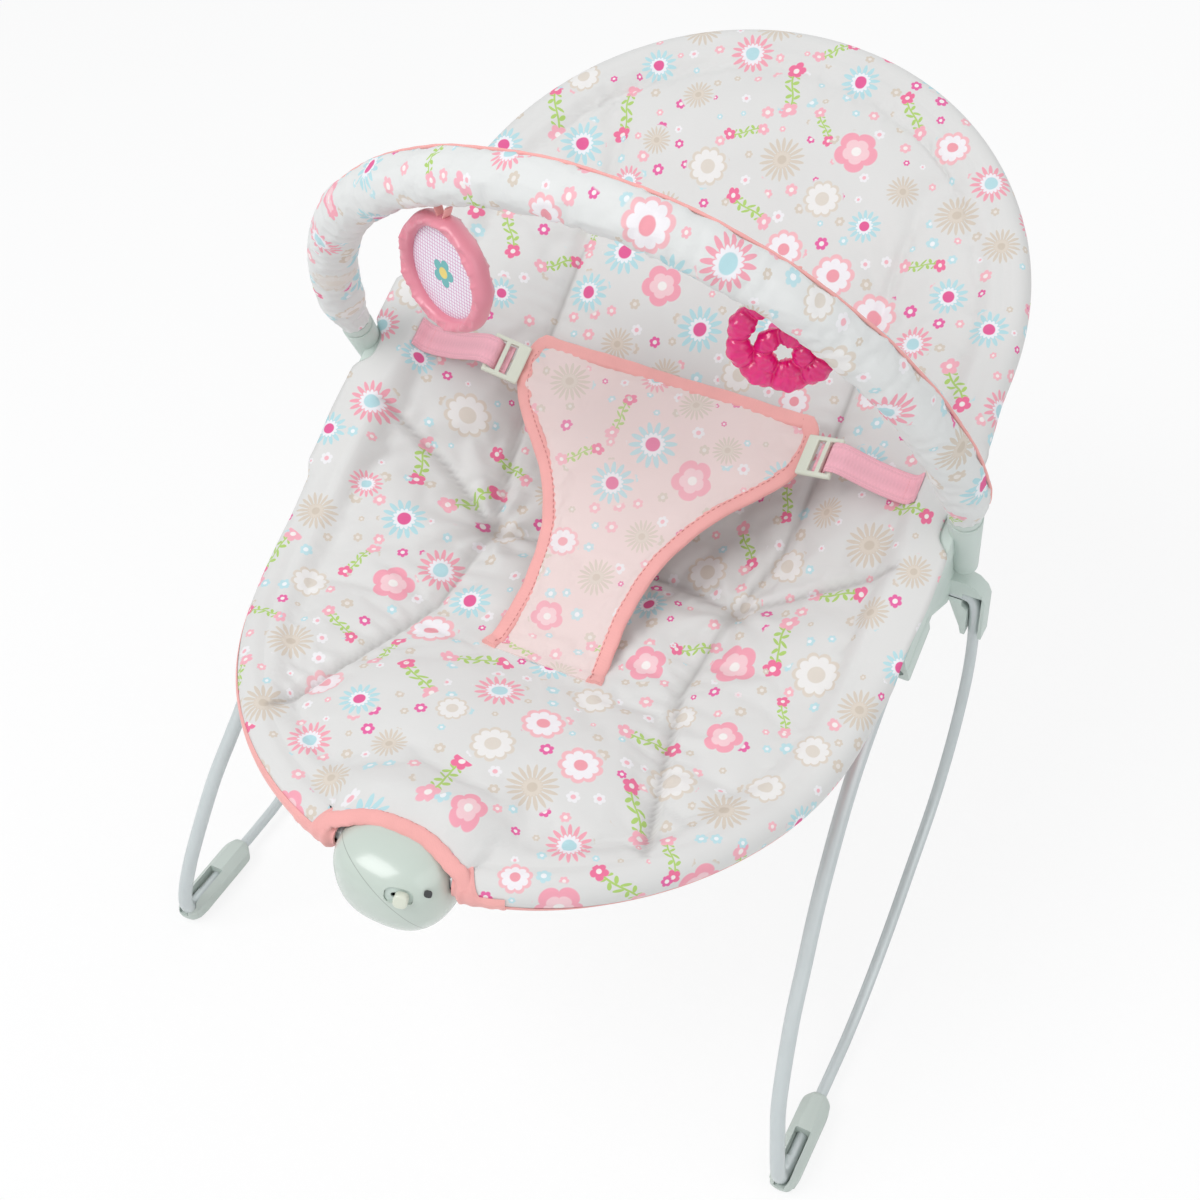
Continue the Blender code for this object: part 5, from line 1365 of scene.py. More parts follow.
    def swell(self, cloth: ClothMesh, top: Sequence[Sequence[int]], spots: Sequence[Sequence[Spot]]) -> None:
        """Let the top cloth fill and wrinkle between its seams.

        Args:
            cloth: The cover so far. Its top points are moved.
            top: Numbers of the top points, row by row.
            spots: x, u and share of each of them.
        """
        sheet = ClothMesh()
        rows = [[sheet.point(cloth.points[n], cloth.places[n]) for n in row] for row in top]
        sheet.grid(rows)
        piece = sheet.build("seat_cover_top")
        grips = [self.held(*spot) for row in spots for spot in row]
        simulated(piece, grips, 4.5, 0.020, 0.0080, 2.5)
        moved = [point.co.copy() for point in piece.data.vertices]
        for numbers, new in zip(top, rows):
            for n, m in zip(numbers, new):
                cloth.points[n] = moved[m]
        bpy.data.objects.remove(piece)

    def relief(self, x: float, u: float, rho: float) -> float:
        """Seams, puckers, soft folds and slack of the top cloth, as a lift."""
        lift, valley = 0.0, 0.0
        nearest = 1.0
        for seam in self.seams:
            reach, along = seam.read(x, u)
            fade = 1.0
            if seam is self.seams[1]:
                fade = 1 - ease((u - 0.40) / 0.08)
            nearest = min(nearest, reach + (1 - fade) * 0.05)
            valley = max(valley, seam.depth * fade * exp(-((reach / seam.width) ** 2)))
            ripple = sin(2 * pi * along / 0.0135 + 2.1 * sin(along * 90 + (1 if x > 0 else 4)))
            lift += seam.puckers * fade * ripple * exp(-(((reach - 0.007) / 0.007) ** 2))
        lift += 0.0034 * (1 - exp(-((nearest / 0.022) ** 2)))
        dx, du = abs(x) - self.corner[0], u - self.corner[1]
        away = hypot(dx, du)
        lift -= max(valley, 0.0125 * exp(-((away / 0.010) ** 2)))
        turn = atan2(du, dx)
        lift += 0.0022 * cos(8 * turn + 0.7 * x / 0.08) * exp(-(((away - 0.022) / 0.015) ** 2))
        flat = 1 - exp(-(((1 - rho) / 0.12) ** 2))
        lift += 0.0011 * flat * noise.noise(Vector((x * 24, u * 24, 3.0)))
        lift += 0.0006 * flat * noise.noise(Vector((x * 70, u * 30, 9.0)))
        return lift * ease((1 - rho) / 0.05)

    def upper(self, x: float, u: float, rho: float) -> Vector:
        """Point of the top cloth."""
        start = self.section(u)[0]
        middle, half = self.level(x, u, rho, self.top_inset)
        inward = (1 - rho) * (SEAT.rim_half - self.top_inset)
        share = ease(inward / 0.019)
        lift = start[1] * (1 - share) + (middle + half) * share
        lift += max(self.relief(x, u, rho), 0.0022 - 2 * half)
        return self.to_arch(SEAT.point(u, x, lift), x, u, inward, 0.0016)

    def lower(self, x: float, u: float, rho: float) -> Vector:
        """Point of the underside cloth."""
        end = self.section(u)[-1]
        middle, half = self.level(x, u, rho, self.under_inset)
        inward = (1 - rho) * (SEAT.rim_half - self.under_inset)
        share = ease(inward / 0.014)
        lift = end[1] * (1 - share) + (middle - half) * share
        return self.to_arch(SEAT.point(u, x, lift), x, u, inward, -0.0016)

    def to_arch(self, place: Vector, x: float, u: float, inward: float, lift: float) -> Vector:
        """Pull the foot end's edge back to the arch over the vibration unit."""
        if u > 0.02 or abs(x) > 0.054:
            return place
        pull = (1 - ease((abs(x) - 0.038) / 0.012)) * (1 - ease(inward / 0.026))
        target = self.arch_at(x) + Vector((0, 0.4 * inward, lift + 0.15 * inward))
        return place.lerp(target, pull)

    def build_cover(self) -> Piece:
        """Make the padded cover as one closed piece, with its painted seam shade as a point attribute."""
        cloth = ClothMesh()
        rows, across = self.rows(), self.spots_across()
        top, under, laid = [], [], []
        for row in rows:
            spots = [self.lay(row, s, self.top_inset) for s in across]
            laid.append(spots)
            top.append([cloth.point(self.upper(x, u, rho), (x, u)) for x, u, rho in spots])
            spots = [self.lay(row, s, self.under_inset) for s in across]
            under.append([cloth.point(self.lower(x, u, rho), (x + 0.5, u)) for x, u, rho in spots])
        self.swell(cloth, top, laid)
        cloth.grid(top)
        cloth.grid(under, flipped=True)
        # Painted shade: how deep each top point lies in a seam's crease, stored below as a point attribute
        # that darkens the print.
        folds = {n: self.fold(x, u) for numbers, spots in zip(top, laid)
                 for n, (x, u, _) in zip(numbers, spots)}
        border = self.border(len(rows), len(across))
        self.add_roll(cloth, [(top[i][j], under[i][j]) for i, j in border],
                      [self.lay(rows[i], across[j], self.top_inset) for i, j in border])
        cover = cloth.build("seat_cover")
        shade = cover.data.attributes.new("fold", "FLOAT", "POINT")
        for n, value in folds.items():
            shade.data[n].value = value
        return cover

    def fold(self, x: float, u: float) -> float:
        """Painted shade at a place on the cover, from 0 to 1: strongest deep in a seam's crease and at the
        corner where the seams meet.
        """
        reach = self.from_seams(x, u, 0.36, 0.10, 0.01)
        corner = hypot(abs(x) - self.corner[0], u - self.corner[1])
        return max(0.75 * exp(-((reach / 0.0017) ** 2)), exp(-((corner / 0.0060) ** 2)))

    def border(self, rows: int, columns: int) -> list[tuple[int, int]]:
        """Grid places round the edge, from the foot end's left, the right side first."""
        front = [(0, j) for j in range(columns)]
        right = [(i, columns - 1) for i in range(1, rows)]
        head = [(rows - 1, j) for j in range(columns - 2, -1, -1)]
        left = [(i, 0) for i in range(rows - 2, 0, -1)]
        return [*front, *right, *head, *left]

    def rim_frame(self, x: float, u: float, nx: float, nu: float, lean: Pair) -> Vector:
        """Point beside the outline, from an (inset, lift) pair there."""
        inset, lift = lean
        step = self.top_inset - inset
        return SEAT.point(u + nu * step, x + nx * step, lift)

    def add_roll(self, cloth: ClothMesh, ends: Sequence[tuple[int, int]],
                 spots: Sequence[Spot]) -> None:
        """Add the cloth's roll round the tube, open at the vibration unit.

        Args:
            cloth: Mesh to add to.
            ends: Top and underside point of each place on the border.
            spots: x, u and share of each of these places.
        """
        count = len(spots)
        rings: list[Optional[list[int]]] = []
        for k, (x, u, _) in enumerate(spots):
            if abs(x) < self.notch and u < 0.0:
                rings.append(None)
                continue
            nx, nu = self.outward(spots, k)
            ring = [ends[k][0]]
            run = 0.0
            leans = self.section(u)
            for before, lean in zip(leans, leans[1:-1]):
                run += dist(before, lean)
                where = self.rim_frame(x, u, nx, nu, lean)
                ring.append(cloth.point(where, (x + nx * run, u + nu * run)))
            ring.append(ends[k][1])
            rings.append(ring)
        for k in range(count):
            n = (k + 1) % count
            a, b = rings[k], rings[n]
            if a and b:
                for m in range(len(a) - 1):
                    last = [cloth.places[p] for p in (a[m], a[m + 1], b[m + 1], b[m])]
                    if m == len(a) - 2:
                        last[1] = (last[0][0] + 0.005, last[0][1])
                        last[2] = (last[3][0] + 0.005, last[3][1])
                    cloth.face(a[m], a[m + 1], b[m + 1], b[m], places=last)
                continue
            flat = cloth.places[ends[k][0]]
            cloth.face(ends[k][0], ends[k][1], ends[n][1], ends[n][0], places=[flat] * 4)
            if a:
                cloth.face(*a, places=[flat] * len(a))
            if b:
                cloth.face(*reversed(b), places=[flat] * len(b))

    def outward(self, spots: Sequence[Spot], k: int) -> Pair:
        """Direction out of the outline on the flat cover at one place of its border."""
        count = len(spots)
        before, after = spots[(k - 2) % count], spots[(k + 2) % count]
        tx, tu = after[0] - before[0], after[1] - before[1]
        size = hypot(tx, tu)
        return tu / size, -tx / size

    def rim_line(self, side: Side, start: float, stop: float, count: int) -> list[RimSpot]:
        """Middle line of the foot-end tube with its outward and up directions.

        Args:
            side: Which side.
            start: Angle round the front arc, 0 at the side and 90 degrees at the toe.
            stop: Last angle.
            count: How many points.

        Returns:
            Point, outward and up direction for each.
        """
        half = SEAT.rim_half - SEAT.tube_inset
        length = SEAT.front_length - SEAT.tube_inset
        line = []
        for a in spread(start, stop, count):
            if a < 0:
                x, u, nx, nu = half, SEAT.front_centre - a * half, 1.0, 0.0
            else:
                x, u = half * cos(a), SEAT.front_centre - length * sin(a)
                nx, nu = length * cos(a), -half * sin(a)
                size = hypot(nx, nu)
                nx, nu = nx / size, nu / size
            slope = SEAT.profile(u)[2]
            tangent = Vector((0, cos(slope), sin(slope)))
            up = Vector((0, -sin(slope), cos(slope)))
            out = Vector((nx, 0, 0)) + tangent * nu
            place = SEAT.point(u, x)
            flip = Vector((side.value, 1, 1))
            line.append((place * flip, out * flip, up * flip))
        return line

    def wrapped_strip(self, name: str, line: Sequence[RimSpot],
                      span: Callable[[float], Pair], size: Callable[[float], float], thickness: float,
                      gathers: float = 0.0) -> Piece:
        """A thin strip of cloth wrapped on the roll.

        Args:
            name: Name of the piece.
            line: Middle line of the roll with its directions.
            span: First and last angle in degrees at a share of the line, 90 on top and 180 outside.
            size: Radius of the strip's inner face at a share of the line.
            thickness: Thickness of the cloth.
            gathers: Height of small gathers across it.

        Returns:
            The strip.
        """
        cloth = ClothMesh()
        outer, inner = [], []
        run = 0.0
        for i, (place, out, up) in enumerate(line):
            if i:
                run += (place - line[i - 1][0]).length
            low, high = span(i / (len(line) - 1))
            radius = size(i / (len(line) - 1))
            rows: tuple[list[int], list[int]] = ([], [])
            for k, degrees in enumerate(spread(low, high, 13)):
                a = radians(degrees)
                way = up * sin(a) - out * cos(a)
                lump = gathers * sin(run * 900 + 1.3 * sin(run * 260)) * sin(pi * k / 12)
                edge = 0.35 + 0.65 * min(1.0, k / 2, (12 - k) / 2)
                for ring, reach in zip(rows, (radius + thickness * edge + lump, radius)):
                    ring.append(cloth.point(place + way * reach, (a * radius, run)))
            outer.append(rows[0])
            inner.append(rows[1])
        cloth.grid(outer)
        cloth.grid(inner, flipped=True)
        cloth.wall(outer, inner)
        return cloth.build(name, 50.0, True)

    def build_rim_binding(self, side: Side) -> Piece:
        """Binding along the foot end's rim, rolled up into view on the left."""
        half = SEAT.rim_half - SEAT.tube_inset
        stop = acos(0.047 / half)
        line = self.rim_line(side, -0.020 / half, stop, 90)

        def left(share: float) -> Pair:
            """Span of the left binding."""
            return 178.0 - 24.0 * ease((share - 0.10) / 0.8), 248.0

        def right(share: float) -> Pair:
            """Span of the right binding."""
            return 222.0 - 26.0 * ease((share - 0.72) / 0.28), 292.0

        span = left if side is Side.LEFT else right
        return self.wrapped_strip(f"rim_binding_{side.word}", line, span,
                                  lambda share: self.roll + 0.0001, 0.0009)

    def build_gusset(self, side: Side) -> Piece:
        """Gathered cloth between the rim and the arch, beside the vibration unit."""
        half = SEAT.rim_half - SEAT.tube_inset
        line = self.rim_line(side, acos(0.062 / half), acos(0.0352 / half), 34)

        def span(share: float) -> Pair:
            """Span of the gusset."""
            return (166.0 - 112.0 * ease((share - 0.44) / 0.32),
                    280.0 + 50.0 * ease((share - 0.50) / 0.40))

        def size(share: float) -> float:
            """Radius of the gusset's inner face."""
            return self.roll + 0.0003 - 0.0036 * ease((share - 0.84) / 0.14)

        return self.wrapped_strip(f"arch_gusset_{side.word}", line, span, size, 0.0012, 0.00025)

    def arch_line(self) -> list[Vector]:
        """Middle line of the arch binding, from the right foot to the left."""
        right = [self.arch_at(x) for x in (0.0440, 0.0410, 0.0375, 0.0325, 0.0250, 0.0140, 0.0)]
        right[0] += Vector((0.0012, -0.0034, -0.0066))
        return smooth_path([*right, *mirrored(reversed(right[:-1]), Side.LEFT)], 0.0022)

    def build_arch(self) -> Piece:
        """Folded binding over the vibration unit."""
        return section_run("pad_arch_binding_cloth", self.arch_line(), Vector((0, -0.55, 0.84)),
                           flat_oval(0.0046, 0.0022, 0.8, 0.8, 0.05, 1.7), 20)

    def build_arch_stitches(self) -> Piece:
        """Row of stitches along the arch binding."""
        path = [p + Vector((0, 0.0032, 0.0030)) for p in self.arch_line()[3:-3]]
        return stitch_row("arch_stitches", path, Vector((0, -0.3, 0.95)), 0.0030, 0.0020, 0.00028)


def stitch_row(name: str, path: Path, up: Vector, pitch: float, length: float, radius: float) -> Piece:
    """Stitches along a path, each one a small flattened bead of thread.

    Args:
        name: Name of the piece.
        path: Line that they follow.
        up: Up direction of the cloth there.
        pitch: Distance from stitch to stitch.
        length: Length of one.
        radius: Radius of the thread.

    Returns:
        All of them as one piece.
    """
    cloth = ClothMesh()
    runs = runs_of(path)
    place, i = pitch / 2, 0
    while place < runs[-1] - pitch / 2:
        while runs[i + 1] < place:
            i += 1
        share = (place - runs[i]) / (runs[i + 1] - runs[i])
        middle = path[i].lerp(path[i + 1], share)
        along = (path[i + 1] - path[i]).normalized()
        top = (up - along * up.dot(along)).normalized()
        across = along.cross(top)
        rings = []
        for t, size in ((-0.5, 0.35), (-0.3, 1.0), (0.3, 1.0), (0.5, 0.35)):
            ring = []
            for k in range(6):
                a = 2 * pi * k / 6
                reach = across * cos(a) * radius * size + top * sin(a) * radius * size
                ring.append(cloth.point(middle + along * (t * length) + reach,
                                        (a * radius, place + t * length)))
            rings.append(ring)
        for low, high in zip(rings, rings[1:]):
            for k in range(6):
                n = (k + 1) % 6
                cloth.face(low[k], low[n], high[n], high[k])
        cloth.face(*reversed(rings[0]))
        cloth.face(*rings[-1])
        place += pitch
    return cloth.build(name, closed=True)


# Crotch pad, straps and buckles


@dataclass
class CrotchPad:
    """Hourglass pad between the legs, with its folded binding and stitches."""

    finishes: Finishes
    cover: SeatCover
    thickness: float = 0.0052
    length: float = 0.215
    bottom_u: float = 0.098
    top_y: float = 0.284
    top_z: float = 0.3615
    rows: int = 90
    columns: int = 61
    outline: tuple = (
        (0.00, 0.0400), (0.08, 0.0375), (0.25, 0.0350), (0.36, 0.0375), (0.45, 0.0420), (0.55, 0.0520),
        (0.62, 0.0620), (0.70, 0.0770), (0.78, 0.0920), (0.84, 0.0985), (0.90, 0.1010), (0.955, 0.1000),
        (0.985, 0.0965), (1.00, 0.0900),
    )
    facing: Vector = field(default_factory=lambda: Vector((0, -0.35, 0.94)))
    path: list[Vector] = field(default_factory=list)
    grips: list[float] = field(default_factory=list)

    def build(self) -> None:
        """Make the pad, its binding and its stitches."""
        self.path = self.middle_line()
        pad = self.build_pad()
        simulated(pad, self.grips, 3.0, 0.030, 0.0018, 0.2)
        smooth(pad, 70.0)
        self.finishes.dress(pad, "pink printed cotton", "seat", ("crotch_pad",))
        self.finishes.dress(self.build_binding(), "salmon binding", "seat")
        self.finishes.dress(self.build_stitches(), "sewing thread", "seat")

    def middle_line(self) -> list[Vector]:
        """Middle line of the pad's underside."""
        lift = 0.0020
        middle, half = self.cover.level(0.0, self.bottom_u, 0.0, 0.0164)
        low = SEAT.point(self.bottom_u, 0.0, middle + half + lift)
        middle, half = self.cover.level(0.0, self.bottom_u + 0.016, 0.0, 0.0164)
        next_low = SEAT.point(self.bottom_u + 0.016, 0.0, middle + half + lift + 0.0015)
        top = floor_point(0, self.top_y, self.top_z)
        rises = ((0.35, -0.004), (0.70, -0.002))
        bridge = [next_low.lerp(top, share) + Vector((0, 0, rise)) for share, rise in rises]
        return smooth_path([low, next_low, *bridge, top], 0.003)

    def half_width(self, share: float) -> float:
        """Half width at a share of the length, smoothed."""
        reads = [read_table(self.outline, share + d) for d in (-0.02, -0.01, 0.0, 0.01, 0.02)]
        return sum(reads) / 5

    def point(self, share: float, x: float, lift: float) -> Vector:
        """Point of the pad at a share of its length."""
        place = share * (len(self.path) - 1)
        i = min(int(place), len(self.path) - 2)
        along = (self.path[i + 1] - self.path[i]).normalized()
        up = Vector((1, 0, 0)).cross(along)
        return self.path[i].lerp(self.path[i + 1], place - i) + up * lift + Vector((x, 0, 0))

    def slack(self, share: float, x: float) -> float:
        """Soft folds of the pad: a dip across the wings and gathers by the buckles."""
        gather = exp(-(((abs(x) - 0.088) / 0.016) ** 2)) * ease((share - 0.70) / 0.15)
        folds = 0.0009 * gather * sin(share * 95 + x * 30)
        drift = 0.0012 * noise.noise(Vector((x * 30, share * 5, 1.5)))
        dip = -0.0016 * exp(-(((share - 0.60) / 0.20) ** 2)) * (1 - min(1.0, abs(x) / 0.06) ** 2)
        return folds + drift + dip

    def build_pad(self) -> Piece:
        """Make the padded body."""
        cloth = ClothMesh()
        top, under = [], []
        for share in spread(0.0, 1.0, self.rows):
            half = self.half_width(share) - 0.0012
            upper, lower = [], []
            end = min(1.0, min(share, 1 - share) / 0.05 + 0.25)
            for t in spread(-1.0, 1.0, self.columns):
                x = half * t
                body = self.thickness * (0.35 + 0.65 * (1 - abs(t) ** 6)) * end
                mid = self.thickness * 0.45
                bend = self.slack(share, x)
                for row, way, shift in ((upper, 1, 0.0), (lower, -1, 0.3)):
                    where = self.point(share, x, mid + way * (body / 2) + bend)
                    row.append(cloth.point(where, (x + shift, share * self.length)))
                edge = max(ease((half * abs(t) - half + 0.010) / 0.004),
                           ease((0.06 - min(share, 1 - share)) / 0.03))
                self.grips.extend((edge, edge))
            top.append(upper)
            under.append(lower)
        cloth.grid(top)
        cloth.grid(under, flipped=True)
        cloth.wall(top, under)
        return cloth.build("crotch_pad_cloth", 70.0, True)

    def edge_line(self, inward: float, lift: float) -> list[Vector]:
        """Line along the sides and top edge, from the bottom right round to the bottom left.

        Args:
            inward: How far inside the edge.
            lift: Height over the middle line.

        Returns:
            Points of the line.
        """
        right = []
        for share in spread(0.0, 0.985, 80):
            x = self.half_width(share) - inward
            right.append(self.point(share, x, lift + self.slack(share, x)))
        start = self.half_width(0.985) - inward - 0.004
        top = []
        for x in spread(start, 0.0, 30):
            share = 1.0 - inward / self.length
            top.append(self.point(share, x, lift + self.slack(share, x)))
        half = [*right, *top]
        return smooth_path([*half, *mirrored(reversed(half[:-1]), Side.LEFT)], 0.0025)

    def build_binding(self) -> Piece:
        """Folded binding round the sides and top edge."""
        return section_run("crotch_pad_binding", self.edge_line(0.0040, self.thickness * 0.45),
                           self.facing, flat_oval(0.0050, 0.0026, 0.7, 0.75, 0.03, 0.9), 20)

    def build_stitches(self) -> Piece:
        """Dashed seam along the binding's inner edge."""
        path = self.edge_line(0.0068, self.thickness * 0.45 + 0.0024)
        return stitch_row("crotch_pad_stitches", path, self.facing, 0.0038, 0.0024, 0.00034)


@dataclass
class WaistStraps:
    """Webbing from the pad's sides to the buckles on the crotch pad."""

    finishes: Finishes
    pad: CrotchPad
    inner_x: float = 0.0975
    outer_x: float = 0.1225
    bar: float = 0.0030
    end: float = 0.0080
    thick: float = 0.0034
    width: float = 0.0200
    web: float = 0.0016
    tilt: float = radians(20.0)

    def build(self) -> None:
        """Make both straps and buckles."""
        for side in Side:
            strap = self.build_strap(side)
            self.finishes.dress(strap, "pink webbing", "seat", (f"waist_strap_{side.word}",))
            self.finishes.dress(self.build_box_stitch(side), "webbing thread", "seat")
            self.finishes.mould(f"waist_buckle_{side.word}", "ivory plastic", "seat", 0.0006, 25.0, 3)

    def frame_of(self, side: Side) -> Matrix:
        """Place and turn of a buckle."""
        corner = self.pad.point(0.87, side.value * self.inner_x, 0.005)
        ahead = self.pad.point(0.95, side.value * self.inner_x, 0.005)
        slope = atan2(ahead.z - corner.z, ahead.y - corner.y)
        turn = Matrix.Rotation(slope, 4, "X") @ Matrix.Rotation(-side.value * self.tilt, 4, "Y")
        half = (self.outer_x - self.inner_x) / 2
        shift = turn @ Vector((side.value * half, 0, self.thick / 2 + 0.0003))
        return Matrix.Translation(corner + shift) @ turn

    def path_of(self, side: Side) -> tuple[list[Vector], Vector]:
        """Middle line of a strap and its direction across."""
        half = (self.outer_x - self.inner_x) / 2
        low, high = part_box(f"waist_buckle_{side.word}")
        place = self.frame_of(side)
        place.translation += (Vector(low) + Vector(high)) / 2 - place.translation
        slot = (2 * half - self.end - 2 * self.bar) / 2
        bar_low = half - self.bar
        centre_high = bar_low - slot
        over = self.thick / 2 + self.web / 2 + 0.0003
        inside = [
            (centre_high - self.bar - slot * 0.7, -over + 0.0008), (centre_high - self.bar, -over),
            (centre_high + 0.0008, -over), (bar_low - 0.0008, over), (half, over),
            (half + 0.0050, over - 0.0016),
        ]
        points = [place @ Vector((side.value * x, 0, z)) for x, z in inside]
        u = SEAT.at_y(points[-1].y - Y_SHIFT + 0.004)
        for x, lift in ((0.1498, 0.0042), (0.1658, 0.0026), (0.1725, 0.0024)):
            rho = x / (SEAT.rim_half - 0.0164)
            under = self.pad.cover.upper(side.value * x, u, rho)
            points.append(under + Vector((0, 0, lift)))
        points[-3] = points[-3].lerp((points[-4] + points[-2]) / 2, 0.75)
        across = (place.to_3x3() @ Vector((0, 1, 0))).normalized()
        return smooth_path(points, 0.0016), across

    def build_strap(self, side: Side) -> Piece:
        """One strap, with soft edges and a slight wave."""
        path, across = self.path_of(side)
        ups = []
        for i in range(len(path)):
            along = heading(path, i)
            up = across.cross(along) if side is Side.LEFT else along.cross(across)
            ups.append(-up if up.z < 0 else up)
        return section_run(f"waist_strap_{side.word}_webbing", path, ups,
                           flat_oval(self.width / 2, self.web / 2, 0.35, 0.75), 36)

    def build_box_stitch(self, side: Side) -> Piece:
        """Two stitched lines at the strap's sewn end."""
        path, across = self.path_of(side)
        rows = []
        for n, back in enumerate((6, 9)):
            middle = path[-back] + Vector((0, 0, 0.0009))
            line = [middle + across * t for t in spread(-0.0085, 0.0085, 9)]
            rows.append(stitch_row(f"strap_stitches_{side.word}_{n}", line, Vector((0, 0, 1)),
                                   0.0019, 0.0013, 0.00025))
        return join_pieces(f"waist_strap_{side.word}_stitches", rows)


# Toy bar and its toys


@dataclass
class ToyBar:
    """Leaning arch with its padded sleeve, piping and plugs."""

    finishes: Finishes
    lean: float = radians(28.0)
    foot: tuple = (0.2065, 0.250, 0.335)
    arch_radius: float = 0.209
    arch_rise: float = 0.243
    leg_height: float = 0.027
    cup_top: float = 0.035
    flange: float = 0.006
    radius: float = 0.0150
    end_radius: float = 0.0104
    rings: int = 300
    around: int = 56
    seam_low: float = 0.26
    seam_rise: float = 0.62

    def build(self) -> None:
        """Make the sleeve, the piping and the plugs."""
        path = self.middle_line()
        sleeve = self.build_sleeve(path)
        simulated(sleeve, self.grips(path, len(sleeve.data.vertices)), 2.0, 0.025, 0.0010, 0.2)
        smooth(sleeve, 60.0)
        self.finishes.dress(sleeve, "bar cotton", "toy_bar", ("toy_bar_sleeve",))
        self.finishes.dress(self.build_piping(path), "salmon binding", "toy_bar")
        self.finishes.repaint("white plastic", "toy_bar_core")
        for side in Side:
            self.finishes.mould(f"toy_bar_plug_{side.word}", "sage plastic", "toy_bar", 0.0005)

    def on_plane(self, height: float, x: float) -> Vector:
        """Point on the bar's leaning plane."""
        return floor_point(x, self.foot[1] - height * sin(self.lean),
                           self.foot[2] + height * cos(self.lean))

    def arch_point(self, angle: float) -> Vector:
        """Point of the bar's middle line, by the angle round its arch."""
        return self.on_plane(self.leg_height + self.arch_rise * sin(angle), self.arch_radius * cos(angle))

    def middle_line(self) -> list[Vector]:
        """Middle line from the right foot over the top to the left foot, evenly spaced."""
        start = self.cup_top + self.flange + 0.0009
        leg = [self.on_plane(start, self.foot[0]), self.on_plane(start + 0.006, self.foot[0])]
        first = asin((start + 0.018 - self.leg_height) / self.arch_rise)
        arch = [self.arch_point(a) for a in spread(first, pi - first, 21)]
        rough = smooth_path([*leg, *arch, *mirrored(reversed(leg), Side.LEFT)], 0.001)
        runs = runs_of(rough)
        path, i = [], 0
        for place in spread(0.0, runs[-1], self.rings):
            while i < len(runs) - 2 and runs[i + 1] < place:
                i += 1
            share = (place - runs[i]) / max(1e-9, runs[i + 1] - runs[i])
            path.append(rough[i].lerp(rough[i + 1], min(1.0, share)))
        return path

    def outward_at(self, path: Path, i: int) -> Vector:
        """Outward direction of the bar at one point of its line."""
        return self.rear.cross(heading(path, i)).normalized()

    @property
    def rear(self) -> Vector:
        """Direction square to the bar's leaning plane, to the rear."""
        return Vector((0, cos(self.lean), sin(self.lean)))

    def seam_angle(self, share: float) -> float:
        """Angle of the rear seam round the bar, at a share of its length."""
        return self.seam_low + self.seam_rise * sin(pi * share)

    def girth(self, run: float, length: float, angle: float) -> float:
        """Outside radius of the sleeve.

        Args:
            run: Distance along the bar.
            length: Whole length of the bar.
            angle: Angle round it, 0 outwards and 90 degrees to the rear.

        Returns:
            Radius there, with gathers at the ends and on the inner side.
        """
        end = min(run, length - run)
        body = self.end_radius + (self.radius - self.end_radius) * ease(end / 0.030)
        inner = ease((-cos(angle) - 0.1) / 0.9)
        wave = sin(run * 420 + 1.9 * sin(run * 131) + 0.5 * sin(angle * 2))
        gathers = 0.0010 * inner * wave * ease(end / 0.02)
        tuck = 0.0003 * (1 - ease(end / 0.030)) * sin(angle * 13)
        soft = 0.0007 * noise.noise(Vector((run * 30, cos(angle) * 1.5, sin(angle) * 1.5)))
        seam = -0.0011 * exp(-(((angle - self.seam_angle(run / length)) / 0.13) ** 2))
        return body - 0.0004 + gathers + tuck + soft + seam

    def build_sleeve(self, path: Path) -> Piece:
        """Make the padded sleeve."""
        length = runs_of(path)[-1]
        step = length / (len(path) - 1)
        ups = [self.outward_at(path, i) for i in range(len(path))]

        def section(i: int, a: float) -> Pair:
            """Point of the sleeve's section."""
            sign = 1.0 if heading(path, i).cross(ups[i]).dot(self.rear) > 0 else -1.0
            reach = self.girth(i * step, length, atan2(sign * cos(a), sin(a)))
            return reach * cos(a), reach * sin(a)

        return section_run("toy_bar_padded_sleeve", path, ups, section, self.around)

    def grips(self, path: Path, count: int) -> list[float]:
        """How firmly the ends and the piping hold each point of the sleeve."""
        held = []
        for i in range(len(path)):
            end = min(i, len(path) - 1 - i) * 0.0022
            held.extend([1 - 0.85 * ease(end / 0.025)] * self.around)
        return [*held, *([1.0] * max(0, count - len(held)))][:count]

    def build_piping(self, path: Path) -> Piece:
        """Piping sewn in along the outer rear seam."""
        length = runs_of(path)[-1]
        step = length / (len(path) - 1)
        line = []
        for i in range(6, len(path) - 6):
            angle = self.seam_angle(i / (len(path) - 1))
            reach = self.girth(i * step, length, angle) + 0.0008
            out = self.outward_at(path, i)
            line.append(path[i] + out * cos(angle) * reach + self.rear * sin(angle) * reach)

        def section(i: int, a: float) -> Pair:
            """Point of the piping's section."""
            size = 0.0010 * (1 + 0.08 * sin(i * 1.1))
            return size * cos(a), size * sin(a)

        return section_run("toy_bar_piping", line, self.rear, section, 10)


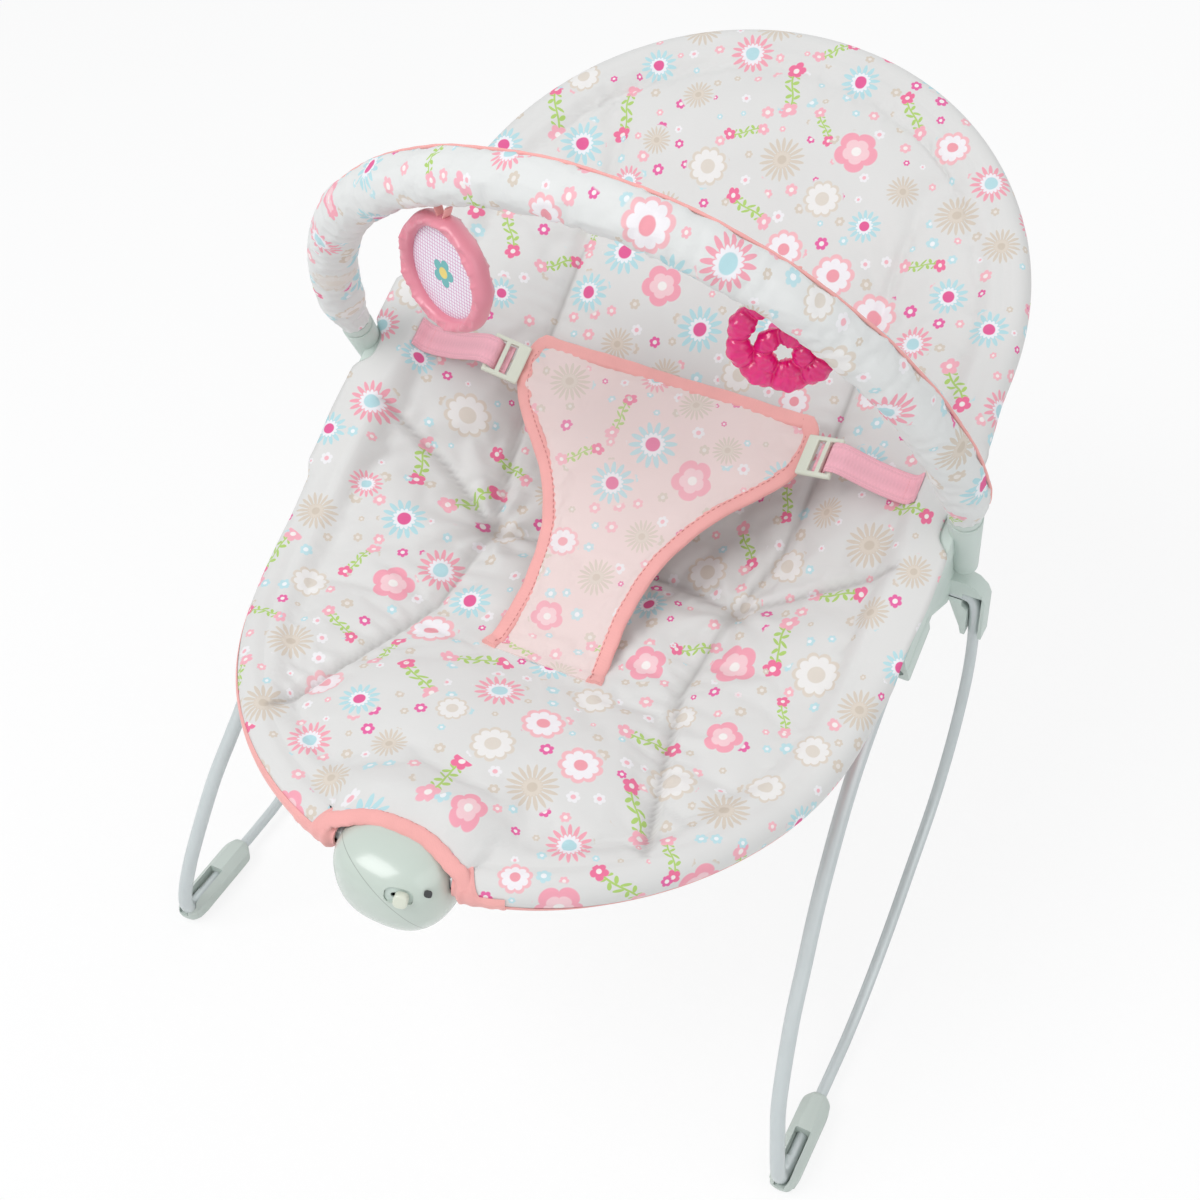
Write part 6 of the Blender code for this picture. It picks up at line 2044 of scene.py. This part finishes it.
@dataclass
class MirrorToy:
    """Round toy with an embossed frame, a thin panel and a cloth loop."""

    finishes: Finishes
    pivot: Vector = Vector((-0.0745, -0.0745, 0.54068))
    drop: float = 0.0040
    radius: float = 0.0350
    rim: float = 0.0082
    depth: float = 0.0130
    turn: float = radians(-20.0)

    @property
    def centre(self) -> Vector:
        """Middle of the toy."""
        return self.pivot - Vector((0, 0, self.drop + self.radius))

    def build(self) -> None:
        """Make the frame, panel and loop."""
        self.finishes.dress(self.build_frame(), "pink plastic", "mirror_toy", ("mirror_frame",))
        self.finishes.dress(self.build_panel(), "toy panel", "mirror_toy", ("mirror_panel",))
        loop = build_loop("mirror_loop_ribbon", self.pivot, self.turn, self.drop + 0.004)
        self.finishes.dress(loop, "salmon binding", "mirror_toy", ("mirror_loop",))

    def build_panel(self) -> Piece:
        """Thin, slightly domed panel with a rolled edge, set back in the frame."""
        panel = started(bpy.ops.mesh.primitive_uv_sphere_add, "mirror_panel_film",
                        segments=96, ring_count=32, radius=1.0)
        for point in panel.data.vertices:
            reach = hypot(point.co.x, point.co.y)
            scale = (self.radius - self.rim + 0.0016) * reach ** -0.5 if reach > 1e-4 else 0.0
            point.co.x *= scale
            point.co.y *= scale
            point.co.z *= 0.0016
        stood_up(panel, self.centre, self.turn)
        smooth(panel)
        return panel

    def build_frame(self) -> Piece:
        """Frame with a raised lip and embossed scrolls and dots."""
        ring = started(bpy.ops.mesh.primitive_torus_add, "mirror_frame_moulded", major_segments=220,
                       minor_segments=28, major_radius=self.radius - self.rim / 2, minor_radius=self.rim / 2)
        for point in ring.data.vertices:
            turn = atan2(point.co.y, point.co.x)
            reach = hypot(point.co.x, point.co.y)
            local = (reach - self.radius + self.rim / 2) / (self.rim / 2)
            height = power_of(point.co.z / (self.rim / 2), 0.85) * self.depth / 2
            band = exp(-(((local - 0.05) / 0.42) ** 2))
            scroll = sin(9 * turn + 4.0 * local) * cos(4.5 * turn)
            emboss = 0.0016 * band * scroll + 0.0010 * band * max(0.0, cos(27 * turn)) ** 4
            lobe = 0.0005 * cos(9 * turn) * max(0.0, local)
            swell = power_of(local, 0.85) * self.rim / 2
            scale = (self.radius - self.rim / 2 + swell - 0.0005 + lobe) / reach
            point.co.x *= scale
            point.co.y *= scale
            point.co.z = copysign(abs(height) * 0.93 + emboss * (abs(height) > 0.002), height)
        stood_up(ring, self.centre, self.turn)
        smooth(ring)
        return ring


def build_loop(name: str, pivot: Vector, turn: float, drop: float) -> Piece:
    """A ribbon in a V from the bar's underside down to a toy.

    Args:
        name: Name of the piece.
        pivot: Where the ribbon leaves the bar.
        turn: Turn of the toy about Z.
        drop: How far down it goes.

    Returns:
        The ribbon.
    """
    side = Vector((cos(turn), sin(turn), 0))
    start = pivot + Vector((0, 0, 0.0020))
    pieces = []
    for k, way in enumerate((-1, 1)):
        line = smooth_path([start + side * (way * out) - Vector((0, 0, down)) for out, down in (
            (0.0050, 0.0), (0.0036, drop * 0.5), (0.0008, drop + 0.002))], 0.0008)
        pieces.append(section_run(f"{name}_{k}", line, side, flat_oval(0.0028, 0.0006, 0.5, 0.8), 16))
    return join_pieces(name, pieces)


@dataclass
class Teether:
    """Translucent lobed ring with a smaller ring in its foot."""

    finishes: Finishes
    pivot: Vector = Vector((0.1110, -0.04837, 0.54064))
    behind: float = 0.0068
    drop: float = 0.0120
    turn: float = radians(20.0)
    radius: float = 0.0240
    tube: float = 0.0065
    knot: float = 0.0105

    def build(self) -> None:
        """Make the rings and the loop."""
        self.finishes.dress(self.build_ring(), "magenta gel", "teether", ("teether_ring",))
        self.finishes.dress(self.build_ribbon(), "salmon binding", "teether", ("teether_loop",))

    def build_ribbon(self) -> Piece:
        """Ribbon from the bar down round the top of the ring and back up."""
        place = Matrix.Translation(self.pivot) @ Matrix.Rotation(self.turn, 4, "Z")
        middle_z = -self.drop - self.tube * 1.12
        reach_y, reach_z = self.tube * 0.80 + 0.0014, self.tube * 1.12 + 0.0014
        points = [(0.0030, 0.0018), (0.0012, -0.0060)]
        for degrees in spread(165.0, 375.0, 9):
            a = radians(degrees)
            points.append((self.behind + reach_y * cos(a), middle_z + reach_z * sin(a)))
        points.extend([(0.0100, -0.0060), (0.0062, 0.0018)])
        path = smooth_path([place @ Vector((0, y, z)) for y, z in points], 0.0008)
        wide = (place.to_3x3() @ Vector((1, 0, 0))).normalized()
        ups = [wide.cross(heading(path, i)) for i in range(len(path))]
        return section_run("teether_ribbon", path, ups, flat_oval(0.0045, 0.0006, 0.4, 0.8), 28)

    def lobed(self, name: str, radius: float, tube: float, lobes: int, ribs: int) -> Piece:
        """One ring whose tube swells into lobes with small beads between.

        Args:
            name: Name of the ring.
            radius: Radius of its middle line.
            tube: Radius of its tube.
            lobes: How many lobes.
            ribs: How many beads.

        Returns:
            The ring, flat on XY.
        """
        ring = started(bpy.ops.mesh.primitive_torus_add, name, major_segments=360, minor_segments=48,
                       major_radius=radius, minor_radius=tube)
        for point in ring.data.vertices:
            turn = atan2(point.co.y, point.co.x)
            reach = hypot(point.co.x, point.co.y)
            off = (reach - radius) / tube
            height = point.co.z / tube
            size = 1 + 0.13 * cos(lobes * turn) + 0.055 * cos(ribs * turn)
            new_reach = radius + tube * size * off
            point.co.x *= new_reach / reach
            point.co.y *= new_reach / reach
            point.co.z = 0.8 * tube * size * height
            nearest = round(turn * lobes / (2 * pi)) * 2 * pi / lobes
            away = hypot((turn - nearest) * radius, reach - radius)
            knuckle = 0.0008 * exp(-(((away - 0.64 * tube) / 0.0010) ** 2))
            groove = 0.0011 * exp(-(((abs(turn - nearest) - pi / lobes) * radius / 0.0008) ** 2))
            point.co.z += (knuckle - groove) * height
        return ring

    def build_ring(self) -> Piece:
        """Both rings as one moulded piece."""
        outer = self.lobed("teether_gel", self.radius, self.tube, 9, 27)
        inner = self.lobed("teether_inner", self.knot, self.tube * 0.86, 5, 15)
        inner.location = (0, self.knot + self.tube - self.radius, 0)
        settle(inner)
        ring = join_pieces("teether_gel", [outer, inner])
        reach = self.radius + self.tube * 1.12
        stood_up(ring, self.pivot, self.turn, Vector((0, self.behind, -self.drop - reach)))
        blend = ring.modifiers.new("melt", "REMESH")
        blend.mode = "VOXEL"
        blend.voxel_size = 0.00042
        even = ring.modifiers.new("even", "SMOOTH")
        even.factor = 0.5
        even.iterations = 4
        apply_all(ring)
        smooth(ring)
        return ring


# Vibration unit


@dataclass
class VibrationUnit:
    """Rounded two-part housing on the foot-end tube, with its switch and battery door."""

    finishes: Finishes
    centre: Vector = floor_point(0.0, -0.060, 0.260)
    size: Vector = Vector((0.036, 0.034, 0.038))
    crown: float = 0.0235
    square: float = 0.8
    wall: float = 0.0022
    split: float = 0.265
    switch_x: float = 0.0160
    switch_z: float = 0.2690
    pilot: Pair = (0.0150, 0.0044)
    door: tuple = ((-0.0210, -0.0660), (0.0210, -0.0400))

    def build(self) -> None:
        """Make the shells, the knob and the door."""
        upper = self.build_shell("vibration_upper_moulded", True)
        self.cut_recess(upper)
        self.finishes.dress(upper, "glossy sage", "seat", ("vibration_upper_shell",))
        lower = self.build_shell("vibration_lower_moulded", False)
        self.cut_door(lower, 0.0003, "DIFFERENCE")
        self.finishes.dress(lower, "glossy sage", "seat", ("vibration_lower_shell",))
        door = self.build_shell("battery_door_moulded", False)
        self.cut_door(door, 0.0, "INTERSECT")
        self.finishes.dress(door, "glossy sage", "door", ("battery_door",))
        self.finishes.dress(self.build_knob(), "ivory plastic", "switch", ("switch_knob",))
        self.finishes.dress(self.build_tray(), "sage plastic", "seat")
        floor = self.oval("pilot_hole_floor", 0.0022, 0.0022, -0.0036, -0.0030, self.pilot)
        smooth(floor, 40.0)
        self.finishes.dress(floor, "dark plastic", "seat")
        self.finishes.repaint("dark plastic", "vibration_chassis", "switch_body")
        self.finishes.repaint("battery jacket", "battery")
        self.finishes.repaint("bare metal", "battery_contact_left", "battery_contact_right",
                              "vibration_motor", "motor_weight")

    def shape(self, direction: Vector, shrink: float = 0.0) -> Vector:
        """Point of the rounded body in a direction from its middle."""
        size = self.size - Vector((shrink, shrink, shrink))
        across = hypot(direction.x, direction.y)
        heading = atan2(direction.y, direction.x)
        wide = power_of(across, self.square) if across > 1e-6 else 0.0
        height = size.z if direction.z < 0 else self.crown - shrink
        return self.centre + Vector((
            size.x * wide * power_of(cos(heading), self.square),
            size.y * wide * power_of(sin(heading), self.square),
            height * power_of(direction.z, self.square)))

    def build_shell(self, name: str, top: bool) -> Piece:
        """One half shell: a rounded body, cut at the split, given a wall.

        Args:
            name: Name of the piece.
            top: True for the upper half.

        Returns:
            The shell.
        """
        shell = started(bpy.ops.mesh.primitive_uv_sphere_add, name, segments=112, ring_count=64, radius=1.0)
        for point in shell.data.vertices:
            point.co = self.shape(point.co.normalized())
        edge = self.split + (0.00003 if top else -0.00003)
        bpy.ops.object.mode_set(mode="EDIT")
        bpy.ops.mesh.select_all(action="SELECT")
        bpy.ops.mesh.bisect(plane_co=(0, 0, edge), plane_no=(0, 0, 1), use_fill=False,
                            clear_inner=top, clear_outer=not top)
        bpy.ops.object.mode_set(mode="OBJECT")
        settle(shell)
        shell.location = (0, 0, 0)
        wall = shell.modifiers.new("wall", "SOLIDIFY")
        wall.thickness = self.wall
        wall.offset = -1.0
        apply_all(shell)
        self.bore(shell)
        smooth(shell, 40.0)
        return shell

    def bore(self, shell: Piece) -> None:
        """Cut the way for the foot-end tube through a shell's walls."""
        half = SEAT.rim_half - SEAT.tube_inset
        length = SEAT.front_length - SEAT.tube_inset
        path = [SEAT.point(SEAT.front_centre - length * sin(acos(x / half)), x)
                for x in spread(-0.060, 0.060, 41)]
        rod = round_run("tube_way", path, 0.0065, 5)
        subtract(shell, rod, "DIFFERENCE")

    def switch_frame(self) -> Matrix:
        """Place and turn of the switch: X along its run, Z out of the housing."""
        power = 2 / self.square
        wide = abs(self.switch_x / self.size.x) ** power
        high = abs((self.switch_z - self.centre.z) / self.crown) ** power
        deep = (1 - wide - high) ** (1 / power)
        point = Vector((self.switch_x, self.centre.y - self.size.y * deep, self.switch_z))
        z = Vector(((self.switch_x / self.size.x) ** (power - 1) / self.size.x,
                    -deep ** (power - 1) / self.size.y,
                    ((self.switch_z - self.centre.z) / self.crown) ** (power - 1) / self.crown)).normalized()
        x = (Vector((1, 0, 0)) - z * z.x).normalized()
        turn = Matrix((x, z.cross(x), z)).transposed().to_4x4()
        return Matrix.Translation(point) @ turn

    def oval(self, name: str, half_long: float, half_wide: float, low: float, high: float,
             shift: Pair = (0.0, 0.0)) -> Piece:
        """A rounded block square to the housing at the switch.

        Args:
            name: Name of the block.
            half_long: Half its length along the switch's run.
            half_wide: Half its width.
            low: Its foot, from the housing's surface.
            high: Its top.
            shift: Move along and across the run.

        Returns:
            The block.
        """
        block = started(bpy.ops.mesh.primitive_cylinder_add, name, vertices=48, radius=1.0, depth=2.0)
        for point in block.data.vertices:
            x = half_long * power_of(point.co.x, 0.72) + shift[0]
            y = half_wide * power_of(point.co.y, 0.72) + shift[1]
            point.co = Vector((x, y, low if point.co.z < 0 else high))
        block.matrix_world = self.switch_frame()
        settle(block)
        return block

    def cut_recess(self, shell: Piece) -> None:
        """Cut the switch's oval way and the small pilot hole."""
        subtract(shell, self.oval("recess", 0.0080, 0.0052, -0.0050, 0.0060), "DIFFERENCE")
        hole = self.oval("pilot_hole", 0.0011, 0.0011, -0.0060, 0.0060, self.pilot)
        subtract(shell, hole, "DIFFERENCE")
        rounded(shell, 0.0005, 3, 55)
        smooth(shell, 40.0)

    def build_tray(self) -> Piece:
        """Shallow floor under the knob, inside the recess, with a slot for the stem."""
        tray = self.oval("switch_tray", 0.0078, 0.0050, -0.0032, -0.0020)
        slot = self.oval("stem_way", 0.0044, 0.0016, -0.0060, 0.0030)
        subtract(tray, slot, "DIFFERENCE")
        smooth(tray, 40.0)
        return tray

    def build_knob(self) -> Piece:
        """Slide knob with a crowned top and two grip ribs."""
        knob = self.oval("switch_knob_moulded", 0.0040, 0.0040, -0.0016, 0.0044, (0.0020, 0.0))
        rounded(knob, 0.0012, 4, 40)
        smooth(knob, 60.0)
        return knob

    def cut_door(self, shell: Piece, gap: float, act: str) -> None:
        """Cut the battery door's opening, or keep only the door."""
        (x0, y0), (x1, y1) = self.door
        block = started(bpy.ops.mesh.primitive_cube_add, "door_way", size=1.0)
        block.scale = (x1 - x0 + 2 * gap, y1 - y0 + 2 * gap, 0.060)
        block.location = floor_point((x0 + x1) / 2, (y0 + y1) / 2, 0.2372 - 0.030)
        settle(block)
        subtract(shell, block, act)
        smooth(shell, 40.0)


def subtract(piece: Piece, tool: Piece, act: str) -> None:
    """Cut a piece with a tool, and remove the tool.

    Args:
        piece: Piece to change.
        tool: Closed shape to cut with.
        act: DIFFERENCE or INTERSECT.
    """
    cut = piece.modifiers.new("cut", "BOOLEAN")
    cut.operation = act
    cut.solver = "EXACT"
    cut.object = tool
    apply_all(piece)
    bpy.data.objects.remove(tool)


# Base and hubs


@dataclass
class BaseFrame:
    """Side wires, front legs, foot grips, rear bar and rear feet."""

    finishes: Finishes
    spread_x: float = 0.225
    wire_radius: float = 0.0037
    leg_radius: float = 0.00475
    bar_radius: float = 0.006
    wire_height: float = 0.0105
    leg_end: float = 0.0120
    bounce: Pair = (0.2655, 0.2810)
    wing_x: float = 0.2182

    def build(self) -> None:
        """Make the base."""
        for side in Side:
            for node, path, radius in ((f"side_wire_{side.word}", self.wire_path(), self.wire_radius),
                                       (f"front_leg_{side.word}", self.leg_path(), self.leg_radius)):
                run = round_run(f"{node}_bent", mirrored(path, side), radius)
                self.finishes.dress(run, "painted steel", "base", (node,))
            grip = softened(f"front_grip_{side.word}", 0.0011, 20.0, 3)
            self.round_grip(grip, side)
            self.finishes.dress(grip, "grey plastic", "base", (f"front_grip_{side.word}",))
            self.finishes.mould(f"rear_foot_{side.word}", "dark rubber", "base", 0.0010, 20.0, 3)
        bar = round_run("rear_bar_bent", self.bar_path(), self.bar_radius)
        self.finishes.dress(bar, "painted steel", "base", ("rear_bar",))

    def round_grip(self, grip: Piece, side: Side) -> None:
        """Round the toe and the heel of a foot grip.

        Args:
            grip: The moulded grip, already with soft edges.
            side: Which side it stands on.
        """
        middle = side.value * self.spread_x
        cuts = [((middle + x, 0, 0), (1, 0, 0)) for x in spread(-0.0056, 0.0056, 5)]
        cuts += [((0, y + Y_SHIFT, 0), (0, 1, 0))
                 for y in (*spread(-0.0101, 0.0020, 10), *spread(0.0520, 0.0609, 7))]
        cuts += [((0, 0, z), (0, 0, 1)) for z in (*spread(0.0016, 0.0125, 7), 0.0160, 0.0180)]
        only(grip)
        bpy.ops.object.mode_set(mode="EDIT")
        for place, way in cuts:
            bpy.ops.mesh.select_all(action="SELECT")
            bpy.ops.mesh.bisect(plane_co=place, plane_no=way)
        bpy.ops.object.mode_set(mode="OBJECT")
        for point in grip.data.vertices:
            x, y, z = point.co.x - middle, point.co.y - Y_SHIFT, point.co.z
            y, z = round_corner(y, z, (0.0020, 0.0125), (-0.0125, -0.0125))
            y, z = round_corner(y, z, (0.0555, 0.0125), (0.0060, 0.0070))
            y, flat = round_corner(y, abs(x), (-0.0030, 0.0), (-0.0075, 0.0075))
            y, flat = round_corner(y, flat, (0.0535, 0.0), (0.0080, 0.0095))
            point.co = (middle + copysign(flat, x), y + Y_SHIFT, z)
        smooth(grip, 38.0)

    def leg_path(self) -> list[Vector]:
        """Right front leg, from the foot grip into the hub."""
        foot = [
            (-0.0005, self.leg_end, self.wire_height), (-0.0005, 0.004, self.wire_height),
            (-0.0010, -0.0035, 0.0135), (-0.0022, -0.0075, 0.0225), (-0.0038, -0.0080, 0.0350),
            (-0.0070, -0.0050, 0.0550), (-0.0120, 0.0030, 0.0830), (-0.0180, 0.0250, 0.1270),
            (-0.0220, 0.0480, 0.1570), (-0.0255, 0.0690, 0.1840), (-0.0280, 0.0900, 0.2090),
            (-0.0300, 0.1120, 0.2330), (-0.0313, 0.1360, 0.2540),
        ]
        points = [floor_point(self.spread_x + x, y, z) for x, y, z in foot]
        mouth = SEAT.hub_point(SEAT.hub_front, -0.0175, 0.1930)
        end = SEAT.hub_point(SEAT.hub_front + 0.029, -0.0175, 0.1930)
        return smooth_path([*points, mouth, end], 0.005)

    def socket(self) -> tuple[Vector, Vector, Vector]:
        """Mouth of the rear bar's right socket, its end and the way down into it."""
        end = floor_point(0.1350, 0.3700, 0.0900)
        down = (end - floor_point(0.1450, 0.3430, 0.1430)).normalized()
        return end - down * 0.016, end, down

    def wire_path(self) -> list[Vector]:
        """Right side wire, from the foot grip up to the wing, inwards and down to the rear bar."""
        by, bz = self.bounce
        floor = [(self.spread_x, y, self.wire_height) for y in (self.leg_end + 0.0003, 0.040, 0.080)]
        rise = [
            (0.2250, 0.1100, 0.0125), (0.2250, 0.1412, 0.0234), (0.2248, 0.1771, 0.0457),
            (0.2243, 0.2119, 0.0742), (0.2234, 0.2516, 0.1060), (0.2221, 0.2758, 0.1433),
            (0.2206, 0.2873, 0.1850), (0.2193, 0.2868, 0.2180), (self.wing_x, 0.2800, 0.2465),
            (self.wing_x, 0.2720, 0.2650), (self.wing_x - 0.0018, by + 0.0018, bz - 0.0042),
            (self.wing_x - 0.0070, by, bz), (0.2000, by, bz), (0.1880, by, bz),
            (0.1800, 0.2690, 0.2775), (0.1745, 0.2790, 0.2650), (0.1660, 0.2980, 0.2340),
            (0.1560, 0.3190, 0.1920), (0.1450, 0.3430, 0.1430),
        ]
        mouth, end, down = self.socket()
        points = [floor_point(*p) for p in (*floor, *rise)]
        return smooth_path([*points, mouth - down * 0.004, mouth, end], 0.004)

    def bar_path(self) -> list[Vector]:
        """Rear bar, from the right wire down to the floor, across and up."""
        mouth, end, down = self.socket()
        right = [floor_point(*p) for p in (
            (0.1280, 0.3880, 0.0520), (0.1220, 0.4060, 0.0240), (0.1130, 0.4220, 0.0150),
            (0.0980, 0.4320, 0.0135), (0.0850, 0.4350, 0.0135), (0.0500, 0.4350, 0.0135))]
        half = [mouth, end, end + down * 0.005, *right]
        return smooth_path([*half, *mirrored(reversed(half), Side.LEFT)], 0.005)


@dataclass
class Hubs:
    """Moulded hubs with their inner covers and screws."""

    finishes: Finishes

    def build(self) -> None:
        """Round the mouldings over and give the screws their finish."""
        for side in Side:
            self.finishes.mould(f"hub_outer_{side.word}", "sage plastic", "seat", 0.0009, 30.0, 3)
            self.finishes.mould(f"hub_inner_{side.word}", "sage plastic", "seat", 0.0005)
            self.finishes.repaint("bare metal", *[f"hub_screw_{side.word}_{n}" for n in (1, 2, 3)])
        self.finishes.repaint("painted steel", "seat_front_tube", "seat_back_tube")


# Room, lights and camera


@dataclass
class Studio:
    """Plain pale floor, soft lights and the camera at the photograph's angle."""

    lens: float = 51.9
    eye: tuple = (
        (0.8944, -0.3187, 0.3137, 0.3465), (0.4465, 0.5991, -0.6645, -0.7591),
        (0.0238, 0.7345, 0.6782, 1.0034), (0.0, 0.0, 0.0, 1.0),
    )

    def build(self) -> None:
        """Set up the stage."""
        self.build_floor()
        self.build_world()
        self.add_lamp("key", (-0.9, -1.3, 2.1), 1.3, 27.0)
        self.add_lamp("fill", (1.6, -0.6, 1.5), 1.8, 9.0)
        self.add_lamp("back", (0.2, 1.8, 1.6), 1.6, 6.0)
        self.add_camera()
        bpy.context.scene.view_settings.view_transform = "Standard"

    def build_floor(self) -> None:
        """A wide floor that renders almost white and keeps the shadow."""
        floor = started(bpy.ops.mesh.primitive_plane_add, "floor", size=14.0)
        r = Recipe("pale floor")
        r.colour(r.mix(r.grain(r.places(), 3.0), (0.955, 0.955, 0.955), (0.965, 0.965, 0.965)))
        r.set(Roughness=0.9)
        r.shader.inputs["Specular IOR Level"].default_value = 0.0
        self.whiten(r)
        floor.data.materials.append(r.material)

    def whiten(self, r: Recipe) -> None:
        """Let the camera see the floor nearly white, with a part of its shadow kept."""
        glow = r.tree.nodes.new("ShaderNodeEmission")
        glow.inputs[0].default_value = (1, 1, 1, 1)
        glow.inputs[1].default_value = 1.0
        paths = r.tree.nodes.new("ShaderNodeLightPath")
        mix = r.tree.nodes.new("ShaderNodeMixShader")
        r.tree.links.new(r.times(paths.outputs["Is Camera Ray"], 0.82), mix.inputs[0])
        r.tree.links.new(r.shader.outputs["BSDF"], mix.inputs[1])
        r.tree.links.new(glow.outputs[0], mix.inputs[2])
        r.tree.links.new(mix.outputs[0], r.out.inputs["Surface"])

    def build_world(self) -> None:
        """White surroundings, plain to the camera and softer as light."""
        world = bpy.data.worlds.new("studio")
        bpy.context.scene.world = world
        world.use_nodes = True
        tree = world.node_tree
        tree.nodes.clear()
        out, seen, light, paths, first, either, mix = (tree.nodes.new(f"ShaderNode{kind}") for kind in (
            "OutputWorld", "Background", "Background", "LightPath", "Math", "Math", "MixShader"))
        for shade, colour, strength in ((seen, (1, 1, 1, 1), 1.0), (light, (0.97, 0.985, 1.0, 1), 0.56)):
            shade.inputs[0].default_value = colour
            shade.inputs[1].default_value = strength
        first.operation = either.operation = "MAXIMUM"
        for source, target in (
            (paths.outputs["Is Camera Ray"], first.inputs[0]),
            (paths.outputs["Is Glossy Ray"], first.inputs[1]), (first.outputs[0], either.inputs[0]),
            (paths.outputs["Is Transmission Ray"], either.inputs[1]),
            (either.outputs[0], mix.inputs[0]), (light.outputs[0], mix.inputs[1]),
            (seen.outputs[0], mix.inputs[2]), (mix.outputs[0], out.inputs[0]),
        ):
            tree.links.new(source, target)

    def add_lamp(self, name: str, place: tuple, size: float, power: float) -> None:
        """A square soft lamp that faces the seat.

        Args:
            name: Name of the lamp.
            place: Where it hangs.
            size: Length of its side.
            power: Its power in watts.
        """
        data = bpy.data.lights.new(name, "AREA")
        data.size = size
        data.energy = power
        lamp = linked(name, data)
        lamp.location = place
        way = Vector((0, 0, 0.30)) - Vector(place)
        lamp.rotation_euler = way.to_track_quat("-Z", "Y").to_euler()

    def add_camera(self) -> None:
        """Camera solved from the photograph."""
        data = bpy.data.cameras.new("camera")
        data.lens = self.lens
        data.sensor_width = 36.0
        data.sensor_fit = "HORIZONTAL"
        camera = linked("camera", data)
        camera.matrix_world = Matrix(self.eye)
        bpy.context.scene.camera = camera


def make_finishes() -> Finishes:
    """Build every finish of the bouncer."""
    finishes = Finishes()
    toy = MirrorToy(finishes)
    finishes.add(
        PaintedSteel("painted steel", "painted_steel", (0.595, 0.645, 0.650), 0.20, 0.32),
        PaintedSteel("bare metal", "bare_metal", (0.60, 0.60, 0.58), 1.0, 0.28),
        MouldedPlastic("sage plastic", "sage_plastic", (0.580, 0.665, 0.620), 0.44),
        MouldedPlastic("glossy sage", "sage_plastic", (0.550, 0.625, 0.565), 0.26, 0.45,
                       line=(Vector((0.0015, -0.2940, 0.2652)), Vector((0.5036, 0.6198, 0.6019)))),
        MouldedPlastic("grey plastic", "grey_plastic", (0.555, 0.620, 0.580), 0.50),
        MouldedPlastic("ivory plastic", "ivory_plastic", (0.700, 0.730, 0.620), 0.34, 0.15),
        MouldedPlastic("white plastic", "white_plastic", (0.780, 0.780, 0.760), 0.45),
        MouldedPlastic("pink plastic", "pink_plastic", (0.735, 0.255, 0.325), 0.33, 0.25),
        MouldedPlastic("dark plastic", "dark_plastic", (0.045, 0.046, 0.048), 0.50),
        MouldedPlastic("battery jacket", "battery_jacket", (0.060, 0.070, 0.080), 0.30, 0.3),
        Rubber("dark rubber", "dark_rubber", (0.040, 0.042, 0.042)),
        PlainCloth("salmon binding", "salmon_binding", (0.900, 0.430, 0.410)),
        PlainCloth("sewing thread", "salmon_binding", (0.690, 0.270, 0.260), 0.0006),
        PlainCloth("webbing thread", "pink_webbing", (0.930, 0.430, 0.480), 0.0006),
        Webbing("pink webbing", "pink_webbing", (1.0, 0.495, 0.580)),
        Gel("magenta gel", "magenta_gel", (0.980, 0.012, 0.260)),
        ToyPanel("toy panel", "mirror_film", toy.centre, toy.turn),
        PrintedCotton("printed cotton", "printed_cloth", Ground.GREY),
        PrintedCotton("bar cotton", "printed_cloth", Ground.WHITE, 0.0330, 0.0120, 0.9, (0.52, 0.33, 0.0)),
        PrintedCotton("pink printed cotton", "pink_cloth", Ground.PINK,
                      shift=(0.14, 0.27, 0.0), strength=0.75),
    )
    return finishes


def main() -> None:
    logging.basicConfig(level=logging.INFO, format="%(message)s")
    finishes = make_finishes()
    Studio().build()
    BaseFrame(finishes).build()
    Hubs(finishes).build()
    cover = SeatCover(finishes)
    cover.build()
    pad = CrotchPad(finishes, cover)
    pad.build()
    WaistStraps(finishes, pad).build()
    ToyBar(finishes).build()
    MirrorToy(finishes).build()
    Teether(finishes).build()
    VibrationUnit(finishes).build()


if __name__ == "__main__":
    main()
